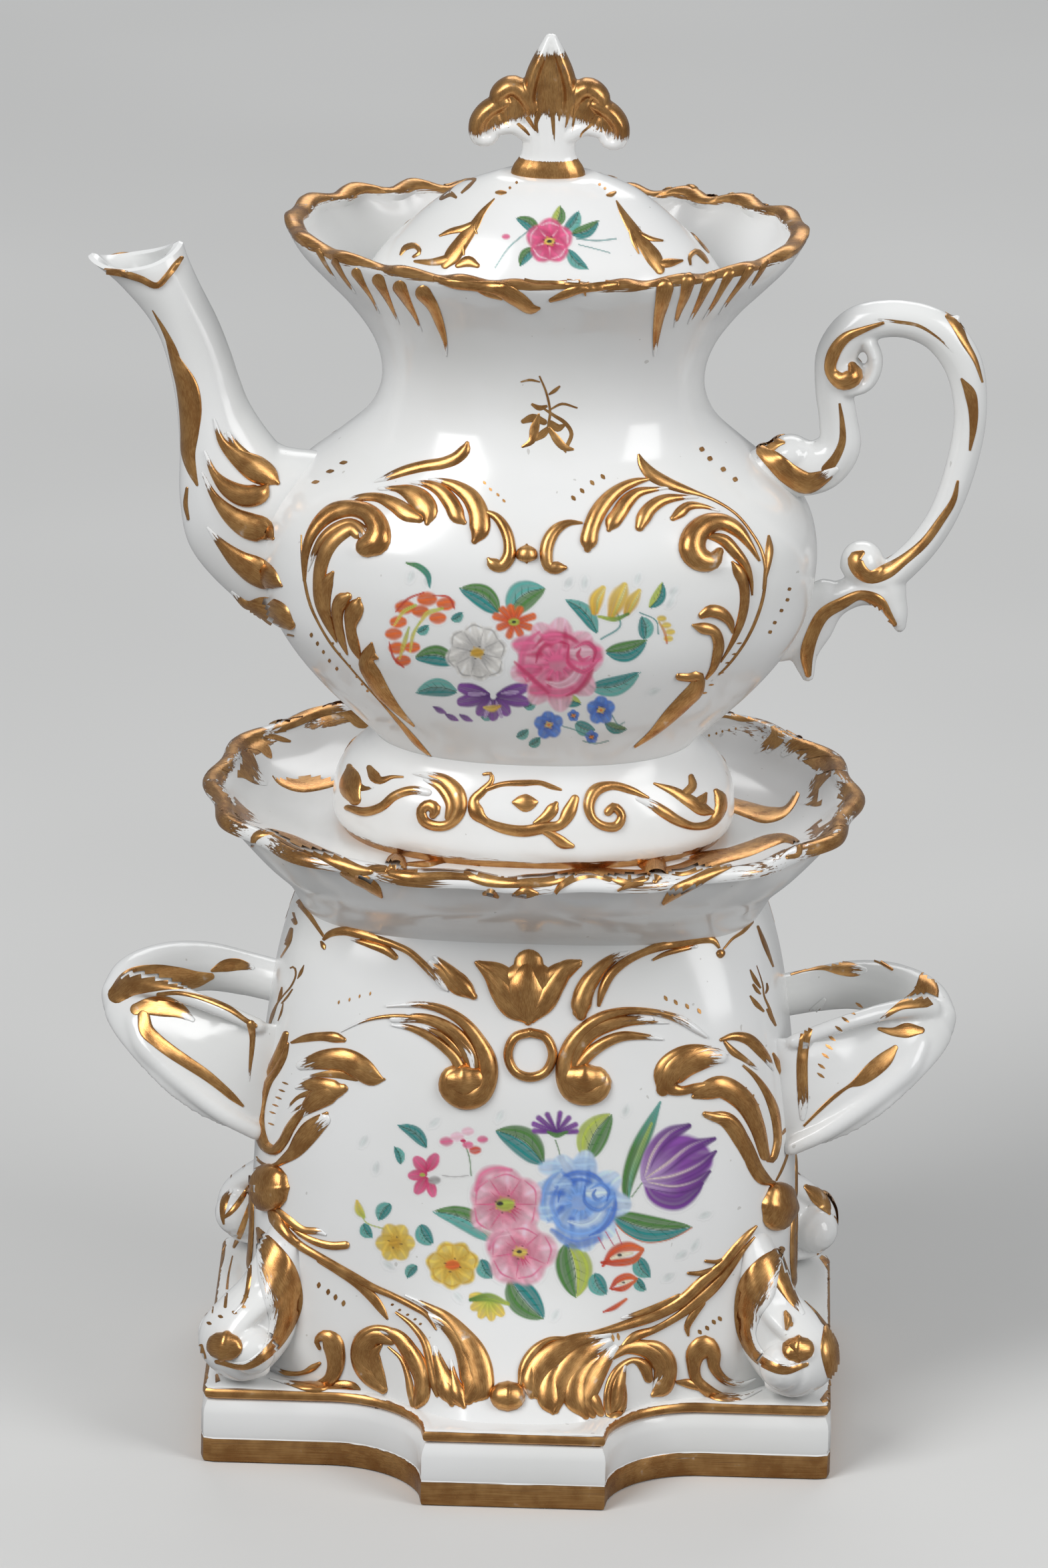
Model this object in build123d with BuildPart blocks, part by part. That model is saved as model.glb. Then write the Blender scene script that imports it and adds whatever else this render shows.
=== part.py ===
from build123d import *
import os
from math import cos, exp, pi, radians, sin

# A porcelain tea warmer. A teapot stands in a lobed dish, the dish sits on a hollow stand, and a
# small oil lamp burns inside the stand, put in through an arched door at the back. Millimetres,
# with +Z up, the origin in the middle of the underside, the painted front towards -Y and the
# teapot's handle towards +X.

# Walls and clearances
body_wall = 3.5
stand_wall = 4.5
dish_wall = 5.0
foot_wall = 4.5
lid_wall = 3.0
lift_clearance = 0.6
outline_points = 40
oval_points = 16

# Plinth
plinth_half_width = 72.5
plinth_corner_depth = 48.5
plinth_height = 18.4
plinth_wall = 8.0
stand_floor = 5.0
tab_half_width = 21.0
cove_radius = 22.0
moulding_height = 2.4
moulding_step = 1.3

# Stand
stand_height = 106.6
stand_half_width = 63.4
stand_half_depth = 47.5
apron_reach = 17.0
apron_half_width = 27.0
door_width = 50.0
door_height = 64.0

# Dish
dish_height = 25.5
dish_half_width = 75.2
dish_half_depth = 67.6
dish_lobes = 16
dish_lobe_height = 0.9
dish_seat_height = 16.0
dish_floor = 4.5
ring_depth = 6.0
ring_wall = 3.6
heat_hole_radius = 22.0

# Teapot
foot_height = 23.5
foot_half_width = 46.1
foot_half_depth = 32.6
body_height = 121.5
body_half_width = 63.2
body_half_depth = 44.0
body_floor = 4.0
rim_dip = 3.2
belly_share = 0.35
gallery_height = 104.0
neck_share = 0.70
strainer_hole_radius = 1.6
strainer_pitch = 6.0

# Lid
lid_edge = 2.5
lid_dome_height = 28.0
lid_flange_depth = 8.5
collar_height = 4.4
collar_half_width = 8.5
collar_half_depth = 4.6
finial_height = 29.1
finial_thickness = 7.6

# Lamp
cup_radius = 20.0
cup_height = 30.0
cup_wall = 3.0
cup_handle_reach = 11.0
cup_handle_bar = 2.4
cover_thickness = 3.0
cover_spigot = 4.0
wick_tube_radius = 3.0
wick_tube_wall = 0.7
wick_tube_length = 26.0
wick_radius = 1.9
wick_show = 4.0

# Handles and corner scrolls
handle_thickness = 9.0
side_grip_level = 80.0
scroll_radius = 7.0
scroll_width = 12.0
scroll_height = 38.0
scroll_eye_level = 10.5
scroll_turn = 34.0
scroll_corner_x = 7.8
scroll_corner_y = 5.0
scroll_inner = 24.0
scroll_waist = 9.0
scroll_top_back = 11.5

# Levels worked out from the sizes above
stand_top = plinth_height + stand_height
dish_top = stand_top + dish_height
dish_seat = stand_top + dish_seat_height
body_base = dish_seat + foot_height
body_top = body_base + body_height
gallery = body_base + gallery_height
finial_base = gallery + lid_dome_height
belly_level = body_base + belly_share * body_height

# Shapes. Each row is the share of the height, then the shares of the half width and half depth,
# then the squareness of the outline, which is 2 for an ellipse.
stand_shape = [
    (0.00, 1.000, 1.000, 4.0),
    (0.12, 0.998, 1.000, 4.0),
    (0.25, 0.995, 1.000, 3.9),
    (0.40, 0.990, 1.000, 3.8),
    (0.55, 0.980, 0.985, 3.7),
    (0.70, 0.955, 0.950, 3.6),
    (0.85, 0.915, 0.885, 3.4),
    (0.94, 0.875, 0.825, 3.2),
    (1.00, 0.840, 0.780, 3.0),
]
body_shape = [
    (0.000, 0.580, 0.620, 2.3),
    (0.045, 0.670, 0.705, 2.3),
    (0.103, 0.780, 0.810, 2.4),
    (0.169, 0.886, 0.905, 2.4),
    (0.243, 0.965, 0.973, 2.5),
    (0.317, 0.997, 1.000, 2.5),
    (0.383, 1.000, 1.000, 2.5),
    (0.444, 0.965, 0.968, 2.5),
    (0.498, 0.883, 0.895, 2.4),
    (0.556, 0.752, 0.791, 2.3),
    (0.613, 0.636, 0.693, 2.2),
    (0.671, 0.584, 0.636, 2.2),
    (0.720, 0.582, 0.632, 2.2),
    (0.778, 0.620, 0.664, 2.2),
    (0.835, 0.696, 0.727, 2.2),
    (0.893, 0.797, 0.814, 2.2),
    (0.951, 0.896, 0.909, 2.2),
    (1.000, 0.950, 0.968, 2.2),
]
foot_shape = [
    (0.00, 0.944, 0.939, 2.3),
    (0.12, 0.989, 0.988, 2.3),
    (0.34, 1.000, 1.000, 2.3),
    (0.55, 0.978, 0.975, 2.3),
    (0.75, 0.911, 0.908, 2.3),
    (0.90, 0.833, 0.850, 2.3),
    (1.00, 0.800, 0.840, 2.3),
]
lid_shape = [
    (0.16, 0.960, 0.960, 2.2),
    (0.34, 0.874, 0.874, 2.2),
    (0.54, 0.745, 0.745, 2.2),
    (0.75, 0.590, 0.590, 2.1),
    (0.89, 0.455, 0.455, 2.0),
    (1.00, 0.265, 0.270, 2.0),
]


def outline(half_width, half_depth, squareness, apron=0.0, lobes=0, lobe_height=0.0):
    """Points round a level section. The apron swells the middle of the front and the back."""
    count = outline_points if lobes == 0 else 5 * lobes
    points = []
    for step in range(count):
        angle = 2 * pi * step / count
        across = abs(cos(angle) / half_width) ** squareness
        along = abs(sin(angle) / half_depth) ** squareness
        reach = (across + along) ** (-1 / squareness) + lobe_height * cos(lobes * angle)
        x = reach * cos(angle)
        y = reach * sin(angle) + apron * sin(angle) * exp(-((x / apron_half_width) ** 4))
        points.append((x, y))
    return points


def levels(sections):
    """Level faces to loft through. Each section is its height and then what outline() takes."""
    faces = []
    for height, *shape in sections:
        with BuildSketch(Plane.XY.offset(height)) as level:
            with BuildLine():
                Spline(*outline(*shape), periodic=True)
            make_face()
        faces.append(level.sketch.face())
    return faces


def oval(half_long, half_short):
    """Points round an ellipse, always started at the end of its long axis."""
    turns = [2 * pi * step / oval_points for step in range(oval_points)]
    return [(half_long * cos(turn), half_short * sin(turn)) for turn in turns]


def sections_of(shape, base, height, half_width, half_depth, inset=0.0):
    """The rows of a shape table as sections, moved inwards by the inset."""
    rows = []
    for share, width, depth, squareness in shape:
        row = (base + share * height, width * half_width - inset, depth * half_depth - inset, squareness)
        rows.append(row)
    return rows


def cut_at(sections, height):
    """The section at a height between two given ones."""
    for low, high in zip(sections, sections[1:]):
        if low[0] <= height <= high[0]:
            part = (height - low[0]) / (high[0] - low[0])
            return tuple(a + part * (b - a) for a, b in zip(low, high))
    return sections[-1]


def between(sections, low, high):
    """The sections from one height to another, with one made at each end."""
    inside = [row for row in sections if low + 0.5 < row[0] < high - 0.5]
    return [cut_at(sections, low), *inside, cut_at(sections, high)]


# Stand, from its outer skin inwards. The apron fades out over the lower half.
apron_shares = [1.0, 0.60, 0.25, 0.06, 0.0, 0.0, 0.0, 0.0, 0.0]
stand_outer_sections = []
stand_inner_sections = []
stand_rows = sections_of(stand_shape, plinth_height, stand_height, stand_half_width, stand_half_depth)
for row, share in zip(stand_rows, apron_shares):
    height, half_width, half_depth, squareness = row
    apron = apron_reach * share
    stand_outer_sections.append((height, half_width, half_depth, squareness, apron))
    stand_inner_sections.append(
        (height, half_width - stand_wall, half_depth - stand_wall, squareness, apron)
    )
stand_mouth = stand_inner_sections[-1]

with BuildPart() as stand_skin:
    loft(levels(stand_outer_sections))

with BuildPart() as stand_body:
    add(stand_skin.part)
    loft(levels(stand_inner_sections), mode=Mode.SUBTRACT)
    with BuildSketch(Plane.XZ):
        with Locations((0, plinth_height + (door_height - door_width / 2) / 2)):
            Rectangle(door_width, door_height - door_width / 2)
        with Locations((0, plinth_height + door_height - door_width / 2)):
            Circle(door_width / 2)
    extrude(amount=-(stand_half_depth + apron_reach + stand_wall), mode=Mode.SUBTRACT)
stand_body.part.label = "stand_body"
export_step(stand_body.part, "parts/stand_body.step")

# Plinth: straight sides, a straight tab front and back, and a hollow quarter round beside each tab
tab_depth = plinth_corner_depth + cove_radius
cove_start = tab_half_width + cove_radius


def plinth_plan(height, inset):
    """The plinth's plan as a level face, moved inwards."""
    with BuildSketch(Plane.XY.offset(height)) as plan:
        with BuildLine():
            Line((0, tab_depth), (tab_half_width, tab_depth))
            RadiusArc((tab_half_width, tab_depth), (cove_start, plinth_corner_depth), -cove_radius)
            Line((cove_start, plinth_corner_depth), (plinth_half_width, plinth_corner_depth))
            Line((plinth_half_width, plinth_corner_depth), (plinth_half_width, 0))
            mirror(about=Plane.XZ)
            mirror(about=Plane.YZ)
        make_face()
        if inset:
            offset(amount=-inset, kind=Kind.INTERSECTION, mode=Mode.REPLACE)
    return plan.sketch.face()


with BuildPart() as stand_plinth:
    extrude(plinth_plan(0, 0), amount=plinth_height - moulding_height)
    extrude(plinth_plan(plinth_height - moulding_height, moulding_step), amount=moulding_height)
    extrude(plinth_plan(0, plinth_wall), amount=plinth_height - stand_floor, mode=Mode.SUBTRACT)
    top_rim = stand_plinth.faces().sort_by(Axis.Z)[-1].edges()
    chamfer(top_rim, length=0.45 * moulding_height)
stand_plinth.part.label = "stand_plinth"
export_step(stand_plinth.part, "parts/stand_plinth.step")

# Corner scrolls: a console that rolls outwards over each corner of the plinth
scroll_centre_x = plinth_half_width - scroll_corner_x
scroll_centre_y = plinth_corner_depth - scroll_corner_y
scroll_front = 0.4 * scroll_radius
scroll_shoulder = scroll_eye_level + 6.0
for side, sign_x, sign_y in [
    ("front_left", -1, -1),
    ("front_right", 1, -1),
    ("back_left", -1, 1),
    ("back_right", 1, 1),
]:
    outward = Vector(sign_x * cos(radians(scroll_turn)), sign_y * sin(radians(scroll_turn)), 0)
    centre = Vector(sign_x * scroll_centre_x, sign_y * scroll_centre_y, plinth_height)
    with BuildPart() as corner_scroll:
        with BuildSketch(Plane(origin=centre, x_dir=outward, z_dir=outward.cross(Vector(0, 0, 1)))):
            with BuildLine():
                Line((-scroll_inner, 0), (scroll_front, 0))
                Line((scroll_front, 0), (scroll_front, scroll_eye_level))
                Line((scroll_front, scroll_eye_level), (-scroll_front, scroll_shoulder))
                Spline(
                    (-scroll_front, scroll_shoulder),
                    (-scroll_waist, 0.68 * scroll_height),
                    (-scroll_top_back, scroll_height),
                )
                Line((-scroll_top_back, scroll_height), (-scroll_inner, scroll_height))
                Line((-scroll_inner, scroll_height), (-scroll_inner, 0))
            make_face()
            with Locations((0, scroll_eye_level)):
                Circle(scroll_radius)
        extrude(amount=scroll_width / 2, both=True)
        add(stand_skin.part, mode=Mode.SUBTRACT)
    corner_scroll.part.label = f"corner_scroll_{side}"
    export_step(corner_scroll.part, f"parts/corner_scroll_{side}.step")

# Side handles: a broad leaf at the front and a round arm at the back, which meet at the tip.
# Stations are the reach past the stand's side, the place along Y and the height over the grip
# level, then the half breadth, which stands upright, and the half thickness.
grip_level = plinth_height + side_grip_level
leaf_stations = [
    (-9.0, -26.0, -14.0, 14.0, 3.2),
    (4.0, -23.0, -12.0, 12.5, 3.4),
    (17.0, -18.0, -7.0, 9.5, 4.0),
    (29.0, -9.0, -2.5, 6.4, 5.0),
]
arm_stations = [
    (-9.0, 19.0, 2.0, 4.6, 4.0),
    (3.0, 21.5, 3.0, 4.8, 4.2),
    (13.0, 18.5, 3.2, 5.2, 4.6),
    (22.0, 11.5, 1.8, 6.0, 5.0),
    (28.0, 2.0, -1.0, 6.4, 5.0),
    (29.5, -5.0, -2.0, 5.6, 4.4),
]


def arm_faces(stations, origin):
    """Ellipses square to a bent arm, with the long axis as upright as the arm lets it be."""
    centres = [origin + Vector(-reach, along, rise) for reach, along, rise, breadth, thickness in stations]
    faces = []
    for index, (reach, along, rise, breadth, thickness) in enumerate(stations):
        before = centres[max(index - 1, 0)]
        after = centres[min(index + 1, len(centres) - 1)]
        travel = (after - before).normalized()
        upright = Vector(0, 0, 1) - travel * travel.Z
        with BuildSketch(Plane(origin=centres[index], x_dir=upright, z_dir=travel)) as section:
            with BuildLine():
                Spline(*oval(breadth, thickness), periodic=True)
            make_face()
        faces.append(section.sketch.face())
    return faces


grip_origin = Vector(-stand_half_width, 0, grip_level)
with BuildPart() as side_handle_left:
    loft(arm_faces(leaf_stations, grip_origin))
    loft(arm_faces(arm_stations, grip_origin))
    add(stand_skin.part, mode=Mode.SUBTRACT)
side_handle_left.part.label = "side_handle_left"
export_step(side_handle_left.part, "parts/side_handle_left.step")

# Both leaves face the front, so the right handle mirrors the left one
with BuildPart() as side_handle_right:
    add(side_handle_left.part)
    mirror(about=Plane.YZ, mode=Mode.REPLACE)
side_handle_right.part.label = "side_handle_right"
export_step(side_handle_right.part, "parts/side_handle_right.step")

# Dish: a flared basin on the stand's own top outline, with a ring that drops into its mouth
top_half_width, top_half_depth, top_squareness = stand_outer_sections[-1][1:4]
dish_rows = [
    (0.00, top_half_width, top_half_depth, top_squareness),
    (0.06, top_half_width + 0.8, top_half_depth + 1.2, top_squareness),
    (0.24, 0.757 * dish_half_width, 0.665 * dish_half_depth, 2.7),
    (0.48, 0.838 * dish_half_width, 0.800 * dish_half_depth, 2.5),
    (0.74, 0.920 * dish_half_width, 0.905 * dish_half_depth, 2.3),
    (0.90, 0.968 * dish_half_width, 0.962 * dish_half_depth, 2.2),
    (1.00, dish_half_width, dish_half_depth, 2.2),
]
dish_outer_sections = []
dish_inner_sections = []
for share, half_width, half_depth, squareness in dish_rows:
    height = stand_top + share * dish_height
    lobe = dish_lobe_height * max(0.0, 2 * share - 1)
    dish_outer_sections.append((height, half_width, half_depth, squareness, 0.0, dish_lobes, lobe))
    inner_width = half_width - dish_wall
    inner_depth = half_depth - dish_wall
    dish_inner_sections.append((height, inner_width, inner_depth, squareness))
mouth_width, mouth_depth, mouth_squareness = stand_mouth[1:4]
ring_width = mouth_width - lift_clearance
ring_breadth = mouth_depth - lift_clearance
ring_hole = (ring_width - ring_wall, ring_breadth - ring_wall, mouth_squareness)
floor_under = dish_seat - dish_floor
basin_floor = cut_at(dish_inner_sections, dish_seat)
basin_rise = (dish_top - dish_seat) / 9.5
rim_gap = 3.2
basin_sections = [
    (dish_seat, basin_floor[1] - 11.0, basin_floor[2] - 10.0, 2.3),
    (dish_seat + 1.6 * basin_rise, basin_floor[1] - 4.4, basin_floor[2] - 4.2, 2.3),
    (dish_seat + 4.0 * basin_rise, dish_half_width - 10.0, dish_half_depth - 10.4, 2.2),
    (dish_seat + 7.0 * basin_rise, dish_half_width - 6.8, dish_half_depth - 7.0, 2.2),
    (dish_top + 1.0, dish_half_width - rim_gap, dish_half_depth - rim_gap, 2.2),
]
under_sections = between(dish_inner_sections, stand_top + 3.0, floor_under)

with BuildPart() as dish:
    loft(levels(dish_outer_sections))
    loft(levels(basin_sections), mode=Mode.SUBTRACT)
    loft(levels([(stand_top, *ring_hole), *under_sections]), mode=Mode.SUBTRACT)
    with BuildSketch(Plane.XY.offset(stand_top - ring_depth)):
        with BuildLine():
            Spline(*outline(ring_width, ring_breadth, mouth_squareness), periodic=True)
        make_face()
        with BuildLine():
            Spline(*outline(*ring_hole), periodic=True)
        make_face(mode=Mode.SUBTRACT)
    extrude(amount=ring_depth)
    with Locations((0, 0, floor_under)):
        Cylinder(heat_hole_radius, 2 * dish_floor, mode=Mode.SUBTRACT)
dish.part.label = "dish"
export_step(dish.part, "parts/dish.step")

# Teapot foot: an open ring that swells outwards over the dish's floor
foot_outer_sections = sections_of(foot_shape, dish_seat, foot_height, foot_half_width, foot_half_depth)
foot_inner_sections = sections_of(
    foot_shape, dish_seat, foot_height, foot_half_width, foot_half_depth, inset=foot_wall
)
with BuildPart() as teapot_foot:
    loft(levels(foot_outer_sections))
    loft(levels(foot_inner_sections), mode=Mode.SUBTRACT)
teapot_foot.part.label = "teapot_foot"
export_step(teapot_foot.part, "parts/teapot_foot.step")

# Teapot body. The wall thickens above the neck into the gallery that the lid rests on.
body_outer_sections = sections_of(body_shape, body_base, body_height, body_half_width, body_half_depth)
body_inner_sections = sections_of(
    body_shape, body_base, body_height, body_half_width, body_half_depth, inset=body_wall
)
neck_level = body_base + neck_share * body_height
throat = cut_at(body_inner_sections, neck_level)
belly_cavity = between(body_inner_sections, body_base + body_floor, neck_level)
seat_recess = cut_at(body_inner_sections, gallery)
mouth_cavity = between(body_inner_sections, gallery, body_top)
mouth_cavity.append((body_top + 3.0, mouth_cavity[-1][1] + 2.0, mouth_cavity[-1][2] + 2.0, 2.2))

with BuildPart() as teapot_skin:
    loft(levels(body_outer_sections))

with BuildPart() as teapot_body:
    add(teapot_skin.part)
    loft(levels(belly_cavity), mode=Mode.SUBTRACT)
    extrude(levels([(neck_level, *throat[1:])])[0], amount=gallery - neck_level, mode=Mode.SUBTRACT)
    loft(levels(mouth_cavity), mode=Mode.SUBTRACT)
    with BuildSketch(Plane.XZ):
        with BuildLine():
            ThreePointArc(
                (-body_half_width, body_top), (0, body_top - rim_dip), (body_half_width, body_top)
            )
            Line((body_half_width, body_top), (body_half_width, body_top + 5.0))
            Line((body_half_width, body_top + 5.0), (-body_half_width, body_top + 5.0))
            Line((-body_half_width, body_top + 5.0), (-body_half_width, body_top))
        make_face()
    extrude(amount=2 * body_half_depth, both=True, mode=Mode.SUBTRACT)
    with BuildSketch(Plane(origin=(-body_half_width + 5 * body_wall, 0, belly_level), z_dir=(-1, 0, 0))):
        with HexLocations(strainer_pitch / 2, 3, 3):
            Circle(strainer_hole_radius)
    extrude(amount=7 * body_wall, mode=Mode.SUBTRACT)
teapot_body.part.label = "teapot_body"
export_step(teapot_body.part, "parts/teapot_body.step")

# Spout. Each station is the underside point and the upper point, as reach past the belly and
# height over the belly's level, then the half breadth.
spout_stations = [
    (-15.0, -23.0, -13.0, 22.0, 15.0),
    (-6.0, -20.5, -4.7, 23.0, 14.5),
    (6.1, -12.8, -1.2, 26.0, 13.0),
    (16.1, -1.8, 3.4, 33.0, 11.0),
    (19.0, 10.0, 6.0, 39.5, 9.5),
    (19.3, 24.4, 8.0, 45.5, 8.0),
    (21.0, 38.0, 11.0, 53.0, 7.0),
    (25.0, 50.5, 15.3, 61.5, 6.8),
    (39.0, 65.3, 19.0, 68.0, 7.5),
]
spout_wall = 2.4


def spout_faces(stations, wall):
    """Ellipses across the spout, made smaller all round by the wall."""
    faces = []
    for low_reach, low_rise, high_reach, high_rise, half_breadth in stations:
        low = Vector(-body_half_width - low_reach, 0, belly_level + low_rise)
        high = Vector(-body_half_width - high_reach, 0, belly_level + high_rise)
        across = (high - low).normalized()
        square = across.cross(Vector(0, 1, 0))
        with BuildSketch(Plane(origin=(low + high) / 2, x_dir=across, z_dir=square)) as section:
            with BuildLine():
                Spline(*oval((high - low).length / 2 - wall, half_breadth - wall), periodic=True)
            make_face()
        faces.append(section.sketch.face())
    return faces


with BuildPart() as teapot_spout:
    loft(spout_faces(spout_stations, 0.0))
    loft(spout_faces(spout_stations, spout_wall), mode=Mode.SUBTRACT)
    add(teapot_skin.part, mode=Mode.SUBTRACT)
teapot_spout.part.label = "teapot_spout"
export_step(teapot_spout.part, "parts/teapot_spout.step")

# Handle: its side view, as reach past the belly and height over the belly's level
handle_outside = [
    (-19.2, 19.0), (-13.0, 28.2), (-8.7, 29.3), (-1.8, 28.9), (0.4, 33.5), (-1.6, 42.1),
    (-1.7, 50.0), (2.3, 57.6), (10.1, 61.5), (19.4, 61.5), (29.8, 59.0), (35.3, 49.7),
    (37.4, 38.0), (35.6, 23.0), (31.0, 10.6), (21.5, -2.7), (18.1, -6.5),
]
handle_tails = [
    (18.1, -6.5), (20.1, -15.0), (18.9, -17.2), (13.5, -13.1), (5.7, -13.3), (1.4, -20.0),
    (0.8, -27.6), (-0.4, -29.6), (-2.6, -28.7), (-5.7, -23.5), (-13.2, -22.0),
]
handle_inside = [
    (-10.0, -6.0), (0.5, -6.9), (5.3, -3.9), (7.6, 3.4), (11.3, 5.2), (16.1, 3.1), (21.8, 8.4),
    (28.8, 22.9), (30.6, 37.9), (26.0, 48.8), (16.6, 53.3), (8.9, 50.9), (10.3, 45.7),
    (7.6, 39.5), (9.0, 28.2), (4.7, 18.3), (-2.6, 13.2), (-14.0, 6.0),
]


def handle_points(points):
    """Side view points in the plane that stands across the depth, seen from the front."""
    return [(body_half_width + reach, belly_level + rise) for reach, rise in points]


with BuildPart() as teapot_handle:
    with BuildSketch(Plane.XZ):
        with BuildLine():
            Spline(*handle_points(handle_outside))
            Spline(*handle_points(handle_tails))
            Line(handle_points(handle_tails)[-1], handle_points(handle_inside)[0])
            Spline(*handle_points(handle_inside))
            Line(handle_points(handle_inside)[-1], handle_points(handle_outside)[0])
        make_face()
    extrude(amount=handle_thickness / 2, both=True)
    add(teapot_skin.part, mode=Mode.SUBTRACT)
teapot_handle.part.label = "teapot_handle"
export_step(teapot_handle.part, "parts/teapot_handle.step")

# Lid: an oval dome whose edge rests on the gallery and whose flange drops into the throat
lid_half_width = seat_recess[1] - lift_clearance
lid_half_depth = seat_recess[2] - lift_clearance
lid_sections = [
    (gallery, lid_half_width, lid_half_depth, 2.2),
    (gallery + lid_edge, lid_half_width, lid_half_depth, 2.2),
    *sections_of(lid_shape, gallery, lid_dome_height, lid_half_width, lid_half_depth),
]
flange_width = throat[1] - lift_clearance
flange_depth = throat[2] - lift_clearance
flange_hole = (flange_width - lid_wall, flange_depth - lid_wall, 2.2)
lid_hollow = [(gallery, *flange_hole)]
for height, half_width, half_depth, squareness in lid_sections[3:-1]:
    lid_hollow.append((height - lid_wall, half_width - lid_wall, half_depth - lid_wall, squareness))

with BuildPart() as lid_dome:
    loft(levels(lid_sections))
    with BuildSketch(Plane.XY.offset(gallery - lid_flange_depth)):
        with BuildLine():
            Spline(*outline(flange_width, flange_depth, 2.2), periodic=True)
        make_face()
    extrude(amount=lid_flange_depth)
    with BuildSketch(Plane.XY.offset(gallery - lid_flange_depth)):
        with BuildLine():
            Spline(*outline(*flange_hole), periodic=True)
        make_face()
    extrude(amount=lid_flange_depth, mode=Mode.SUBTRACT)
    loft(levels(lid_hollow), mode=Mode.SUBTRACT)
lid_dome.part.label = "lid_dome"
export_step(lid_dome.part, "parts/lid_dome.step")

# Finial: a pointed flower of three petals on an oval collar. Half of its outline, from the waist
# up, as distance from the middle and height over the collar.
petal_outline = [
    (6.0, 0.0), (5.8, 2.1), (6.9, 3.9), (9.2, 5.1), (11.0, 3.9), (13.9, 2.4), (16.3, 4.2), (17.0, 8.2),
    (15.2, 11.9), (12.8, 13.4), (10.7, 17.5), (8.6, 19.0), (6.0, 19.6), (3.8, 25.0), (0.0, 29.1),
]
petal_scale = finial_height / petal_outline[-1][1]
petal_base = finial_base + collar_height
petal_points = [(x * petal_scale, petal_base + z * petal_scale) for x, z in petal_outline]
with BuildPart() as lid_finial:
    with BuildSketch(Plane.XZ):
        with BuildLine():
            Line((0, petal_base), petal_points[0])
            Spline(*petal_points)
            Line(petal_points[-1], (0, petal_base))
        make_face()
        mirror(about=Plane.YZ)
    extrude(amount=finial_thickness / 2, both=True)
    loft(
        levels(
            [
                (finial_base, collar_half_width, collar_half_depth, 2.0),
                (finial_base + 0.7 * collar_height, 0.9 * collar_half_width, 0.9 * collar_half_depth, 2.0),
                (petal_base + 0.5, 0.72 * collar_half_width, 0.8 * collar_half_depth, 2.0),
            ]
        )
    )
lid_finial.part.label = "lid_finial"
export_step(lid_finial.part, "parts/lid_finial.step")

# Lamp: a small porcelain cup for the oil, with a ring to draw it out by, a cover and a wick
cup_rim = plinth_height + cup_height
cup_mouth = 0.93 * cup_radius - cup_wall
with BuildPart() as cup_skin:
    with BuildSketch(Plane.XZ):
        with BuildLine():
            Line((0, plinth_height), (0.7 * cup_radius, plinth_height))
            Spline(
                (0.7 * cup_radius, plinth_height),
                (0.96 * cup_radius, plinth_height + 0.27 * cup_height),
                (cup_radius, plinth_height + 0.57 * cup_height),
                (0.93 * cup_radius, cup_rim),
            )
            Line((0.93 * cup_radius, cup_rim), (0, cup_rim))
            Line((0, cup_rim), (0, plinth_height))
        make_face()
    revolve(axis=Axis.Z)

with BuildPart() as lamp_cup:
    add(cup_skin.part)
    with BuildSketch(Plane.XZ):
        with BuildLine():
            Line((0, plinth_height + cup_wall), (0.6 * cup_radius, plinth_height + cup_wall))
            Spline(
                (0.6 * cup_radius, plinth_height + cup_wall),
                (0.95 * cup_radius - cup_wall, plinth_height + 0.3 * cup_height),
                (cup_radius - cup_wall, plinth_height + 0.57 * cup_height),
                (cup_mouth, cup_rim),
            )
            Line((cup_mouth, cup_rim), (0, cup_rim))
            Line((0, cup_rim), (0, plinth_height + cup_wall))
        make_face()
    revolve(axis=Axis.Z, mode=Mode.SUBTRACT)
lamp_cup.part.label = "lamp_cup"
export_step(lamp_cup.part, "parts/lamp_cup.step")

ring_low = plinth_height + 0.28 * cup_height
ring_high = plinth_height + 0.82 * cup_height
with BuildPart() as lamp_cup_handle:
    with BuildLine(Plane.YZ) as ring_path:
        ThreePointArc(
            (cup_radius - cup_wall, ring_low),
            (cup_radius + cup_handle_reach, (ring_low + ring_high) / 2),
            (cup_radius - cup_wall, ring_high),
        )
    with BuildSketch(Plane(origin=ring_path.line @ 0, z_dir=ring_path.line % 0)):
        Circle(cup_handle_bar)
    sweep()
    add(cup_skin.part, mode=Mode.SUBTRACT)
lamp_cup_handle.part.label = "lamp_cup_handle"
export_step(lamp_cup_handle.part, "parts/lamp_cup_handle.step")

cover_top = cup_rim + cover_thickness
with BuildPart() as lamp_cover:
    with Locations((0, 0, cup_rim)):
        Cylinder(0.95 * cup_radius, cover_thickness, align=(Align.CENTER, Align.CENTER, Align.MIN))
        Cylinder(
            cup_mouth - lift_clearance, cover_spigot, align=(Align.CENTER, Align.CENTER, Align.MAX)
        )
    top_edge = lamp_cover.edges().filter_by(GeomType.CIRCLE).sort_by(Axis.Z)[-1]
    fillet(top_edge, radius=0.45 * cover_thickness)
    with Locations((0, 0, cup_rim)):
        Cylinder(wick_tube_radius, 3 * cover_spigot, mode=Mode.SUBTRACT)
lamp_cover.part.label = "lamp_cover"
export_step(lamp_cover.part, "parts/lamp_cover.step")

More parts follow.
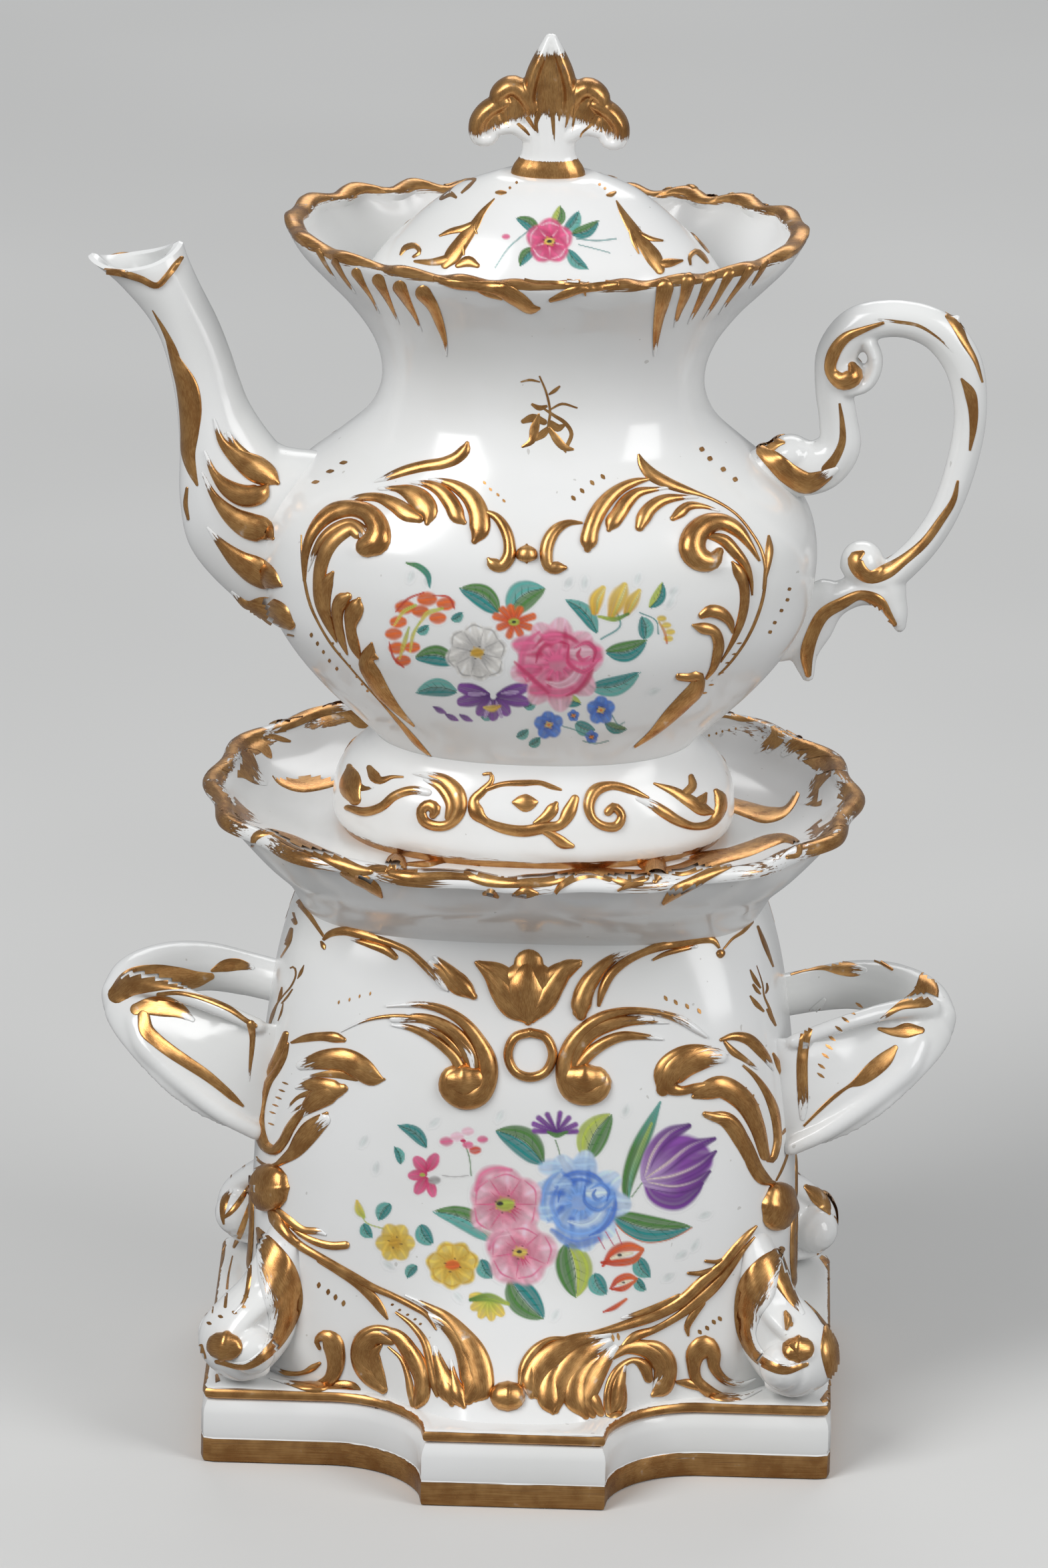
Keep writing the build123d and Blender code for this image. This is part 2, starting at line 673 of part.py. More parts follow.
tube_top = cover_top + 5.0
with BuildPart() as wick_tube:
    with Locations((0, 0, tube_top)):
        Cylinder(wick_tube_radius, wick_tube_length, align=(Align.CENTER, Align.CENTER, Align.MAX))
    with Locations((0, 0, cover_top)):
        Cylinder(wick_tube_radius + 2.0, 0.8, align=(Align.CENTER, Align.CENTER, Align.MIN))
    with Locations((0, 0, tube_top)):
        Cylinder(
            wick_tube_radius - wick_tube_wall, 3 * wick_tube_length, mode=Mode.SUBTRACT
        )
wick_tube.part.label = "wick_tube"
export_step(wick_tube.part, "parts/wick_tube.step")

wick_length = wick_show + wick_tube_length + 6.0
with BuildPart() as wick:
    with Locations((0, 0, tube_top + wick_show)):
        Cylinder(wick_radius, wick_length, align=(Align.CENTER, Align.CENTER, Align.MAX))
    fillet(wick.edges().sort_by(Axis.Z)[-1], radius=0.5 * wick_radius)
wick.part.label = "wick"
export_step(wick.part, "parts/wick.step")
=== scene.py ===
import random
from math import cos, pi, radians, sin, tau

import bmesh
import bpy
import numpy as np
from mathutils import Matrix, Vector
from mathutils.bvhtree import BVHTree


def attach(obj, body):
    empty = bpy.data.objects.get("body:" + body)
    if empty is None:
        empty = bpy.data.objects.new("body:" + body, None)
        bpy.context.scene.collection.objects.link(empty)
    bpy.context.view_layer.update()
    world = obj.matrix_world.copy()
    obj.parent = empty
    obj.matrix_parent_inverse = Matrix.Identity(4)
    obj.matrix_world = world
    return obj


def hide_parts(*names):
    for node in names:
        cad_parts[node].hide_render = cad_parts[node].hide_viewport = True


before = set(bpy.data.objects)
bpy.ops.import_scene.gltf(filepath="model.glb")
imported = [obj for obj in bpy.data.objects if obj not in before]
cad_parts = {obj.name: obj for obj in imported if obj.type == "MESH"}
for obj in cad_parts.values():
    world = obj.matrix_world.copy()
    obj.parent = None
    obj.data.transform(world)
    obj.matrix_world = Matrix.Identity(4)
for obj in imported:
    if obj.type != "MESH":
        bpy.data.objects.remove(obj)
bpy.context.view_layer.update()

# A porcelain tea warmer with raised gilding and painted bouquets. Sizes below are in millimetres
# and are turned into metres when a mesh is made. Front is -Y, the handle is towards +X.
MM = 0.001
ROUND = 288
chance = random.Random(7)

# Levels, the same as the part's
PLINTH_TOP = 18.4
DISH_SEAT = 141.0
BODY_BASE = 164.5
BODY_HEIGHT = 121.5
GALLERY = 268.5
BELLY_LEVEL = 207.025
GRIP_LEVEL = 98.4

# Sizes: half widths run along X and half depths along Y
BODY_HALF_WIDTH = 63.2
BODY_HALF_DEPTH = 44.0
BODY_WALL = 3.5
THROAT_SHARE = 0.70
MOUTH_DIP = 3.2
MOUTH_WAVES = 22
FOOT_HALF_WIDTH = 46.1
FOOT_HALF_DEPTH = 32.6
FOOT_HEIGHT = 23.5
FOOT_WALL = 4.5
LID_HALF_WIDTH = 42.1
LID_HALF_DEPTH = 29.2
LID_HEIGHT = 28.0
DISH_HALF_WIDTH = 75.2
DISH_HALF_DEPTH = 67.6
DISH_LOBES = 16
STAND_HALF_WIDTH = 63.4
STAND_HALF_DEPTH = 47.5
STAND_HEIGHT = 106.6
STAND_WALL = 4.5
DOOR_HALF_WIDTH = 25.0
DOOR_SPRING = PLINTH_TOP + 39.0
PLINTH_HALF_WIDTH = 72.5
PLINTH_HALF_DEPTH = 70.5
COVE_RADIUS = 22.0
CORNER_CENTRE = (64.7, 43.5)

# Camera: where it stands and what it looks at, read off the photo's perspective
PHOTO_WIDTH = 1568
PHOTO_HEIGHT = 2345
PHOTO_FOCAL = 16262.0
CAMERA_FAR = 2500.0
CAMERA_RISE = radians(19.03)
CAMERA_SIDE = radians(0.95)
CAMERA_ROLL = radians(1.31)
CAMERA_AIM = Vector((-2.28, 0.0, 150.7))


def camera_axes():
    """Where the camera stands and its right, up and backward directions."""
    back = Vector((sin(CAMERA_SIDE) * cos(CAMERA_RISE), -cos(CAMERA_SIDE) * cos(CAMERA_RISE),
                   sin(CAMERA_RISE)))
    right = Vector((cos(CAMERA_SIDE), sin(CAMERA_SIDE), 0.0))
    up = back.cross(right)
    turned_right = cos(CAMERA_ROLL) * right + sin(CAMERA_ROLL) * up
    turned_up = -sin(CAMERA_ROLL) * right + cos(CAMERA_ROLL) * up
    return CAMERA_AIM + CAMERA_FAR * back, turned_right, turned_up, back


EYE, EYE_RIGHT, EYE_UP, EYE_BACK = camera_axes()


def photo_ray(x, y):
    """The line of sight through a point of the photo."""
    direction = EYE_RIGHT * (x - PHOTO_WIDTH / 2) - EYE_UP * (y - PHOTO_HEIGHT / 2) - EYE_BACK * PHOTO_FOCAL
    return EYE, direction.normalized()


def left_ray(x, y):
    """A line of sight from the -X side: x runs along -Y and y is the height, both in millimetres."""
    return Vector((-400.0, -x, y)), Vector((1.0, 0.0, 0.0))


# Shape tables: share of the height, shares of half width and half depth, squareness
STAND_SHAPE = [
    (0.00, 1.000, 1.000, 4.0, 17.0), (0.12, 0.998, 1.000, 4.0, 10.2), (0.25, 0.995, 1.000, 3.9, 4.25),
    (0.40, 0.990, 1.000, 3.8, 1.02), (0.55, 0.980, 0.985, 3.7, 0.0), (0.70, 0.955, 0.950, 3.6, 0.0),
    (0.85, 0.915, 0.885, 3.4, 0.0), (0.94, 0.875, 0.825, 3.2, 0.0), (1.00, 0.840, 0.780, 3.0, 0.0),
]
BODY_SHAPE = [
    (0.000, 0.580, 0.620, 2.3), (0.045, 0.670, 0.705, 2.3), (0.103, 0.780, 0.810, 2.4),
    (0.169, 0.886, 0.905, 2.4), (0.243, 0.965, 0.973, 2.5), (0.317, 0.997, 1.000, 2.5),
    (0.383, 1.000, 1.000, 2.5), (0.444, 0.965, 0.968, 2.5), (0.498, 0.883, 0.895, 2.4),
    (0.556, 0.752, 0.791, 2.3), (0.613, 0.636, 0.693, 2.2), (0.671, 0.584, 0.636, 2.2),
    (0.720, 0.582, 0.632, 2.2), (0.778, 0.620, 0.664, 2.2), (0.835, 0.696, 0.727, 2.2),
    (0.893, 0.797, 0.814, 2.2), (0.951, 0.896, 0.909, 2.2), (1.000, 0.950, 0.968, 2.2),
]
FOOT_SHAPE = [
    (0.00, 0.944, 0.939, 2.3), (0.12, 0.989, 0.988, 2.3), (0.34, 1.000, 1.000, 2.3),
    (0.55, 0.978, 0.975, 2.3), (0.75, 0.911, 0.908, 2.3), (0.90, 0.833, 0.850, 2.3),
    (1.00, 0.800, 0.840, 2.3),
]
LID_SHAPE = [
    (0.00, 1.000, 1.000, 2.2), (0.09, 0.995, 0.995, 2.2), (0.16, 0.960, 0.960, 2.2),
    (0.34, 0.874, 0.874, 2.2), (0.54, 0.745, 0.745, 2.2), (0.75, 0.590, 0.590, 2.1),
    (0.89, 0.455, 0.455, 2.0), (1.00, 0.265, 0.270, 2.0),
]


def flowing(knots, values, places):
    """Values between the rows of a table, without kinks."""
    knots = np.asarray(knots, float)
    values = np.asarray(values, float)
    places = np.asarray(places, float)
    slopes = np.gradient(values, knots, axis=0)
    low = np.clip(np.searchsorted(knots, places, side="right") - 1, 0, len(knots) - 2)
    step = (knots[low + 1] - knots[low])[:, None]
    t = (places - knots[low])[:, None] / step
    start = (2 * t**3 - 3 * t**2 + 1) * values[low] + (t**3 - 2 * t**2 + t) * step * slopes[low]
    end = (-2 * t**3 + 3 * t**2) * values[low + 1] + (t**3 - t**2) * step * slopes[low + 1]
    return start + end


def table_rows(shape, base, height, half_width, half_depth, inset, shares):
    """Rows of height, half width, half depth, squareness and the rest, moved inwards by the inset."""
    table = np.asarray(shape, float)
    found = flowing(table[:, 0], table[:, 1:], shares)
    rows = np.column_stack([base + height * np.asarray(shares), found])
    rows[:, 1] = rows[:, 1] * half_width - inset
    rows[:, 2] = rows[:, 2] * half_depth - inset
    return rows


def body_rows(inset, shares):
    return table_rows(BODY_SHAPE, BODY_BASE, BODY_HEIGHT, BODY_HALF_WIDTH, BODY_HALF_DEPTH, inset, shares)


def ring_points(rows, apron_half_width=27.0):
    """A grid of points, one ring for each row. The apron swells the middle of front and back."""
    turn = np.arange(ROUND) * tau / ROUND
    c = np.cos(turn)[None, :]
    s = np.sin(turn)[None, :]
    z, a, b, n = (rows[:, i][:, None] for i in range(4))
    reach = (np.abs(c / a) ** n + np.abs(s / b) ** n) ** (-1 / n)
    x = reach * c
    y = reach * s
    if rows.shape[1] > 4:
        y = y + rows[:, 4][:, None] * s * np.exp(-((x / apron_half_width) ** 4))
    return np.stack([x, y, np.broadcast_to(z, x.shape)], axis=2)


def new_object(name, points, faces, smooth=True, sharp=35.0, closed=False):
    """A mesh object from points in millimetres. Edges that turn more than sharp degrees stay crisp."""
    mesh = bpy.data.meshes.new(name)
    mesh.from_pydata([tuple(p) for p in np.asarray(points, float) * MM], [], faces)
    mesh.update()
    if closed:
        shell = bmesh.new()
        shell.from_mesh(mesh)
        bmesh.ops.recalc_face_normals(shell, faces=shell.faces)
        shell.to_mesh(mesh)
        shell.free()
    if smooth:
        mesh.polygons.foreach_set("use_smooth", [True] * len(mesh.polygons))
        mesh.set_sharp_from_angle(angle=radians(sharp))
    made = bpy.data.objects.new(name, mesh)
    bpy.context.scene.collection.objects.link(made)
    return made


def grid_faces(rows, across, closed_rows=False, closed_across=True, start=0):
    faces = []
    for i in range(rows if closed_rows else rows - 1):
        low = start + i * across
        high = start + ((i + 1) % rows) * across
        for j in range(across if closed_across else across - 1):
            k = (j + 1) % across
            faces.append((low + j, low + k, high + k, high + j))
    return faces


def walled(name, grid, ends="ring"):
    """An object from rings of points: 'ring' joins the last ring to the first, 'cap' closes both ends."""
    rows, across = grid.shape[:2]
    points = grid.reshape(-1, 3)
    faces = grid_faces(rows, across, closed_rows=ends == "ring")
    if ends == "cap":
        points = np.vstack([points, grid[0].mean(0), grid[-1].mean(0)])
        for j in range(across):
            k = (j + 1) % across
            faces.append((len(points) - 2, k, j))
            faces.append((len(points) - 1, (rows - 1) * across + j, (rows - 1) * across + k))
    return new_object(name, points, faces, closed=True)


def shrink_rows(row, factors):
    """Copies of a row drawn towards the middle, for a flat floor."""
    made = np.repeat(row[None, :], len(factors), axis=0)
    made[:, 1] *= factors
    made[:, 2] *= factors
    return made


# Teapot body: outside, rolled rim with scallops at its four corners, gallery, throat and inside
def make_teapot_body():
    outside = body_rows(0.0, np.linspace(0, 0.985, 92))
    top = outside[-1]
    lip = []
    for turn in (30, 65, 100, 135, 165):
        swing = radians(turn)
        lip.append((top[0] + 1.9 * sin(swing), top[1] - 1.75 + 2.35 * cos(swing) - 0.2,
                    top[2] - 1.75 + 2.35 * cos(swing) - 0.2, top[3]))
    inner_shares = np.linspace(0.975, 0.856, 12)
    inside = body_rows(BODY_WALL, inner_shares)
    throat = body_rows(BODY_WALL, [THROAT_SHARE])[0]
    ledge = np.array([throat.copy() for _ in range(4)])
    ledge[:, 0] = [GALLERY, GALLERY - 0.8, GALLERY - 9.0, BODY_BASE + THROAT_SHARE * BODY_HEIGHT]
    ledge[0, 1:3] += 0.8
    cavity = body_rows(BODY_WALL, np.linspace(0.68, 0.033, 44))
    floor = shrink_rows(cavity[-1], [0.9, 0.5, 0.05])
    under = shrink_rows(outside[0], [0.05, 0.5, 0.9])
    rows = np.vstack([under, outside, np.array(lip), inside, ledge, cavity, floor])
    grid = ring_points(rows)
    share = np.clip((grid[:, :, 2] - BODY_BASE) / BODY_HEIGHT, 0, 1)
    turn = np.arange(ROUND) * tau / ROUND
    corner = np.abs(np.sin(2 * turn))[None, :]
    high = np.clip((share - 0.80) / 0.20, 0, 1) ** 1.5
    flute = 1 + 0.021 * high * (0.25 + 0.75 * corner**2) * np.cos(MOUTH_WAVES * turn)[None, :]
    dip = MOUTH_DIP * (1 - (grid[:, :, 0] / BODY_HALF_WIDTH) ** 2) * np.clip((share - 0.86) / 0.14, 0, 1)
    wave = 0.75 * high * (0.35 + 0.65 * corner) * np.cos(MOUTH_WAVES * turn)[None, :]
    grid[:, :, 0] *= flute
    grid[:, :, 1] *= flute
    grid[:, :, 2] += wave - dip
    return walled("teapot_body_skin", grid, "cap")


def make_foot():
    shares = np.linspace(0, 1, 26)
    outside = table_rows(FOOT_SHAPE, DISH_SEAT, FOOT_HEIGHT, FOOT_HALF_WIDTH, FOOT_HALF_DEPTH, 0.0, shares)
    inside = table_rows(FOOT_SHAPE, DISH_SEAT, FOOT_HEIGHT, FOOT_HALF_WIDTH, FOOT_HALF_DEPTH,
                        FOOT_WALL, shares[::-1])
    return walled("teapot_foot_skin", ring_points(np.vstack([outside, inside])), "ring")


def make_dish():
    """A flared basin with a rolled, lobed lip."""
    shape = np.array([
        (125.0, 53.26, 37.05, 3.0, 0.0), (126.5, 54.06, 38.25, 3.0, 0.0), (131.1, 56.9, 45.0, 2.7, 0.0),
        (137.2, 63.0, 54.1, 2.5, 0.1), (143.9, 69.2, 61.2, 2.3, 0.4), (147.6, 72.2, 64.5, 2.2, 0.9),
    ])
    outside = flowing(shape[:, 0], shape[:, 1:], np.linspace(125.0, 147.6, 34))
    outside = np.column_stack([np.linspace(125.0, 147.6, 34), outside])
    lip = []
    for turn in range(-30, 190, 22):
        swing = radians(turn)
        lip.append((149.0 + 1.9 * sin(swing), DISH_HALF_WIDTH - 2.2 + 2.2 * cos(swing),
                    DISH_HALF_DEPTH - 2.2 + 2.2 * cos(swing), 2.2, 1.1))
    basin = np.array([
        (148.6, 69.6, 62.0, 2.2, 0.7), (145.5, 65.6, 57.8, 2.2, 0.3), (143.6, 61.5, 53.6, 2.25, 0.0),
        (142.2, 57.5, 49.5, 2.3, 0.0), (141.2, 53.0, 44.0, 2.3, 0.0), (141.0, 48.5, 37.0, 2.3, 0.0),
        (141.0, 36.0, 30.0, 2.1, 0.0), (141.0, 22.4, 22.4, 2.0, 0.0), (140.6, 22.0, 22.0, 2.0, 0.0),
    ])
    steps = np.linspace(0, 1, 40)
    knots = np.linspace(0, 1, len(basin))
    basin = flowing(knots, basin, steps)
    under = np.array([
        (136.5, 22.0, 22.0, 2.0, 0.0), (136.5, 40.0, 34.0, 2.3, 0.0), (136.4, 57.0, 47.0, 2.5, 0.0),
        (131.0, 51.8, 39.8, 2.7, 0.0), (126.5, 48.0, 32.6, 3.0, 0.0), (119.0, 44.6, 28.4, 3.0, 0.0),
        (119.0, 48.2, 32.0, 3.0, 0.0), (125.0, 48.2, 32.0, 3.0, 0.0),
    ])
    rows = np.vstack([outside, np.array(lip), basin, under])
    grid = ring_points(rows[:, :4])
    turn = np.arange(ROUND) * tau / ROUND
    swell = rows[:, 4][:, None] * np.cos(DISH_LOBES * turn)[None, :]
    reach = np.hypot(grid[:, :, 0], grid[:, :, 1])
    grid[:, :, 0] *= 1 + swell / reach
    grid[:, :, 1] *= 1 + swell / reach
    return walled("dish_skin", grid, "ring")


def applied(made, *modifiers):
    """The object with modifiers worked into its mesh."""
    for kind, settings in modifiers:
        modifier = made.modifiers.new(kind, kind)
        for key, value in settings.items():
            setattr(modifier, key, value)
    bpy.context.view_layer.update()
    graph = bpy.context.evaluated_depsgraph_get()
    mesh = bpy.data.meshes.new_from_object(made.evaluated_get(graph))
    made.modifiers.clear()
    made.data = mesh
    return made


def make_stand():
    """The hollow stand, with the arched door cut through its back wall."""
    shares = np.linspace(0, 1, 84)
    outside = table_rows(STAND_SHAPE, PLINTH_TOP, STAND_HEIGHT, STAND_HALF_WIDTH, STAND_HALF_DEPTH, 0.0,
                         shares)
    inside = table_rows(STAND_SHAPE, PLINTH_TOP, STAND_HEIGHT, STAND_HALF_WIDTH, STAND_HALF_DEPTH,
                        STAND_WALL, shares[::-1])
    stand = walled("stand_body_skin", ring_points(np.vstack([outside, inside])), "ring")
    arch = [(-DOOR_HALF_WIDTH, 10.0), (DOOR_HALF_WIDTH, 10.0)]
    for step in range(49):
        swing = pi * step / 48
        arch.append((DOOR_HALF_WIDTH * cos(swing), DOOR_SPRING + DOOR_HALF_WIDTH * sin(swing)))
    points = [(x, 20.0, z) for x, z in arch] + [(x, 80.0, z) for x, z in arch]
    count = len(arch)
    faces = [tuple(range(count)), tuple(range(2 * count - 1, count - 1, -1))]
    for i in range(count):
        k = (i + 1) % count
        faces.append((i, i + count, k + count, k))
    cutter = new_object("door_cutter", points, faces, smooth=False, closed=True)
    applied(stand, ("BOOLEAN", {"operation": "DIFFERENCE", "solver": "EXACT", "object": cutter}))
    bpy.data.objects.remove(cutter)
    stand.data.polygons.foreach_set("use_smooth", [True] * len(stand.data.polygons))
    stand.data.set_sharp_from_angle(angle=radians(35))
    return stand


def plinth_plan():
    """Points round the plinth with its coves, and the outward direction at each."""
    quarter = [(x, PLINTH_HALF_DEPTH) for x in (0.0, 7.0, 14.0, 21.0)]
    for step in range(3, 18):
        swing = radians(180 + 90 * step / 18)
        quarter.append((43.0 + COVE_RADIUS * cos(swing), PLINTH_HALF_DEPTH + COVE_RADIUS * sin(swing)))
    quarter += [(43.0, 48.5), (55.0, 48.5), (69.5, 48.5), (71.9, 47.9), (PLINTH_HALF_WIDTH, 45.5)]
    quarter += [(PLINTH_HALF_WIDTH, y) for y in (30.0, 15.0, 0.0)]
    right = quarter + [(x, -y) for x, y in quarter[-2::-1]]
    whole = np.array(right + [(-x, y) for x, y in right[-2:0:-1]])
    ahead = np.roll(whole, -1, axis=0) - whole
    behind = whole - np.roll(whole, 1, axis=0)
    ahead /= np.linalg.norm(ahead, axis=1)[:, None]
    behind /= np.linalg.norm(behind, axis=1)[:, None]
    along = ahead + behind
    along /= np.linalg.norm(along, axis=1)[:, None]
    along /= np.sum(along * ahead, axis=1)[:, None]
    outward = np.column_stack([-along[:, 1], along[:, 0]])
    return whole, outward


def make_plinth():
    plan, outward = plinth_plan()
    rows = [(PLINTH_TOP, 2.6, 0.02), (PLINTH_TOP, 2.6, 0.55), (PLINTH_TOP, 2.6, 0.88), (PLINTH_TOP, 2.6,
                                                                                        0.97)]
    for step in range(8):
        swing = radians(90 - 180 * step / 7)
        rows.append((PLINTH_TOP - 1.5 + 1.5 * sin(swing), 1.7 - 1.5 * cos(swing), 1.0))
    rows += [(15.0, 0.9, 1.0), (13.5, 0.25, 1.0), (12.0, 0.0, 1.0), (7.2, 0.0, 1.0), (6.2, 0.2, 1.0)]
    rows += [(5.8, 0.0, 1.0), (1.0, 0.0, 1.0), (0.3, 0.2, 1.0), (0.0, 0.9, 1.0), (0.0, 0.9, 0.89)]
    rows += [(1.0, 0.9, 0.88), (13.4, 0.9, 0.88), (13.4, 0.9, 0.02)]
    grid = []
    for z, inset, scale in rows:
        flat = (plan - outward * inset) * scale
        grid.append(np.column_stack([flat, np.full(len(flat), z)]))
    return walled("plinth_skin", np.array(grid), "cap")


def make_lid():
    dome = table_rows(LID_SHAPE, GALLERY, LID_HEIGHT, LID_HALF_WIDTH, LID_HALF_DEPTH, 0.0,
                      np.linspace(1, 0, 44))
    flange = np.array([
        (GALLERY, 33.0, 23.6, 2.2), (GALLERY - 0.5, 32.7, 23.3, 2.2), (GALLERY - 8.0, 32.7, 23.3, 2.2),
        (GALLERY - 8.5, 32.2, 22.8, 2.2), (GALLERY - 8.5, 30.4, 21.0, 2.2), (GALLERY - 8.0, 29.9, 20.5, 2.2),
        (GALLERY + 2.0, 29.9, 20.5, 2.2), (GALLERY + 10.0, 27.0, 18.0, 2.2), (GALLERY + 18.0, 20.0, 12.0,
                                                                              2.1),
        (GALLERY + 22.0, 12.0, 6.0, 2.0),
    ])
    rows = np.vstack([shrink_rows(dome[0], [0.1, 0.6]), dome, flange, shrink_rows(flange[-1], [0.1])])
    return walled("lid_dome_skin", ring_points(rows), "cap")


# Modelled pieces: balls and bent arms pressed together, then smoothed into one skin
def smooth_path(points, spacing):
    """Evenly spaced rows along a curve through the given rows. The first two or three columns are
    the place, the rest go with it."""
    points = np.asarray(points, float)
    size = 3 if points.shape[1] > 3 else 2
    if points.shape[1] == 3:
        size = 2
    gaps = np.linalg.norm(np.diff(points[:, :size], axis=0), axis=1)
    knots = np.concatenate([[0.0], np.cumsum(np.maximum(gaps, 1e-3) ** 0.75)])
    fine = flowing(knots, points, np.linspace(0, knots[-1], 24 * len(points)))
    run = np.concatenate([[0.0], np.cumsum(np.linalg.norm(np.diff(fine[:, :size], axis=0), axis=1))])
    count = max(3, int(round(run[-1] / spacing)) + 1)
    wanted = np.linspace(0, run[-1], count)
    return np.column_stack([np.interp(wanted, run, fine[:, i]) for i in range(points.shape[1])])


def arm_mesh(points, side, around=20, spacing=1.2):
    """A bent arm. Rows are x, y, z, half breadth square to the side direction, half breadth along it."""
    path = smooth_path(points, spacing)
    middle = path[:, :3]
    travel = np.gradient(middle, axis=0)
    travel /= np.linalg.norm(travel, axis=1)[:, None]
    side = np.asarray(side, float)
    along_side = side[None, :] - travel * (travel @ side)[:, None]
    along_side /= np.linalg.norm(along_side, axis=1)[:, None]
    across = np.cross(travel, along_side)
    turn = np.arange(around) * tau / around
    count = len(path)
    grid = np.zeros((count + 6, around, 3))
    for i in range(count):
        spread = np.cos(turn)[:, None] * across[i] * path[i, 3]
        spread = spread + np.sin(turn)[:, None] * along_side[i] * path[i, 4]
        grid[i + 3] = middle[i] + spread
    for step, swing in enumerate((80, 55, 28)):
        for end, index, sign in ((step, 3, -1), (count + 5 - step, count + 2, 1)):
            size = cos(radians(swing))
            push = sin(radians(swing)) * min(path[0 if sign < 0 else -1, 3:5])
            centre = middle[0 if sign < 0 else -1]
            grid[end] = centre + (grid[index] - centre) * size + sign * travel[0 if sign < 0 else -1] * push
    return grid


def ball_mesh(centre, radii, around=20, rings=12):
    swing = np.linspace(-pi / 2 + 0.05, pi / 2 - 0.05, rings)
    turn = np.arange(around) * tau / around
    grid = np.zeros((rings, around, 3))
    grid[:, :, 0] = np.cos(swing)[:, None] * np.cos(turn)[None, :] * radii[0]
    grid[:, :, 1] = np.cos(swing)[:, None] * np.sin(turn)[None, :] * radii[1]
    grid[:, :, 2] = np.sin(swing)[:, None] * radii[2]
    return grid + np.asarray(centre, float)


def modelled(name, lumps, fineness=0.55, rounds=4):
    """One smooth skin round several lumps of clay."""
    points = []
    faces = []
    for grid in lumps:
        rows, across = grid.shape[:2]
        start = len(points)
        points.extend(grid.reshape(-1, 3))
        faces.extend(grid_faces(rows, across, start=start))
        faces.append(tuple(range(start + across - 1, start - 1, -1)))
        faces.append(tuple(range(start + (rows - 1) * across, start + rows * across)))
    made = new_object(name, points, faces, closed=True)
    applied(made, ("REMESH", {"mode": "VOXEL", "voxel_size": fineness * MM}),
            ("SMOOTH", {"factor": 0.5, "iterations": rounds}))
    made.data.polygons.foreach_set("use_smooth", [True] * len(made.data.polygons))
    return made


def make_handle():
    """The teapot's handle: a leafy root, an S with a volute, a long strap and two curled tails."""
    side = (0.0, 1.0, 0.0)
    lumps = [
        arm_mesh([(51, 0, 227, 6.5, 5.2), (57.5, 0, 228.5, 6.8, 5.2), (63.5, 0, 229.5, 6.2, 4.9),
                  (67.6, 0, 234, 5.0, 4.6), (67.2, 0, 240.5, 4.4, 4.3), (66.0, 0, 248, 4.3, 4.3),
                  (66.6, 0, 256.5, 4.7, 4.4), (71.0, 0, 262.6, 4.6, 4.4), (79.8, 0, 264.7, 4.3, 4.2),
                  (88.6, 0, 262.3, 4.6, 4.2), (94.6, 0, 255.4, 4.5, 4.1), (97.1, 0, 244, 3.8, 3.9),
                  (95.2, 0, 229, 3.5, 3.8), (90.6, 0, 216, 3.3, 3.8), (84.4, 0, 207.4, 3.4, 3.9),
                  (79.2, 0, 203.2, 3.6, 4.0), (74.6, 0, 203.0, 3.6, 4.0), (71.6, 0, 205.8, 3.0, 4.0)], side),
        ball_mesh((68.6, 0, 251.0), (4.6, 5.6, 4.6)),
        arm_mesh([(73.5, 0, 259.5, 1.6, 4.4), (75.2, 0, 254.5, 1.8, 4.5), (73.2, 0, 249.6, 2.0, 4.7),
                  (69.2, 0, 248.0, 2.0, 4.7)], side),
        ball_mesh((73.7, 0, 206.6), (5.0, 5.4, 5.0)),
        ball_mesh((56.6, 0, 232.2), (5.0, 5.6, 4.2)),
        arm_mesh([(80.0, 0, 203.0, 3.8, 3.9), (80.6, 0, 198.2, 3.6, 3.9), (82.2, 0, 194.2, 2.5, 3.4),
                  (82.8, 0, 191.6, 1.5, 2.6)], side),
        arm_mesh([(79.5, 0, 199.5, 3.4, 4.0), (73.0, 0, 199.6, 3.4, 4.2), (67.0, 0, 196.8, 4.0, 4.4),
                  (62.5, 0, 190.5, 5.0, 4.4), (61.2, 0, 184.0, 3.2, 3.6), (62.1, 0, 179.2, 1.6, 2.6)], side),
        arm_mesh([(66.0, 0, 197.5, 5.0, 4.3), (59.5, 0, 192.0, 7.5, 4.6), (54.0, 0, 188.5, 7.0, 4.8)], side),
        arm_mesh([(91.5, 0, 262.5, 2.4, 2.6), (93.4, 0, 265.2, 0.9, 1.0)], side),
    ]
    return modelled("teapot_handle_skin", lumps)


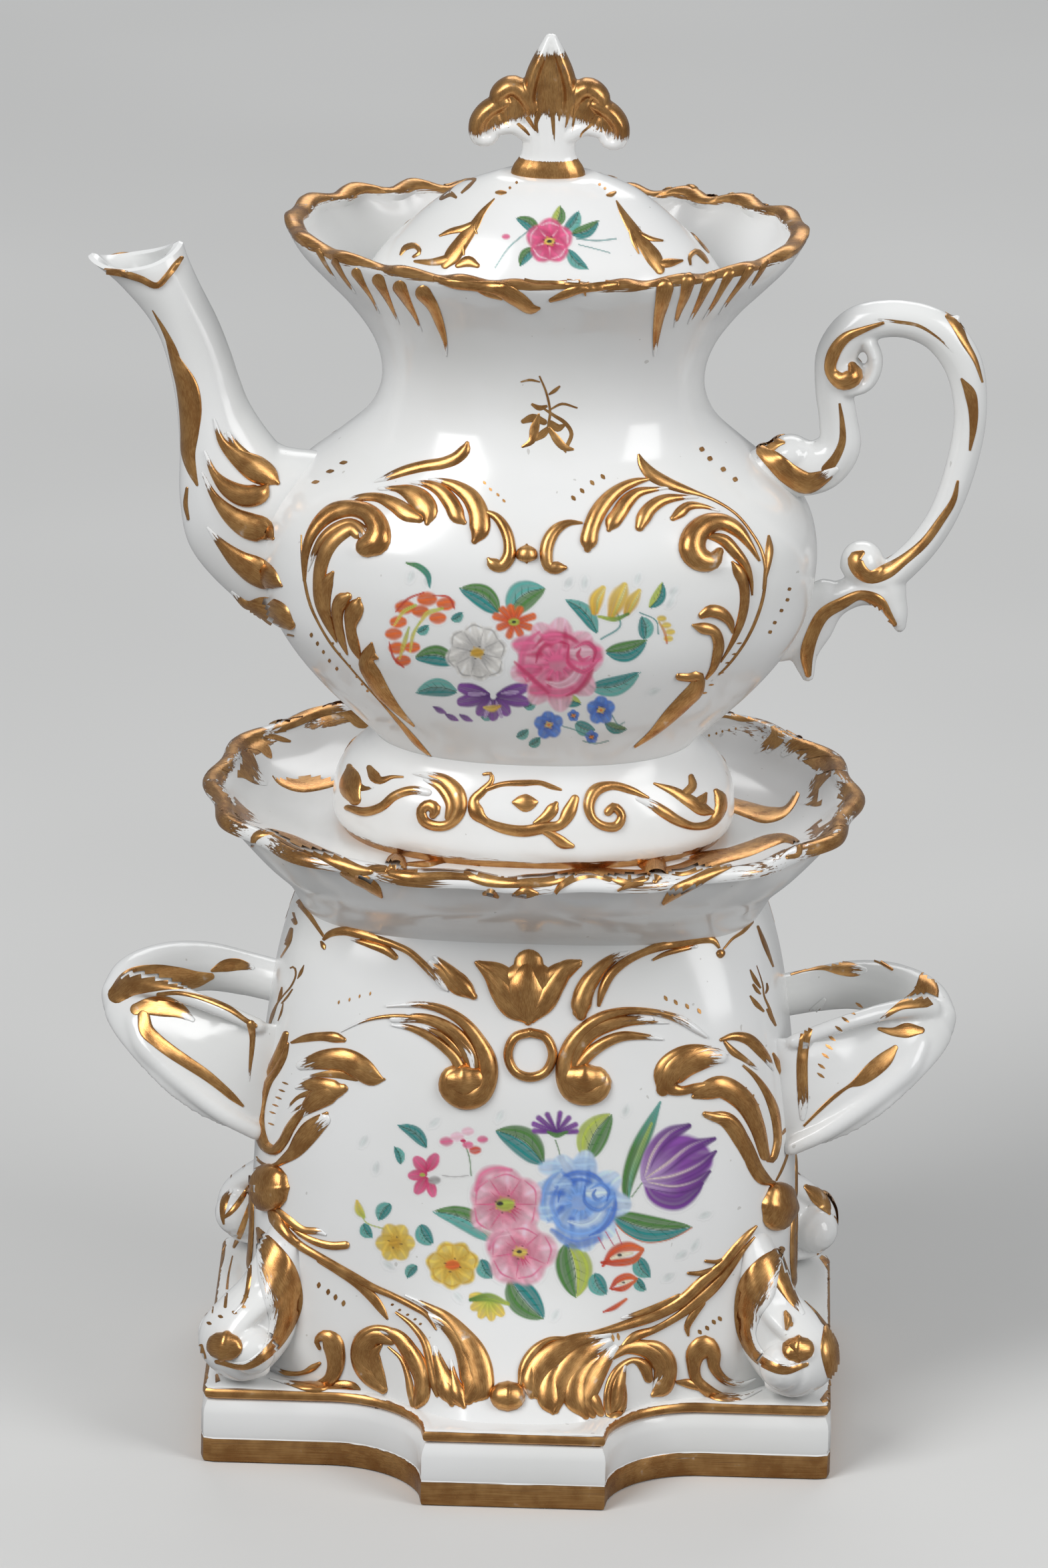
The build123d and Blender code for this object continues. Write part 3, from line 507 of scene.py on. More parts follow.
def make_finial():
    """A flat flower of a pointed petal between two curled ones, on a flared stem and an oval collar."""
    side = (0.0, 1.0, 0.0)
    lumps = [
        arm_mesh([(0, 0, 295.0, 8.8, 4.8), (0, 0, 298.4, 7.9, 4.4), (0, 0, 300.6, 6.4, 3.8),
                  (0, 0, 303.5, 6.0, 3.5), (0, 0, 307.0, 6.6, 3.1), (0, 0, 311.5, 5.6, 2.6)], side),
        arm_mesh([(0, 0, 308.0, 3.4, 2.4), (0, 0, 313.0, 4.4, 2.6), (0, 0, 318.0, 4.0, 2.4),
                  (0, 0, 323.0, 2.6, 2.0), (0, 0, 327.0, 1.2, 1.4)], side),
    ]
    for sign in (-1, 1):
        for rows in (
            [(3.2, 309.0, 1.2, 2.8), (4.6, 314.5, 1.7, 3.4), (3.9, 319.2, 1.7, 3.3), (1.9, 324.4, 1.5, 2.7),
             (0.4, 328.0, 1.1, 1.4)],
            [(3.6, 308.5, 1.6, 2.8), (5.0, 314.0, 2.2, 3.4), (8.4, 316.9, 2.2, 3.5), (11.4, 315.0, 2.1, 3.3),
             (12.4, 311.8, 1.3, 2.6)],
            [(10.0, 313.2, 1.6, 2.8), (13.6, 311.4, 2.1, 3.4), (16.0, 308.0, 2.1, 3.5), (15.6, 304.6, 2.0,
                                                                                         3.2),
             (13.0, 304.6, 1.6, 2.8), (12.0, 307.0, 1.2, 2.6)],
            [(4.0, 305.6, 2.4, 2.8), (8.0, 307.4, 1.9, 2.7), (11.6, 306.6, 1.5, 2.5)],
        ):
            lumps.append(arm_mesh([(sign * x, 0, z, thick, deep) for x, z, thick, deep in rows], side, 16,
                                  0.9))
        lumps.append(ball_mesh((sign * 7.4, 0, 311.0), (4.6, 2.2, 4.8)))
        lumps.append(ball_mesh((sign * 12.6, 0, 308.4), (3.4, 2.2, 3.4)))
    return modelled("lid_finial_skin", lumps, 0.36, 2)


def make_corner_scroll(name, sign_x, sign_y):
    """A console that rolls outwards over a corner of the plinth, with an eye at each end of the roll."""
    swing = radians(34.0)
    outward = np.array([sign_x * cos(swing), sign_y * sin(swing), 0.0])
    along = np.array([-outward[1], outward[0], 0.0])
    centre = np.array([sign_x * CORNER_CENTRE[0], sign_y * CORNER_CENTRE[1], PLINTH_TOP])

    def place(reach, rise, aside=0.0):
        return centre + outward * reach + along * aside + np.array([0.0, 0.0, rise])

    spine = [(-15.5, 41.0, 2.0, 3.0), (-13.0, 34.0, 3.4, 5.4), (-10.0, 27.0, 3.8, 6.4), (-5.6, 21.0, 3.8,
                                                                                         6.8),
             (0.0, 17.2, 3.4, 7.0), (4.6, 12.8, 3.0, 7.0), (5.0, 7.6, 2.8, 7.0), (2.0, 4.2, 2.8, 7.0),
             (-4.0, 4.0, 3.0, 7.0)]
    rows = [(*place(reach, rise), thick, wide) for reach, rise, thick, wide in spine]
    lumps = [arm_mesh(rows, along)]
    filling = [(-14.0, 34.0, 4.5, 5.2), (-11.5, 25.0, 7.5, 6.4), (-8.0, 15.0, 9.0, 6.8), (-4.0, 8.5, 7.5,
                                                                                          6.9)]
    lumps.append(arm_mesh([(*place(reach, rise), thick, wide) for reach, rise, thick, wide in filling],
                          along))
    core = [(*place(0.0, 9.8, -6.6), 5.6, 5.6), (*place(0.0, 9.8, 6.6), 5.6, 5.6)]
    lumps.append(arm_mesh(core, outward))
    return modelled(name, lumps, 0.5, 4)


def make_side_handle(name, sign):
    """A broad leaf in front and a round arm behind that meet in a rolled tip. Rows are the reach past
    the stand, the place along Y, the height over the grip level and the two half breadths."""
    leaf = [(-7, -25, -13, 14.5, 1.8), (2, -23.4, -12.4, 13.2, 1.9), (11, -20.5, -10.0, 11.6, 2.0),
            (19, -16.5, -6.4, 9.6, 2.3), (26, -11.5, -3.0, 7.6, 3.0), (30.0, -6.0, -1.4, 6.0, 3.4)]
    low_roll = [(-2, -26.6, -25.0, 2.0, 2.0), (5, -25.4, -21.6, 2.3, 2.3), (13, -22.4, -16.8, 2.6, 2.6),
                (20, -18.8, -12.0, 2.9, 2.9), (24.6, -15.6, -8.0, 3.2, 3.2), (27.0, -12.6, -4.0, 2.8, 2.8)]
    top_roll = [(-2, -24.6, 0.2, 1.7, 1.7), (5, -22.8, 2.6, 1.8, 1.8), (12, -19.8, 4.2, 1.9, 1.9),
                (19, -15.4, 4.8, 2.1, 2.1), (25.5, -10.4, 4.0, 2.6, 2.6), (29.0, -6.6, 2.4, 3.0, 3.0)]
    arm = [(-8, 12.5, -3.0, 5.0, 4.6), (3, 15.0, -1.4, 5.2, 4.8), (12, 14.0, 0.4, 5.8, 5.2),
           (21, 9.5, 0.9, 6.6, 5.4), (28.5, 2.5, -0.4, 6.8, 5.4), (31.0, -3.0, -1.4, 5.6, 4.6)]
    tip = [(30.6, -1.0, 1.4, 3.4, 3.6), (32.2, -4.0, -3.0, 3.0, 3.4), (30.0, -7.0, -6.2, 2.2, 2.6)]
    lumps = []
    for rows, side in ((leaf, (0.35 * sign, 0.9, 0.0)), (low_roll, (0, 1, 0)), (top_roll, (0, 1, 0)),
                       (arm, (0.3 * sign, 0.9, 0.0)), (tip, (0, 1, 0))):
        placed = [(sign * (STAND_HALF_WIDTH + reach), y, GRIP_LEVEL + rise, a, b) for reach, y, rise, a,
                  b in rows]
        lumps.append(arm_mesh(placed, side))
    return modelled(name, lumps, 0.6, 4)


SPOUT_STATIONS = [
    (-15.0, -23.0, -13.0, 22.0, 15.0), (-6.0, -20.5, -4.7, 23.0, 14.5), (6.1, -12.8, -1.2, 26.0, 13.0),
    (16.1, -1.8, 3.4, 33.0, 11.0), (19.0, 10.0, 6.0, 39.5, 9.5), (19.3, 24.4, 8.0, 45.5, 8.0),
    (21.0, 38.0, 11.0, 53.0, 7.0), (25.0, 50.5, 15.3, 61.5, 6.8), (33.0, 60.5, 17.6, 66.6, 7.4),
    (40.5, 65.6, 19.0, 69.4, 7.7),
]


def make_spout():
    """The spout, hollow, with a beak drawn out at its mouth."""
    table = np.array(SPOUT_STATIONS)
    knots = np.linspace(0, 1, len(table))
    turn = np.arange(72) * tau / 72

    def rings(wall, places):
        grid = []
        for place, row in zip(places, flowing(knots, table, places)):
            low = np.array([-BODY_HALF_WIDTH - row[0], 0, BELLY_LEVEL + row[1]])
            high = np.array([-BODY_HALF_WIDTH - row[2], 0, BELLY_LEVEL + row[3]])
            middle = (low + high) / 2
            reach = (high - low) / 2
            long = np.linalg.norm(reach)
            reach = reach * (long - wall) / long
            beak = max(0.0, (place - 0.86) / 0.14)
            pinch = 1 - 0.42 * beak * np.clip(-np.cos(turn), 0, 1) ** 2
            ring = middle + np.cos(turn)[:, None] * reach
            ring = ring + (np.sin(turn) * (row[4] - wall) * pinch)[:, None] * np.array([0.0, 1.0, 0.0])
            ring[:, 2] += beak**2 * (1.6 * np.abs(np.cos(turn)) ** 3 - 1.4 * np.abs(np.sin(turn)))
            grid.append(ring)
        return np.array(grid)

    outside = rings(0.0, np.linspace(0, 1, 84))
    edge = rings(0.9, [1.0])
    edge[:, :, 2] += 0.5
    inside = rings(2.2, np.linspace(1, 0, 50))
    return walled("teapot_spout_skin", np.vstack([outside, edge, inside]), "ring")


# Gilding, stroke by stroke: how far it stands up, which ends run dry, and its path in the photo
STAND_GILDING = {
    "left_fan_broad": (1.3, "a", [(642, 1968, 5.4), (671, 1983, 12.1), (695, 2008, 18.8), (709, 2040, 24.1),
     (711, 2070, 22.8), (700, 2091, 10.7)]),
    "left_fan_lobe": (1.2, "a", [(650, 2016, 4.5), (660, 2050, 12), (673, 2080, 18), (689, 2098, 6.7)]),
    "left_ear_broad": (1.3, "a", [(565, 1986, 4), (595, 1999, 10.7), (618, 2030, 13.4), (633, 2063, 13.4),
     (625, 2095, 6.7)]),
    "left_ear_hook": (1.2, "b", [(585, 2006, 6), (561, 1999, 13.6), (543, 2016, 16.5), (551, 2050, 15),
     (570, 2076, 6.7)]),
    "right_fan_broad": (1.3, "a", [(910, 1995, 5.4), (863, 2006, 12.1), (827, 2028, 20.1),
     (804, 2056, 21.4), (804, 2080, 13.4), (819, 2091, 5.4)]),
    "right_fan_lobe": (1.3, "a", [(910, 2006, 6), (873, 2026, 16.5), (846, 2056, 21.1), (834, 2083, 18),
     (831, 2109, 6)]),
    "right_fan_dark": (1.3, "a", [(920, 2016, 6), (896, 2043, 16.5), (879, 2070, 21.1), (871, 2095, 18),
     (886, 2115, 6)]),
    "right_fan_end": (1.2, "a", [(933, 2040, 4.5), (925, 2070, 10.5), (922, 2097, 11.2), (913, 2115, 4.5)]),
    "right_ear_broad": (1.2, "b", [(910, 2033, 4), (940, 2016, 9.4), (973, 2020, 14.7), (992, 2043, 16.1),
     (983, 2076, 6.7)]),
    "left_flag_upper": (1.2, "a", [(451, 1593, 7.5), (484, 1585, 15), (518, 1586, 18), (545, 1598, 15),
     (570, 1613, 3.7)]),
    "left_flag_lower": (1.1, "a", [(451, 1665, 6), (471, 1647, 15), (492, 1633, 18), (513, 1628, 7.5)]),
    "left_flag_tail": (0.9, "a", [(484, 1675, 10.5), (464, 1695, 13.6), (441, 1722, 10.5),
     (417, 1740, 4.5)]),
    "right_flag_head": (1.4, "b", [(992, 1629, 10.5), (999, 1608, 22.5), (1021, 1589, 24),
     (1050, 1581, 19.5), (1077, 1581, 10.5)]),
    "right_flag_lower": (1.2, "", [(1044, 1633, 9), (1077, 1625, 16.5), (1111, 1645, 16.5),
     (1131, 1681, 12), (1144, 1728, 7.5)]),
    "right_flag_tail": (0.9, "", [(1057, 1668, 4.5), (1087, 1675, 12), (1111, 1708, 12), (1133, 1748, 9),
     (1154, 1770, 4.5)]),
    "left_crest_broad": (1, "a", [(588, 1524, 5.4), (638, 1524, 8), (679, 1544, 10.7), (705, 1581, 13.4),
     (712, 1611, 9.4)]),
    "right_crest_broad": (1, "b", [(856, 1611, 9.4), (858, 1574, 14.7), (883, 1544, 13.4), (926, 1529, 9.4),
     (973, 1524, 5.4)]),
    "palmette_body": (1.6, "", [(791, 1442, 22.5), (791, 1460, 45), (791, 1484, 37.5), (791, 1507, 19.5),
     (791, 1522, 7.5)]),
    "palmette_left_tip": (1.3, "", [(717, 1442, 6), (742, 1455, 16.5), (766, 1474, 19.5)]),
    "palmette_right_tip": (1.3, "", [(865, 1442, 6), (839, 1455, 16.5), (817, 1474, 19.5)]),
    "left_bud_broad": (1.2, "a", [(645, 1440, 5.4), (669, 1457, 13.4), (689, 1474, 16.1),
     (709, 1490, 5.4)]),
    "right_bud_broad": (1.2, "b", [(863, 1514, 6.7), (869, 1494, 13.4), (883, 1467, 13.4), (910, 1440, 6.7),
     (933, 1427, 3.3)]),
    "left_top_arc": (1.1, "b", [(484, 1406, 1.8), (494, 1397, 4.7), (514, 1393, 6), (536, 1397, 6.5),
     (565, 1405, 6), (590, 1413, 5.4), (613, 1424, 5.4), (632, 1441, 5.7), (651, 1460, 6.5),
     (666, 1478, 4.3), (670, 1482, 1.8)]),
    "left_top_arc_branch": (0.6, "a", [(526, 1405, 2.1), (552, 1412, 5.4), (578, 1421, 7.2),
     (591, 1431, 5)]),
    "left_top_bud": (1.6, "a", [(650, 1431, 2.9), (666, 1447, 8.6), (683, 1465, 12.9), (698, 1480, 12.2),
     (708, 1490, 5.7)]),
    "left_top_drop": (0.4, "", [(481, 1409, 2.1), (484, 1415, 3.9), (486, 1420, 1.8)]),
    "left_corner_line": (0.4, "", [(484, 1400, 2.2), (462, 1368, 3.9), (445, 1347, 5), (431, 1336, 3.4)]),
    "left_corner_hook": (0.3, "", [(437, 1352, 3.4), (437, 1368, 4.5), (442, 1380, 3.4)]),
    "left_edge_stroke": (0.2, "b", [(436, 1390, 2.9), (432, 1406, 4.7), (422, 1425, 3.6),
     (414, 1440, 1.5)]),
    "left_sprig_stem": (0, "", [(434, 1448, 1), (440, 1446, 1.6), (443, 1455, 1.3), (437, 1473, 1.3),
     (424, 1489, 1), (415, 1501, 1.3), (408, 1518, 2.6), (402, 1537, 1)]),
    "left_sprig_leaf_a": (0, "", [(455, 1443, 0.6), (450, 1455, 2.6), (445, 1464, 0.6)]),
    "left_sprig_leaf_b": (0, "", [(422, 1476, 1), (420, 1487, 2.6), (416, 1498, 1.3)]),
    "left_sprig_leaf_c": (0, "", [(438, 1479, 1), (429, 1492, 1.6), (421, 1501, 1)]),
    "left_sprig_leaf_d": (0, "", [(424, 1500, 0.6), (421, 1514, 1.6), (416, 1527, 0.6)]),
    "left_top_dots": ("dots", 1.5, 6, 105, [(507, 1499), (523, 1495), (538, 1490), (554, 1486)]),
    "left_scroll_crest": (2.2, "a", [(578, 1505, 1.8), (603, 1503, 3.2), (635, 1503, 5.4), (667, 1512, 7.5),
     (696, 1531, 9), (715, 1556, 11.4), (728, 1585, 15), (728, 1614, 16.5), (714, 1636, 19.4),
     (693, 1640, 19.4), (672, 1625, 16.5), (675, 1606, 12.2), (694, 1601, 7.2)]),
    "left_scroll_flute_a": (1.2, "ab", [(510, 1543, 1.1), (539, 1529, 1.8), (571, 1521, 2.9),
     (603, 1520, 3.6), (635, 1525, 4.7), (664, 1537, 5.4), (690, 1559, 7.2), (704, 1578, 8.6),
     (708, 1598, 6.5)]),
    "left_scroll_flute_b": (1, "a", [(586, 1533, 1.8), (613, 1537, 4.7), (642, 1550, 6.5), (664, 1566, 7.2),
     (680, 1582, 7.8), (690, 1601, 9.3)]),
    "left_scroll_flute_c": (0.6, "a", [(632, 1536, 1.5), (654, 1544, 4.3), (674, 1560, 5),
     (690, 1578, 4.3)]),
    "left_leaf_blade": (0.8, "b", [(428, 1546, 4.3), (422, 1566, 6.5), (413, 1585, 6), (402, 1604, 4.3),
     (390, 1626, 1.8)]),
    "left_leaf_loop": (1.1, "", [(431, 1561, 2.1), (426, 1578, 4.3), (416, 1598, 5), (403, 1617, 5.4),
     (394, 1641, 6), (389, 1668, 6.8), (391, 1697, 7.5), (399, 1715, 7.8), (411, 1720, 7.8),
     (424, 1707, 7.2), (435, 1686, 7.2), (453, 1663, 5.7), (478, 1650, 2.9)]),
    "left_leaf_flag": (0.7, "", [(437, 1559, 2.1), (456, 1553, 5.7), (482, 1550, 6.8), (504, 1552, 7.8),
     (514, 1555, 4.3)]),
    "left_leaf_upper": (1.1, "a", [(466, 1585, 5), (488, 1585, 10.1), (514, 1588, 14.3), (539, 1601, 15),
     (558, 1615, 9.3), (575, 1614, 2.1)]),
    "left_leaf_upper_streak": (0.2, "a", [(453, 1613, 1.5), (475, 1608, 3.6), (504, 1606, 6.5),
     (533, 1610, 7.2)]),
    "left_leaf_lower": (1, "a", [(444, 1626, 2.9), (466, 1622, 9.3), (488, 1626, 13.7), (506, 1630, 12.2),
     (516, 1628, 5)]),
    "left_leaf_lower_streak_a": (0.2, "a", [(430, 1657, 1.5), (446, 1641, 2.9), (469, 1633, 5.7)]),
    "left_leaf_lower_streak_b": (0.2, "a", [(435, 1663, 1.5), (456, 1652, 2.9), (478, 1646, 4.3),
     (498, 1639, 5)]),
    "left_leaf_tail": (0.9, "", [(489, 1665, 2.9), (472, 1678, 8.6), (461, 1687, 10.1), (448, 1702, 8.6),
     (437, 1720, 6.5), (421, 1737, 4.3), (405, 1744, 3.2), (390, 1738, 2.1), (379, 1722, 1.8),
     (375, 1700, 1.5), (375, 1668, 1.1), (375, 1642, 0.7)]),
    "left_leaf_dots": ("dots", 1.5, 10, 20, [(427, 1620), (422, 1631), (417, 1642), (412, 1653),
     (408, 1664), (406, 1681)]),
    "left_bead": (3.6, "o", [(402, 1770, 30), (402, 1776, 31.9), (402, 1782, 30)]),
    "palmette_left": (1.6, "", [(713, 1440, 3.4), (735, 1458, 12.3), (752, 1482, 19), (770, 1507, 19),
     (787, 1522, 9)]),
    "palmette_middle": (2.2, "", [(792, 1435, 3.4), (789, 1452, 21.3), (786, 1480, 32.5), (788, 1505, 24.6),
     (790, 1527, 6.7)]),
    "palmette_right": (1.6, "", [(867, 1439, 4.5), (848, 1447, 12.3), (830, 1470, 16.8), (812, 1500, 17.9),
     (795, 1522, 9)]),
    "middle_ring": (1.3, "", [(793, 1544, 7.3), (771, 1551, 7.3), (760, 1577, 7.3), (771, 1603, 7.3),
     (793, 1611, 7.3), (816, 1603, 7.3), (827, 1577, 7.3), (816, 1551, 7.3), (793, 1544, 7.3)]),
    "right_top_bud": (1.6, "a", [(940, 1424, 2.1), (920, 1432, 6.5), (901, 1446, 9.6), (885, 1464, 12.2),
     (874, 1486, 14.3), (869, 1506, 15), (869, 1517, 9.3)]),
    "right_top_arc": (1.1, "", [(896, 1503, 2.9), (901, 1482, 6.5), (914, 1457, 7.2), (936, 1438, 6.5),
     (962, 1425, 5.7), (994, 1414, 7.2), (1026, 1408, 8.6), (1052, 1404, 7.2), (1069, 1408, 4.3),
     (1076, 1418, 1.8)]),
    "right_top_arc_branch": (0.5, "b", [(976, 1436, 1.8), (994, 1427, 3.6), (1016, 1421, 3.6),
     (1042, 1416, 2.1)]),
    "right_top_bead": (0.9, "o", [(1078, 1420, 1.5), (1078, 1422, 5), (1078, 1427, 6.5), (1078, 1431, 4.3),
     (1078, 1433, 1.5)]),
    "right_corner_line": (0.4, "", [(1082, 1420, 1.5), (1096, 1404, 2.1), (1112, 1393, 2.9),
     (1125, 1379, 2.9)]),
    "right_edge_stroke": (0.2, "", [(1134, 1386, 2.1), (1144, 1412, 3.6), (1157, 1446, 1.5)]),
    "right_sprig_stem": (0, "", [(1132, 1444, 0.6), (1141, 1473, 1), (1143, 1489, 1.3), (1151, 1508, 1.9),
     (1159, 1532, 1.3)]),
    "right_sprig_leaf_a": (0, "", [(1122, 1450, 1), (1130, 1466, 3.2), (1138, 1478, 1.3)]),
    "right_sprig_leaf_b": (0, "", [(1127, 1473, 1.9), (1133, 1482, 2.6), (1138, 1487, 1)]),
    "right_sprig_leaf_c": (0, "", [(1147, 1470, 1), (1148, 1479, 1.9), (1145, 1486, 1)]),
    "right_sprig_leaf_d": (0, "", [(1122, 1489, 1.3), (1132, 1502, 3.8), (1142, 1512, 1.9)]),
    "right_sprig_leaf_e": (0, "", [(1148, 1510, 1.9), (1154, 1521, 3.2), (1160, 1533, 1.9)]),
    "right_top_dots": ("dots", 2.6, 9, 60, [(996, 1493), (1011, 1499), (1028, 1505), (1046, 1512)]),
    "right_scroll_crest": (2.2, "a", [(1056, 1550, 2.9), (1042, 1540, 5.4), (1020, 1526, 6.5),
     (994, 1517, 5.4), (962, 1512, 5.4), (930, 1513, 6.8), (901, 1521, 8.6), (876, 1537, 10.1),
     (856, 1560, 11.9), (846, 1585, 12.9), (846, 1610, 15), (856, 1630, 17.2), (876, 1636, 17.9),
     (896, 1629, 16.5), (904, 1615, 10.8), (896, 1606, 7.8), (880, 1606, 7.2)]),
    "right_scroll_flute_a": (1.2, "a", [(991, 1554, 2.1), (962, 1550, 5), (930, 1550, 7.8), (904, 1560, 9),
     (882, 1576, 9.3), (866, 1595, 8.6)]),
    "right_scroll_flute_b": (0.8, "ab", [(1000, 1530, 1.5), (962, 1528, 4.3), (930, 1531, 5.7),
     (901, 1542, 5.7), (876, 1559, 5.7), (861, 1582, 5.7)]),
    "right_leaf_head": (1.7, "a", [(1087, 1576, 2.1), (1064, 1570, 5.7), (1039, 1576, 11.4),
     (1016, 1588, 16.5), (1003, 1606, 18.6), (1001, 1624, 12.9), (1016, 1631, 7.8), (1042, 1626, 6.5),
     (1068, 1619, 2.9)]),
    "right_leaf_flag": (0.9, "b", [(1079, 1555, 2.9), (1096, 1550, 5.7), (1119, 1554, 8.6),
     (1138, 1572, 7.8), (1151, 1590, 4.3), (1157, 1601, 1.5)]),
    "right_leaf_flag_streak": (0.5, "b", [(1085, 1559, 2.9), (1096, 1572, 5.7), (1112, 1583, 4.3),
     (1132, 1598, 2.1)]),
    "right_edge_line": (0.4, "", [(1157, 1576, 2.1), (1165, 1592, 5), (1174, 1614, 4.3), (1180, 1652, 2.5),
     (1182, 1684, 1.8), (1180, 1719, 1.8), (1168, 1753, 2.1), (1161, 1766, 1.5)]),
    "right_leaf_loop": (1.1, "", [(1111, 1593, 1.8), (1128, 1608, 3.6), (1146, 1633, 5.7),
     (1157, 1658, 7.2), (1162, 1684, 6.5), (1162, 1713, 5.7), (1153, 1735, 5), (1141, 1725, 3.2),
     (1135, 1703, 3.2), (1128, 1678, 3.6), (1119, 1656, 5.7), (1103, 1634, 10.1), (1080, 1629, 12.9),
     (1058, 1634, 10.8), (1038, 1640, 3.6)]),
    "right_leaf_tail": (1, "", [(1055, 1666, 4.3), (1072, 1671, 7.8), (1090, 1673, 7.2), (1104, 1687, 7.8),
     (1116, 1716, 7.8), (1126, 1745, 7.8), (1141, 1765, 7.2), (1157, 1769, 3.6)]),
    "right_leaf_dots": ("dots", 2.4, 12, 118, [(1114, 1631), (1125, 1642), (1132, 1656), (1135, 1669),
     (1140, 1685), (1142, 1697), (1173, 1692)]),
    "right_bead": (3.6, "o", [(1166, 1786, 18.7), (1163, 1805, 24), (1160, 1821, 19.5)]),
    "left_diagonal": (1.1, "", [(404, 1805, 4.3), (415, 1825, 10.5), (428, 1844, 8.1), (447, 1861, 6.7),
     (475, 1878, 6.3), (503, 1894, 6.3), (531, 1910, 6.3), (556, 1924, 5.6), (588, 1938, 4.9),
     (619, 1954, 4.9), (638, 1966, 4.3), (653, 1989, 1.5)]),
    "left_diagonal_under": (0.7, "", [(478, 1885, 4.3), (506, 1902, 4.9), (534, 1920, 6.3),
     (556, 1939, 7.7), (572, 1960, 5.6), (580, 1973, 1.8)]),
    "left_diagonal_twig_a": (0.7, "b", [(414, 1807, 3.5), (431, 1825, 7.1), (453, 1839, 5.6),
     (478, 1842, 4.6), (488, 1847, 1.5)]),
    "left_diagonal_twig_b": (0.7, "", [(428, 1829, 1.8), (447, 1844, 3.5), (472, 1857, 5.6),
     (497, 1863, 6.3), (517, 1862, 6.3)]),
    "left_corner_dots": ("dots", 2.6, 8, 20, [(368, 1939), (364, 1954), (351, 1963), (330, 1969),
     (313, 1979)]),
    "left_end_leaf_a": (0.2, "a", [(346, 1780, 2.8), (337, 1793, 5.6), (333, 1818, 3.5), (335, 1831, 1.5)]),
    "left_end_leaf_b": (0.2, "", [(372, 1774, 2.1), (359, 1796, 4.3), (343, 1815, 3.5), (334, 1822, 1.8)]),
    "left_end_leaf_c": (0.2, "", [(373, 1800, 1.8), (365, 1828, 4.3), (357, 1850, 4.3), (350, 1865, 2.1)]),
    "left_end_line_a": (0, "", [(337, 1856, 1), (334, 1881, 1.5), (324, 1915, 1.5), (320, 1941, 1.5),
     (318, 1964, 1)]),
    "left_end_line_b": (0, "", [(348, 1878, 1), (342, 1906, 1.5), (339, 1934, 2.1), (337, 1954, 2.5)]),
    "left_low_dots": ("dots", 3, 9, 100, [(477, 1922), (491, 1932), (502, 1940), (514, 1949)]),
    "left_small_scroll": (1.4, "b", [(478, 2016, 2.8), (474, 2005, 4.3), (484, 1998, 9.1),
     (496, 2006, 15.5), (502, 2025, 14.8), (502, 2044, 12.7), (494, 2063, 10.5), (478, 2073, 9.1),
     (459, 2074, 7.1), (434, 2069, 3.5), (404, 2062, 1)]),
    "left_small_scroll_twig": (0.7, "a", [(412, 2045, 1.5), (428, 2053, 3.5), (453, 2053, 3.5),
     (469, 2045, 5.3), (478, 2039, 2.8)]),
    "left_small_scroll_foot": (0.8, "", [(487, 2073, 4.9), (516, 2071, 7.1), (531, 2074, 5.6),
     (539, 2078, 1.5)]),
    "left_ear": (1.5, "", [(574, 2078, 6.3), (555, 2060, 13.3), (538, 2038, 12), (533, 2016, 8.4),
     (541, 1998, 7.7), (559, 1987, 5.6), (578, 1988, 5.3), (597, 1999, 7.1), (616, 2019, 9.5),
     (630, 2045, 10.9), (634, 2072, 10.9), (630, 2094, 9.9), (623, 2105, 2.8)]),
    "left_ear_inner": (0.7, "", [(581, 2014, 1.8), (600, 2032, 3.1), (610, 2056, 4.6), (615, 2082, 5.9),
     (619, 2100, 4.9)]),
    "left_ear_core": (1, "", [(570, 2012, 2.8), (560, 2022, 9.1), (560, 2041, 12), (566, 2060, 11.2),
     (574, 2077, 6.3)]),
    "left_fan_a": (1, "", [(592, 1962, 1.8), (616, 1981, 4.3), (635, 2006, 5.9), (644, 2038, 7.1),
     (650, 2069, 7.1), (654, 2087, 2.8)]),
    "left_fan_b": (1.5, "a", [(606, 1937, 1.5), (635, 1951, 4.3), (666, 1969, 8.4), (691, 1997, 14.8),
     (708, 2025, 20.4), (717, 2056, 21.7), (719, 2082, 16.1), (711, 2092, 5.6)]),
    "left_fan_c": (1.4, "a", [(657, 2039, 2.1), (663, 2058, 7.7), (671, 2080, 14), (676, 2100, 4.3)]),
    "left_fan_d": (1.4, "a", [(675, 2033, 1.8), (679, 2060, 6.3), (685, 2085, 12.7), (694, 2103, 4.3)]),
    "left_fan_dots": ("dots", 1.8, 5, 160, [(587, 1951), (598, 1959), (610, 1966), (621, 1973),
     (629, 1980)]),
    "bottom_bead": (3, "o", [(755, 2088, 22.2), (760, 2088, 23.3), (764, 2088, 22.2)]),
    "right_diagonal": (1.1, "", [(779, 2069, 4.7), (784, 2045, 8), (800, 2020, 8), (821, 2004, 4.4),
     (853, 2001, 3.1), (899, 1992, 5.2), (938, 1981, 7.5), (980, 1967, 8.3), (1019, 1946, 9.1),
     (1051, 1917, 8.7), (1079, 1893, 7.5), (1100, 1868, 6.7), (1122, 1843, 4.4), (1132, 1833, 1.6)]),
    "right_diagonal_twig": (0.6, "a", [(931, 1971, 2), (952, 1966, 4.7), (987, 1953, 5.5),
     (1016, 1939, 4.7)]),
    "right_diagonal_hook_a": (0.6, "", [(1030, 1904, 2.4), (1047, 1904, 3.9), (1065, 1899, 3.9)]),
    "right_diagonal_hook_b": (0.6, "", [(1056, 1886, 2.4), (1072, 1887, 3.1), (1088, 1881, 3.1)]),
    "right_diagonal_under": (0.8, "", [(926, 2019, 1.6), (948, 2000, 7.2), (980, 1988, 5.5),
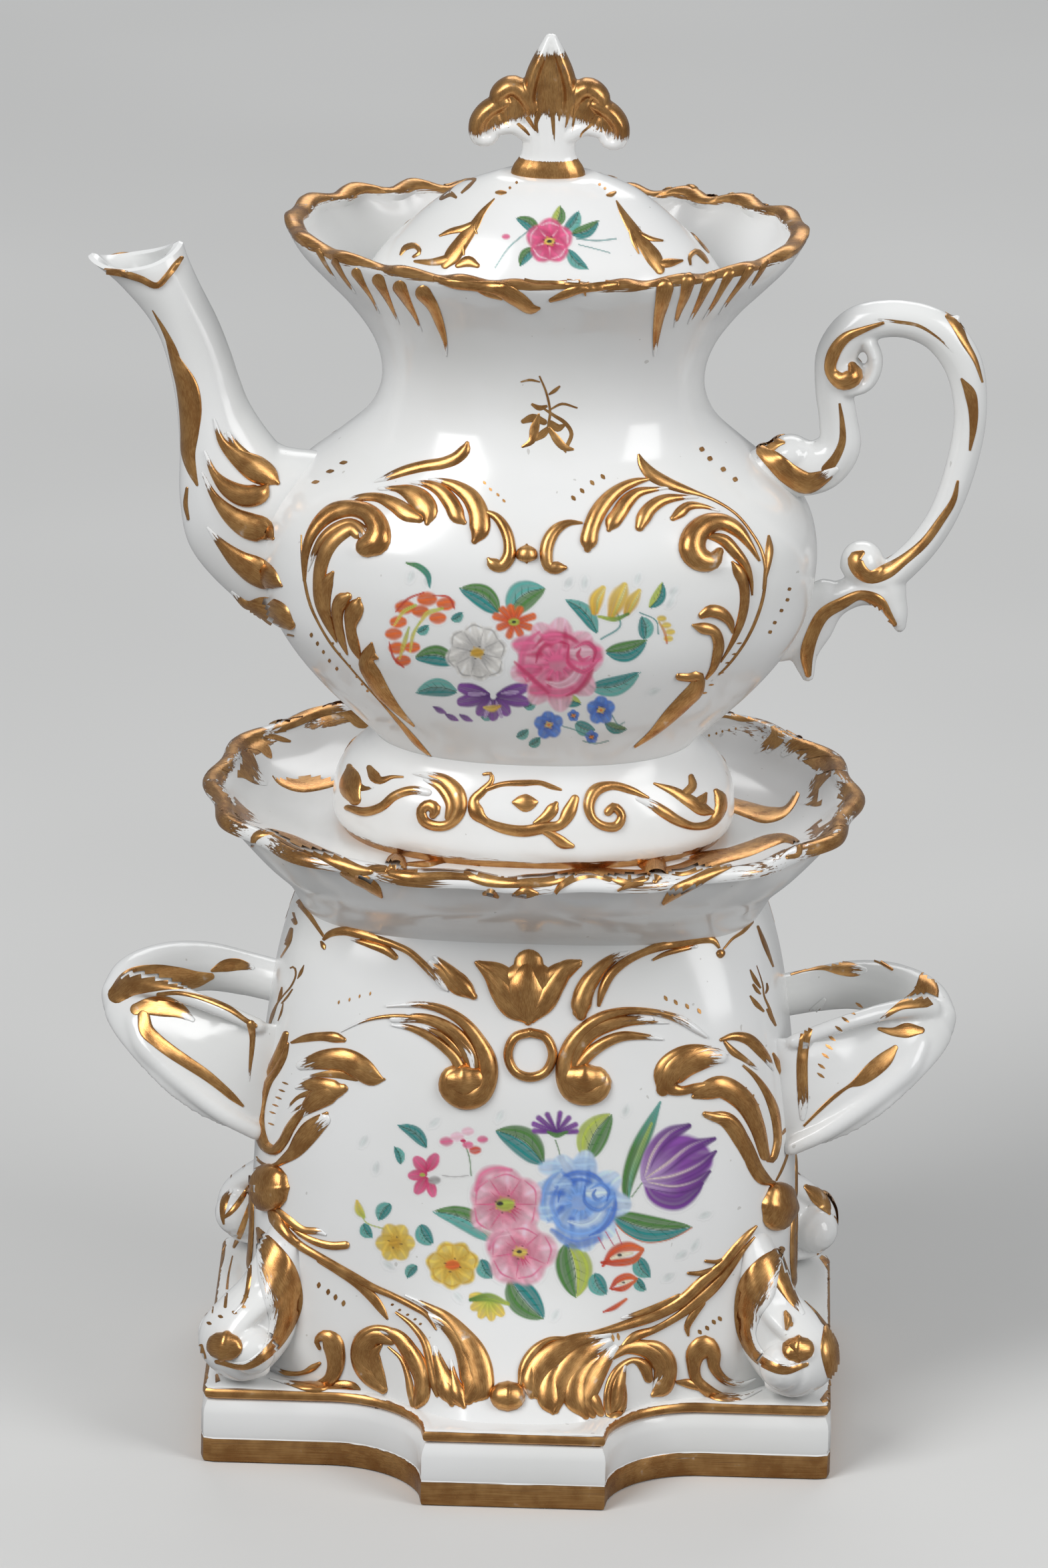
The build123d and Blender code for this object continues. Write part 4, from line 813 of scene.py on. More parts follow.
     (1012, 1970, 5.9), (1040, 1949, 8.3), (1065, 1928, 8.3), (1090, 1900, 5.9), (1111, 1871, 3.9),
     (1129, 1850, 1.6)]),
    "right_diagonal_under_hook": (0.6, "", [(1030, 1998, 1.6), (1028, 1985, 4.7), (1037, 1967, 5.9),
     (1051, 1949, 4.7)]),
    "right_fan_a": (1.3, "a", [(816, 2019, 2.4), (800, 2040, 9.5), (793, 2069, 14.2), (795, 2087, 5.5)]),
    "right_fan_b": (1.5, "a", [(846, 2033, 2.4), (827, 2053, 11.9), (821, 2079, 19), (824, 2104, 13.4),
     (827, 2114, 2.4)]),
    "right_fan_c": (1.5, "a", [(906, 2024, 2.4), (881, 2041, 10.3), (862, 2067, 19), (862, 2093, 19),
     (876, 2117, 5.5)]),
    "right_fan_d": (1, "", [(878, 2076, 6.4), (887, 2095, 11.9), (898, 2112, 6.4)]),
    "right_ear": (1.5, "", [(938, 2019, 2), (959, 2011, 5.5), (984, 2015, 9.5), (999, 2034, 11.9),
     (999, 2058, 13.4), (989, 2076, 14.2), (977, 2086, 3.9)]),
    "right_ear_inner": (1, "", [(931, 2072, 5.5), (930, 2093, 8), (924, 2110, 9.5), (912, 2114, 6.4),
     (908, 2093, 5.5), (913, 2066, 5.5), (927, 2045, 5.5), (948, 2034, 4.7), (964, 2043, 9.5),
     (970, 2061, 7.2)]),
    "right_small_scroll": (1.4, "ab", [(1130, 2062, 1.2), (1111, 2070, 3.9), (1086, 2065, 6.4),
     (1069, 2045, 8.7), (1066, 2023, 12.7), (1056, 2014, 17.4), (1042, 2023, 15.8), (1038, 2044, 10.3),
     (1042, 2063, 8.7), (1058, 2079, 9.1), (1079, 2089, 7.2), (1111, 2089, 4.4), (1139, 2079, 1.2)]),
    "right_small_scroll_foot": (0.7, "", [(1014, 2067, 3.1), (1030, 2069, 7.2), (1047, 2076, 4.7)]),
    "right_end_leaf_a": (0.4, "", [(1206, 1775, 3.9), (1221, 1787, 11.1), (1235, 1804, 8.7),
     (1241, 1815, 2.4)]),
    "right_end_leaf_b": (0.2, "", [(1224, 1876, 2), (1238, 1889, 5.5), (1249, 1917, 3.1),
     (1250, 1938, 3.1)]),
    "right_low_dots": ("dots", 3, 8, 55, [(1047, 1992), (1058, 1986), (1068, 1977), (1077, 1972)]),
    "right_fan_dots": ("dots", 2.4, 11, 80, [(893, 2009), (903, 2006), (917, 2001), (925, 1999)]),
    "right_corner_dots": ("dots", 4, 9, 60, [(1176, 1966), (1183, 1980)]),
    "left_volute_dome": (3, "o", [(679, 1616, 18.8), (693, 1616, 25.4), (709, 1614, 20.1)]),
    "right_volute_dome": (3, "o", [(858, 1612, 20.1), (874, 1614, 25.4), (892, 1613, 18.8)]),
    "left_console_blade": (0.8, "p", [(386, 1838, 3.3), (399, 1866, 17.4), (415, 1906, 29.5),
     (425, 1949, 28.1), (419, 1988, 17.4), (401, 2020, 10), (368, 2042, 6.7), (325, 2036, 4)]),
    "left_console_rim": (0.5, "", [(301, 2013, 3.3), (300, 2028, 8.7), (304, 2050, 6), (309, 2060, 2.7)]),
    "left_console_shade": (0.2, "b", [(374, 1872, 2), (373, 1909, 3.3), (365, 1946, 2.7),
     (350, 1964, 1.3)]),
    "left_console_eye": (2.6, "o", [(332, 2012, 20.1), (338, 2013, 23.4), (343, 2014, 20.1)]),
    "right_console_blade": (0.8, "m", [(1169, 1869, 5.4), (1151, 1892, 18.8), (1131, 1929, 28.1),
     (1118, 1966, 20.1), (1118, 1999, 13.4), (1138, 2031, 10), (1174, 2047, 8.7), (1206, 2040, 4)]),
    "right_console_fan": (0.3, "b", [(1162, 1876, 9.4), (1169, 1909, 13.4), (1182, 1936, 9.4),
     (1201, 1963, 3.3)]),
    "right_console_eye": (2.4, "o", [(1188, 2018, 18.1), (1194, 2018, 21.4), (1199, 2018, 18.1)]),
    "right_console_rim": (1, "", [(1237, 1986, 5.4), (1241, 2016, 13.4), (1244, 2046, 10.7),
     (1244, 2070, 3.3)]),
    "right_console_knob": (1.2, "", [(1175, 1963, 2.7), (1179, 1975, 6), (1177, 1987, 2.7)]),
}

TEAPOT_GILDING = {
    "left_shoulder_stroke": (0.9, "a", [(560, 721, 1.2), (579, 714, 5.1), (606, 704, 7.6), (634, 697, 8.4),
     (665, 692, 8.9), (684, 684, 9.3), (697, 670, 7.6), (699, 663, 3.4)]),
    "left_leaf_a": (0.9, "a", [(516, 749, 1.7), (541, 744, 5.5), (565, 744, 7.2), (589, 754, 11),
     (610, 768, 12.7), (627, 775, 7.6)]),
    "left_leaf_b": (1.2, "a", [(568, 731, 2.6), (593, 731, 5.1), (613, 737, 12.7), (631, 751, 17.8),
     (641, 768, 14.4), (639, 782, 4.3)]),
    "left_leaf_c": (1, "a", [(615, 722, 1.7), (634, 723, 5.1), (658, 733, 9.8), (676, 754, 12.3),
     (686, 774, 11), (694, 781, 4.3)]),
    "left_leaf_d": (1.2, "a", [(643, 717, 2.1), (662, 720, 5.1), (683, 728, 9.3), (704, 744, 13.5),
     (716, 768, 15.2), (717, 795, 14.4), (710, 809, 5.1)]),
    "left_hook": (1.1, "", [(723, 764, 2.9), (742, 773, 6.3), (756, 792, 8.4), (762, 813, 8.9),
     (761, 833, 10.1), (749, 847, 9.3), (735, 841, 8.4), (731, 836, 2.9)]),
    "top_bead": (2, "o", [(788, 815, 2.1), (788, 819, 11), (788, 828, 16.1), (788, 838, 11.8),
     (788, 841, 2.1)]),
    "left_volute": (2.4, "", [(456, 868, 2.1), (457, 833, 5.1), (464, 806, 7.2), (479, 782, 10.1),
     (502, 765, 12.7), (530, 761, 12.3), (554, 770, 15.2), (566, 791, 17.8), (562, 810, 21.1),
     (550, 817, 17)]),
    "left_volute_flute": (1.2, "ab", [(461, 854, 1.2), (471, 826, 4.3), (485, 803, 6.3), (506, 787, 6.7),
     (527, 782, 6.7), (544, 796, 9.3), (551, 810, 11)]),
    "left_stalk_a": (1.1, "", [(504, 960, 1.2), (489, 925, 7.6), (480, 898, 9.3), (478, 869, 9.3),
     (482, 841, 10.1), (492, 817, 11), (509, 799, 11), (526, 791, 10.1), (534, 798, 8.4)]),
    "left_stalk_b": (0.7, "", [(497, 937, 1.7), (491, 917, 4.3), (487, 893, 8.4), (490, 869, 9.3),
     (498, 856, 2.6)]),
    "left_outline": (0.5, "", [(451, 800, 0.9), (452, 833, 1.7), (456, 868, 2.1), (464, 903, 2.1),
     (478, 934, 1.7), (497, 965, 1.7), (520, 993, 1.2), (544, 1021, 1.2), (572, 1052, 1.2),
     (600, 1083, 3.4), (624, 1111, 4.6), (645, 1131, 1.2)]),
    "left_fork_a": (1.2, "", [(520, 979, 1.2), (511, 955, 6), (506, 931, 7.2), (506, 910, 10.1),
     (514, 896, 11.8), (520, 892, 6.7)]),
    "left_fork_b": (1.2, "", [(541, 989, 1.2), (531, 966, 7.6), (525, 938, 8.4), (529, 917, 13.5),
     (534, 903, 11), (537, 896, 3.4)]),
    "left_low_leaf": (1.2, "", [(620, 1086, 1.2), (593, 1059, 6), (572, 1034, 11), (558, 1010, 12.7),
     (548, 990, 11.5), (553, 974, 9.3), (556, 962, 2.1)]),
    "left_low_leaf_lobe": (0.8, "", [(564, 984, 2.6), (554, 981, 8.4), (544, 986, 3.4)]),
    "left_neck_dots": ("dots", 2.8, 12, 170, [(514, 692), (494, 705), (472, 721)]),
    "left_top_dots": ("dots", 2, 6, 50, [(725, 722), (734, 732), (745, 740), (754, 749)]),
    "left_side_dots": ("dots", 2.4, 6, 90, [(466, 950), (475, 963), (484, 975), (493, 988), (504, 1000)]),
    "left_inner_dots": ("dots", 2.2, 4, 60, [(498, 962), (508, 978), (523, 996), (534, 1012), (542, 1023),
     (550, 1033)]),
    "right_outline": (0.7, "", [(955, 679, 1.6), (960, 692, 6.2), (973, 708, 9.4), (998, 722, 8.5),
     (1024, 732, 6.2), (1046, 739, 3.2), (1072, 750, 2.3), (1101, 769, 2), (1123, 795, 2), (1139, 823, 2.3),
     (1145, 852, 2.3), (1142, 890, 2.3), (1130, 929, 2.3), (1114, 961, 2), (1088, 996, 1.6),
     (1075, 1009, 1.2)]),
    "right_leaf_a": (1.3, "", [(970, 717, 2.3), (950, 721, 6.2), (928, 731, 8.5), (909, 747, 11),
     (893, 769, 12.4), (884, 792, 12.4), (880, 814, 11.7), (879, 821, 5.5)]),
    "right_leaf_b": (1.1, "a", [(1005, 729, 1.6), (979, 732, 3.9), (954, 737, 7.8), (938, 750, 11),
     (925, 769, 11.7), (914, 785, 10.1), (911, 792, 3.9)]),
    "right_leaf_c": (1.2, "a", [(1043, 744, 1.6), (1018, 744, 4.6), (992, 748, 8.5), (973, 760, 10.5),
     (962, 776, 11), (957, 788, 7.1)]),
    "right_leaf_d": (0.9, "a", [(1075, 764, 1.6), (1050, 757, 3.9), (1030, 757, 7.1), (1018, 766, 8.5),
     (1007, 775, 4.6)]),
    "right_volute": (2.6, "", [(1136, 839, 1.6), (1120, 814, 5.5), (1101, 792, 10.1), (1078, 781, 12.4),
     (1056, 786, 17.2), (1039, 802, 19.5), (1036, 823, 20.3), (1048, 837, 17.9), (1066, 838, 14),
     (1075, 826, 7.1)]),
    "right_volute_flute": (1.4, "", [(1125, 890, 1.2), (1123, 869, 3.2), (1115, 846, 6.2), (1098, 824, 8.5),
     (1082, 808, 8.5), (1066, 803, 5.5), (1054, 803, 1.6)]),
    "right_hook": (1.2, "", [(870, 782, 2), (851, 782, 5.1), (832, 792, 8.5), (820, 811, 10.1),
     (817, 830, 9.8), (822, 848, 8.5), (835, 849, 9.4), (845, 849, 3.9)]),
    "right_spur": (0.6, "", [(1150, 802, 2), (1151, 821, 6.2), (1149, 840, 5.5), (1145, 862, 3.2),
     (1142, 881, 1.6)]),
    "right_stalk": (1, "", [(1096, 841, 2.3), (1104, 853, 8.5), (1112, 872, 7.8), (1114, 897, 7.1),
     (1109, 926, 6.2), (1098, 955, 3.9), (1088, 974, 2.3), (1078, 990, 1.2)]),
    "right_fork_a": (1.2, "", [(1050, 920, 5.5), (1062, 914, 9.4), (1078, 917, 10.1), (1091, 929, 7.1),
     (1096, 945, 2.3)]),
    "right_fork_b": (1.1, "", [(1037, 935, 2.3), (1050, 939, 8.5), (1068, 944, 8.5), (1075, 961, 8.5),
     (1072, 983, 7.1), (1066, 1000, 4.6), (1056, 1015, 1.6)]),
    "right_low_leaf": (1.1, "", [(1016, 1012, 5.5), (1030, 1013, 6.2), (1045, 1011, 7.8),
     (1042, 1028, 11.7), (1024, 1048, 11.7), (1002, 1070, 10.1), (976, 1096, 5.5), (949, 1117, 1.6)]),
    "right_top_dots": ("dots", 3, 9, 50, [(858, 745), (871, 734), (886, 722), (902, 713)]),
    "right_neck_dots": ("dots", 4, 8, 20, [(1050, 672), (1062, 686), (1082, 702), (1100, 717)]),
    "right_side_dots": ("dots", 2.8, 6, 150, [(1181, 881), (1178, 897), (1169, 913), (1159, 931),
     (1152, 945)]),
    "right_ticks": ("dots", 1.4, 8, 172, [(1106, 962), (1099, 978), (1089, 991), (1079, 1006), (1064, 1024),
     (1054, 1036)]),
    "neck_sprig_stem": (0, "", [(812, 610, 1.5), (830, 622, 2.5), (845, 632, 3), (855, 648, 3),
     (848, 668, 3)]),
    "neck_sprig_left": (0.2, "", [(806, 620, 2), (800, 640, 7), (795, 660, 5), (782, 668, 2)]),
    "neck_sprig_right": (0.2, "", [(822, 640, 2), (832, 656, 6), (846, 670, 5), (857, 672, 2)]),
    "neck_sprig_main": (0, "", [(807, 562, 1.2), (817, 586, 1.6), (823, 616, 1.8), (821, 643, 1.8),
     (835, 663, 1.4), (847, 677, 1.2)]),
    "neck_sprig_curl": (0, "", [(808, 571, 0.9), (793, 568, 1.9), (779, 571, 0.9)]),
    "neck_sprig_left_leaf": (0, "", [(783, 630, 3.5), (797, 625, 6.4), (814, 631, 4.7)]),
    "neck_sprig_right_leaf": (0, "", [(824, 633, 4.7), (835, 640, 5.9), (844, 636, 2.3)]),
    "neck_sprig_low_leaf": (0, "", [(802, 657, 2.9), (812, 649, 5.9), (821, 640, 3.5)]),
    "neck_sprig_high_leaf": (0, "", [(795, 604, 1.8), (807, 610, 4), (819, 607, 1.8)]),
    "neck_sprig_twig": (0, "", [(824, 612, 1.2), (840, 604, 1.9), (864, 610, 1.2)]),
    "neck_sprig_twig_b": (0, "", [(821, 590, 1.2), (830, 584, 2.8), (838, 577, 1.2)]),
}

FOOT_GILDING = {
    "left_wing": (0.7, "", [(523, 1147, 4.8), (525, 1160, 13.6), (525, 1181, 16.4), (531, 1195, 9.7)]),
    "left_wing_brush": (0.2, "b", [(530, 1174, 10.6), (545, 1179, 3.9), (559, 1178, 1.5)]),
    "left_flame": (0.5, "", [(553, 1149, 4.8), (561, 1162, 8.7), (568, 1167, 6.3), (587, 1162, 2.9),
     (604, 1162, 1.5)]),
    "left_wave": (0.9, "b", [(521, 1208, 4.8), (545, 1214, 6.8), (570, 1207, 6.8), (591, 1190, 6.8),
     (616, 1182, 6.8), (640, 1185, 5.8)]),
    "left_roll": (1.2, "a", [(618, 1157, 1.5), (641, 1160, 5.8), (666, 1169, 10.6), (684, 1190, 13.6),
     (686, 1214, 10.6), (671, 1233, 7.7), (650, 1235, 7.7), (634, 1227, 8.2), (631, 1211, 7.7),
     (642, 1204, 8.7), (651, 1211, 9.7), (648, 1219, 5.8)]),
    "left_roll_inner": (0.6, "a", [(635, 1166, 2), (658, 1177, 6.8), (674, 1203, 7.7), (671, 1222, 5.8)]),
    "eye_frame_low": (0.8, "", [(724, 1158, 2.4), (734, 1157, 2.9), (736, 1166, 3.9), (722, 1183, 6.3),
     (709, 1197, 7.7), (713, 1215, 11.6), (725, 1227, 6.8), (750, 1238, 7.7), (784, 1243, 8.7),
     (813, 1238, 8.7), (839, 1233, 7.7), (851, 1215, 10.6), (860, 1195, 6.8)]),
    "eye_frame_top": (0.6, "", [(726, 1181, 3.9), (750, 1173, 3.9), (784, 1171, 4.8), (809, 1171, 3.9),
     (826, 1177, 3.9), (839, 1181, 2)]),
    "eye_lash": (0.6, "", [(801, 1231, 3.9), (818, 1221, 8.7), (829, 1207, 8.2), (832, 1202, 3.9)]),
    "eye_tail": (0.7, "", [(809, 1240, 4.8), (826, 1249, 6.8), (843, 1261, 8.7), (856, 1265, 3.9)]),
    "eye": (0.9, "", [(766, 1200, 1.5), (776, 1200, 9.7), (787, 1201, 13.6), (799, 1200, 7.7),
     (805, 1199, 1.5)]),
    "right_roll": (1.2, "", [(969, 1193, 2.4), (944, 1182, 5.8), (914, 1175, 6.8), (890, 1183, 9.7),
     (881, 1203, 8.7), (886, 1223, 6.8), (902, 1235, 6.8), (923, 1235, 7.7), (930, 1219, 6.8),
     (918, 1207, 7.2), (910, 1214, 6.8)]),
    "right_wave": (0.9, "a", [(954, 1195, 2.9), (973, 1202, 6.8), (994, 1215, 8.7), (1015, 1228, 7.7),
     (1040, 1236, 5.8), (1065, 1230, 6.8), (1078, 1207, 8.7), (1076, 1190, 8.2), (1071, 1183, 3.9)]),
    "right_leaf": (0.6, "", [(979, 1172, 2), (1007, 1183, 6.8), (1032, 1198, 9.7), (1053, 1211, 9.7),
     (1066, 1215, 3.9)]),
    "right_leaf_spike_a": (0.5, "", [(1034, 1162, 4.4), (1036, 1175, 6.8), (1023, 1188, 5.8)]),
    "right_leaf_spike_b": (0.5, "", [(1056, 1187, 2.4), (1049, 1198, 8.7), (1040, 1207, 6.8)]),
}

DISH_GILDING = {
    "rim_left_roll": (0.8, "", [(378, 1264, 2.8), (381, 1253, 5.6), (392, 1246, 5.6), (403, 1244, 4.5),
     (417, 1248, 5), (437, 1256, 6.7), (462, 1268, 7.8), (487, 1280, 8.7), (512, 1292, 10.1),
     (535, 1302, 9.5), (554, 1303, 5)]),
    "rim_left_leaf": (0.8, "", [(512, 1306, 3.4), (532, 1313, 8.4), (549, 1320, 9.5), (563, 1331, 7.8),
     (571, 1341, 2.2)]),
    "inside_left_plume_a": (0, "b", [(308, 1141, 2.2), (336, 1130, 4.5), (356, 1131, 3.4)]),
    "inside_left_plume_b": (0, "", [(325, 1124, 2.8), (353, 1114, 6.7), (375, 1111, 8.4), (392, 1116, 8.4),
     (403, 1130, 4.5), (406, 1134, 1.4)]),
    "inside_left_plume_c": (0, "", [(361, 1103, 2.8), (386, 1100, 2.8), (409, 1102, 3.9), (426, 1107, 3.4),
     (435, 1109, 1.4)]),
    "inside_left_plume_d": (0, "", [(392, 1097, 1.7), (406, 1095, 2.2), (428, 1093, 1.4)]),
    "inside_left_plume_e": (0, "a", [(420, 1085, 1.7), (442, 1074, 4.5), (465, 1067, 4.5),
     (487, 1065, 4.5)]),
    "inside_left_plume_f": (0, "", [(484, 1061, 2.2), (504, 1062, 5), (526, 1071, 8.4), (538, 1082, 7.3),
     (554, 1085, 3.9), (563, 1090, 1.4)]),
    "inside_left_drop": (0, "", [(328, 1146, 1.4), (335, 1149, 2.8), (342, 1153, 1.1)]),
    "rim_left_bead": (1.8, "o", [(577, 1303, 2.2), (584, 1293, 9.5), (591, 1292, 12.9), (601, 1293, 9.5),
     (606, 1300, 2.8)]),
    "rim_left_knot": (0.8, "", [(549, 1300, 2.8), (563, 1299, 4.5), (577, 1300, 3.9)]),
    "rim_middle_left": (0.8, "", [(585, 1306, 5), (610, 1309, 9), (638, 1309, 9.2), (666, 1308, 7.8),
     (700, 1310, 6.7)]),
    "rim_middle_left_top": (0.8, "", [(610, 1293, 2.2), (638, 1293, 4.5), (666, 1288, 2.8),
     (692, 1289, 3.4), (717, 1293, 2.8)]),
    "rim_front_shell": (0.8, "", [(700, 1308, 8), (728, 1316, 9.6), (760, 1320, 8), (788, 1318, 9.6),
     (820, 1316, 9.6), (848, 1309, 7.2), (868, 1302, 3.2)]),
    "rim_front_drop_a": (0.8, "", [(724, 1336, 2.4), (734, 1334, 5.6), (745, 1341, 2)]),
    "rim_front_drop_b": (0.8, "", [(768, 1338, 2.4), (786, 1334, 8.8), (804, 1336, 2.4)]),
    "rim_front_arch": (0.8, "", [(828, 1339, 1.6), (838, 1326, 4.8), (860, 1314, 4.8), (888, 1311, 2.4),
     (912, 1316, 3.2)]),
    "rim_right_wave": (0.8, "", [(860, 1304, 2.4), (884, 1302, 4), (908, 1306, 7.2), (940, 1314, 12.8),
     (964, 1310, 8.8)]),
    "rim_right_wave_foot": (0.8, "", [(924, 1332, 1.6), (940, 1325, 4), (960, 1322, 3.2)]),
    "rim_right_bead": (1.8, "o", [(956, 1280, 2.4), (966, 1285, 12), (977, 1294, 18.4), (982, 1308, 14.4),
     (980, 1318, 4)]),
    "rim_right_bead_leaf": (0.8, "a", [(954, 1291, 3.2), (964, 1296, 5.6), (976, 1300, 4.8)]),
    "rim_right_roll": (0.8, "", [(995, 1302, 4.8), (1020, 1301, 9.6), (1052, 1289, 11.6),
     (1084, 1281, 10.4), (1120, 1270, 10.8), (1152, 1258, 9.6), (1176, 1254, 6.4), (1196, 1265, 4.8),
     (1194, 1278, 4), (1178, 1282, 3.2)]),
    "rim_right_leaf": (0.8, "", [(993, 1350, 3.2), (1008, 1335, 8.8), (1036, 1320, 8.8), (1068, 1304, 7.2),
     (1092, 1296, 3.2)]),
    "rim_right_line": (0.6, "a", [(1020, 1282, 2.4), (1044, 1280, 4), (1080, 1274, 3.2), (1116, 1268, 2)]),
    "inside_right_plume_a": (0, "b", [(1148, 1074, 3.2), (1164, 1084, 8.8), (1164, 1100, 11.2),
     (1144, 1116, 5.6), (1130, 1126, 1.6)]),
    "inside_right_plume_b": (0, "", [(1156, 1078, 2.4), (1176, 1090, 6.4), (1192, 1103, 3.2)]),
    "inside_right_plume_c": (0, "b", [(1228, 1116, 3.2), (1208, 1110, 6.4), (1188, 1112, 8),
     (1172, 1123, 3.2)]),
    "inside_right_plume_d": (0, "b", [(1260, 1132, 2.4), (1236, 1125, 5.6), (1216, 1126, 7.2),
     (1198, 1136, 2.4)]),
    "inside_right_plume_e": (0, "b", [(1272, 1148, 3.2), (1252, 1144, 6.4), (1232, 1149, 4.8),
     (1222, 1158, 1.6)]),
    "inside_right_plume_f": (0, "a", [(1060, 1074, 2.4), (1084, 1068, 5.6), (1112, 1074, 5.6),
     (1128, 1078, 1.6)]),
    "inside_right_dots": ("dots", 1.6, 4, 90, [(1061, 1100), (1072, 1097), (1081, 1094), (1091, 1092),
     (1101, 1090)]),
    "inside_left_patch_a": (0, "ab", [(396, 1100, 2.7), (436, 1080, 9.3), (482, 1062, 9.3),
     (525, 1058, 4)]),
    "inside_left_patch_b": (0, "b", [(522, 1058, 8), (535, 1070, 6.6), (554, 1087, 2.7)]),
    "inside_left_patch_c": (0, "ab", [(316, 1143, 3.3), (343, 1120, 9.3), (376, 1108, 10.6),
     (406, 1123, 4)]),
    "inside_left_patch_d": (0, "b", [(302, 1173, 8), (323, 1186, 14.6), (356, 1212, 10.6),
     (389, 1229, 2.7)]),
    "inside_right_patch_a": (0, "b", [(1162, 1080, 10.6), (1165, 1103, 9.3), (1149, 1123, 3.3)]),
    "inside_right_patch_b": (0, "ab", [(1172, 1129, 3.3), (1199, 1110, 10.6), (1232, 1113, 9.3),
     (1258, 1129, 3.3)]),
    "inside_right_patch_c": (0, "ab", [(1225, 1156, 2.7), (1248, 1143, 8), (1268, 1149, 5.3)]),
    "inside_right_patch_d": (0, "b", [(1275, 1192, 8), (1258, 1219, 13.3), (1225, 1242, 11.9),
     (1199, 1252, 3.3)]),
}

LID_GILDING = {
    "left_leaf": (0.5, "", [(740, 297, 1.1), (722, 317, 4.3), (709, 338, 7.6), (691, 362, 10.8),
     (676, 384, 11.9), (666, 396, 6.5)]),
    "left_leaf_arm_a": (0.4, "", [(657, 353, 1.6), (674, 346, 4.3), (695, 341, 5.4), (712, 333, 4.3)]),
    "left_leaf_arm_b": (0.4, "", [(714, 350, 1.1), (710, 341, 3.2), (714, 330, 2.7)]),
    "left_leaf_arm_c": (0.4, "", [(694, 382, 1.6), (693, 368, 4.3), (698, 354, 4.3)]),
    "left_leaf_foot": (0.4, "", [(621, 391, 2.2), (647, 392, 5.4), (674, 387, 7.6)]),
    "left_curl": (0.4, "", [(599, 382, 1.6), (606, 371, 4.3), (622, 368, 4.3), (628, 377, 3.2),
     (619, 384, 2.2)]),
    "left_bud": (0.5, "", [(685, 397, 4.3), (701, 391, 8.6), (714, 397, 4.3)]),
    "right_leaf": (0.5, "", [(922, 300, 1.1), (932, 319, 4.9), (946, 341, 8.1), (963, 365, 9.7),
     (979, 387, 11.9), (987, 403, 7.6)]),
    "right_leaf_arm_a": (0.4, "", [(992, 360, 1.6), (973, 357, 3.8), (955, 349, 4.3)]),
    "right_leaf_arm_b": (0.4, "", [(956, 380, 1.1), (948, 362, 3.2), (941, 338, 2.7)]),
    "right_leaf_arm_c": (0.4, "", [(1020, 390, 2.2), (1003, 393, 6.5), (984, 395, 6.5)]),
    "right_curl": (0.4, "", [(1033, 397, 1.6), (1032, 384, 3.2), (1041, 376, 4.3), (1052, 384, 4.3),
     (1058, 392, 2.7)]),
    "left_dots": ("dots", 2.4, 4, 10, [(773, 273), (763, 281)]),
    "left_big_dot": (0.2, "", [(743, 288, 2.2), (749, 288, 3.8), (756, 288, 2.2)]),
    "right_dots": ("dots", 2.4, 4, 30, [(897, 276), (905, 282)]),
    "right_big_dot": (0.2, "", [(909, 292, 2.2), (914, 291, 3.8), (920, 288, 2.2)]),
    "left_far_leaf": (0, "", [(660, 297, 2.7), (674, 290, 4.3), (682, 295, 2.2)]),
    "left_far_sprig": (0, "", [(690, 289, 1.6), (701, 279, 2.7), (712, 268, 1.6)]),
    "right_far_sprig": (0, "", [(946, 270, 2.2), (963, 279, 3.8), (976, 287, 3.2), (987, 299, 1.6)]),
    "right_far_leaf": (0, "", [(1014, 314, 2.2), (1025, 327, 3.2), (1033, 341, 2.2)]),
}

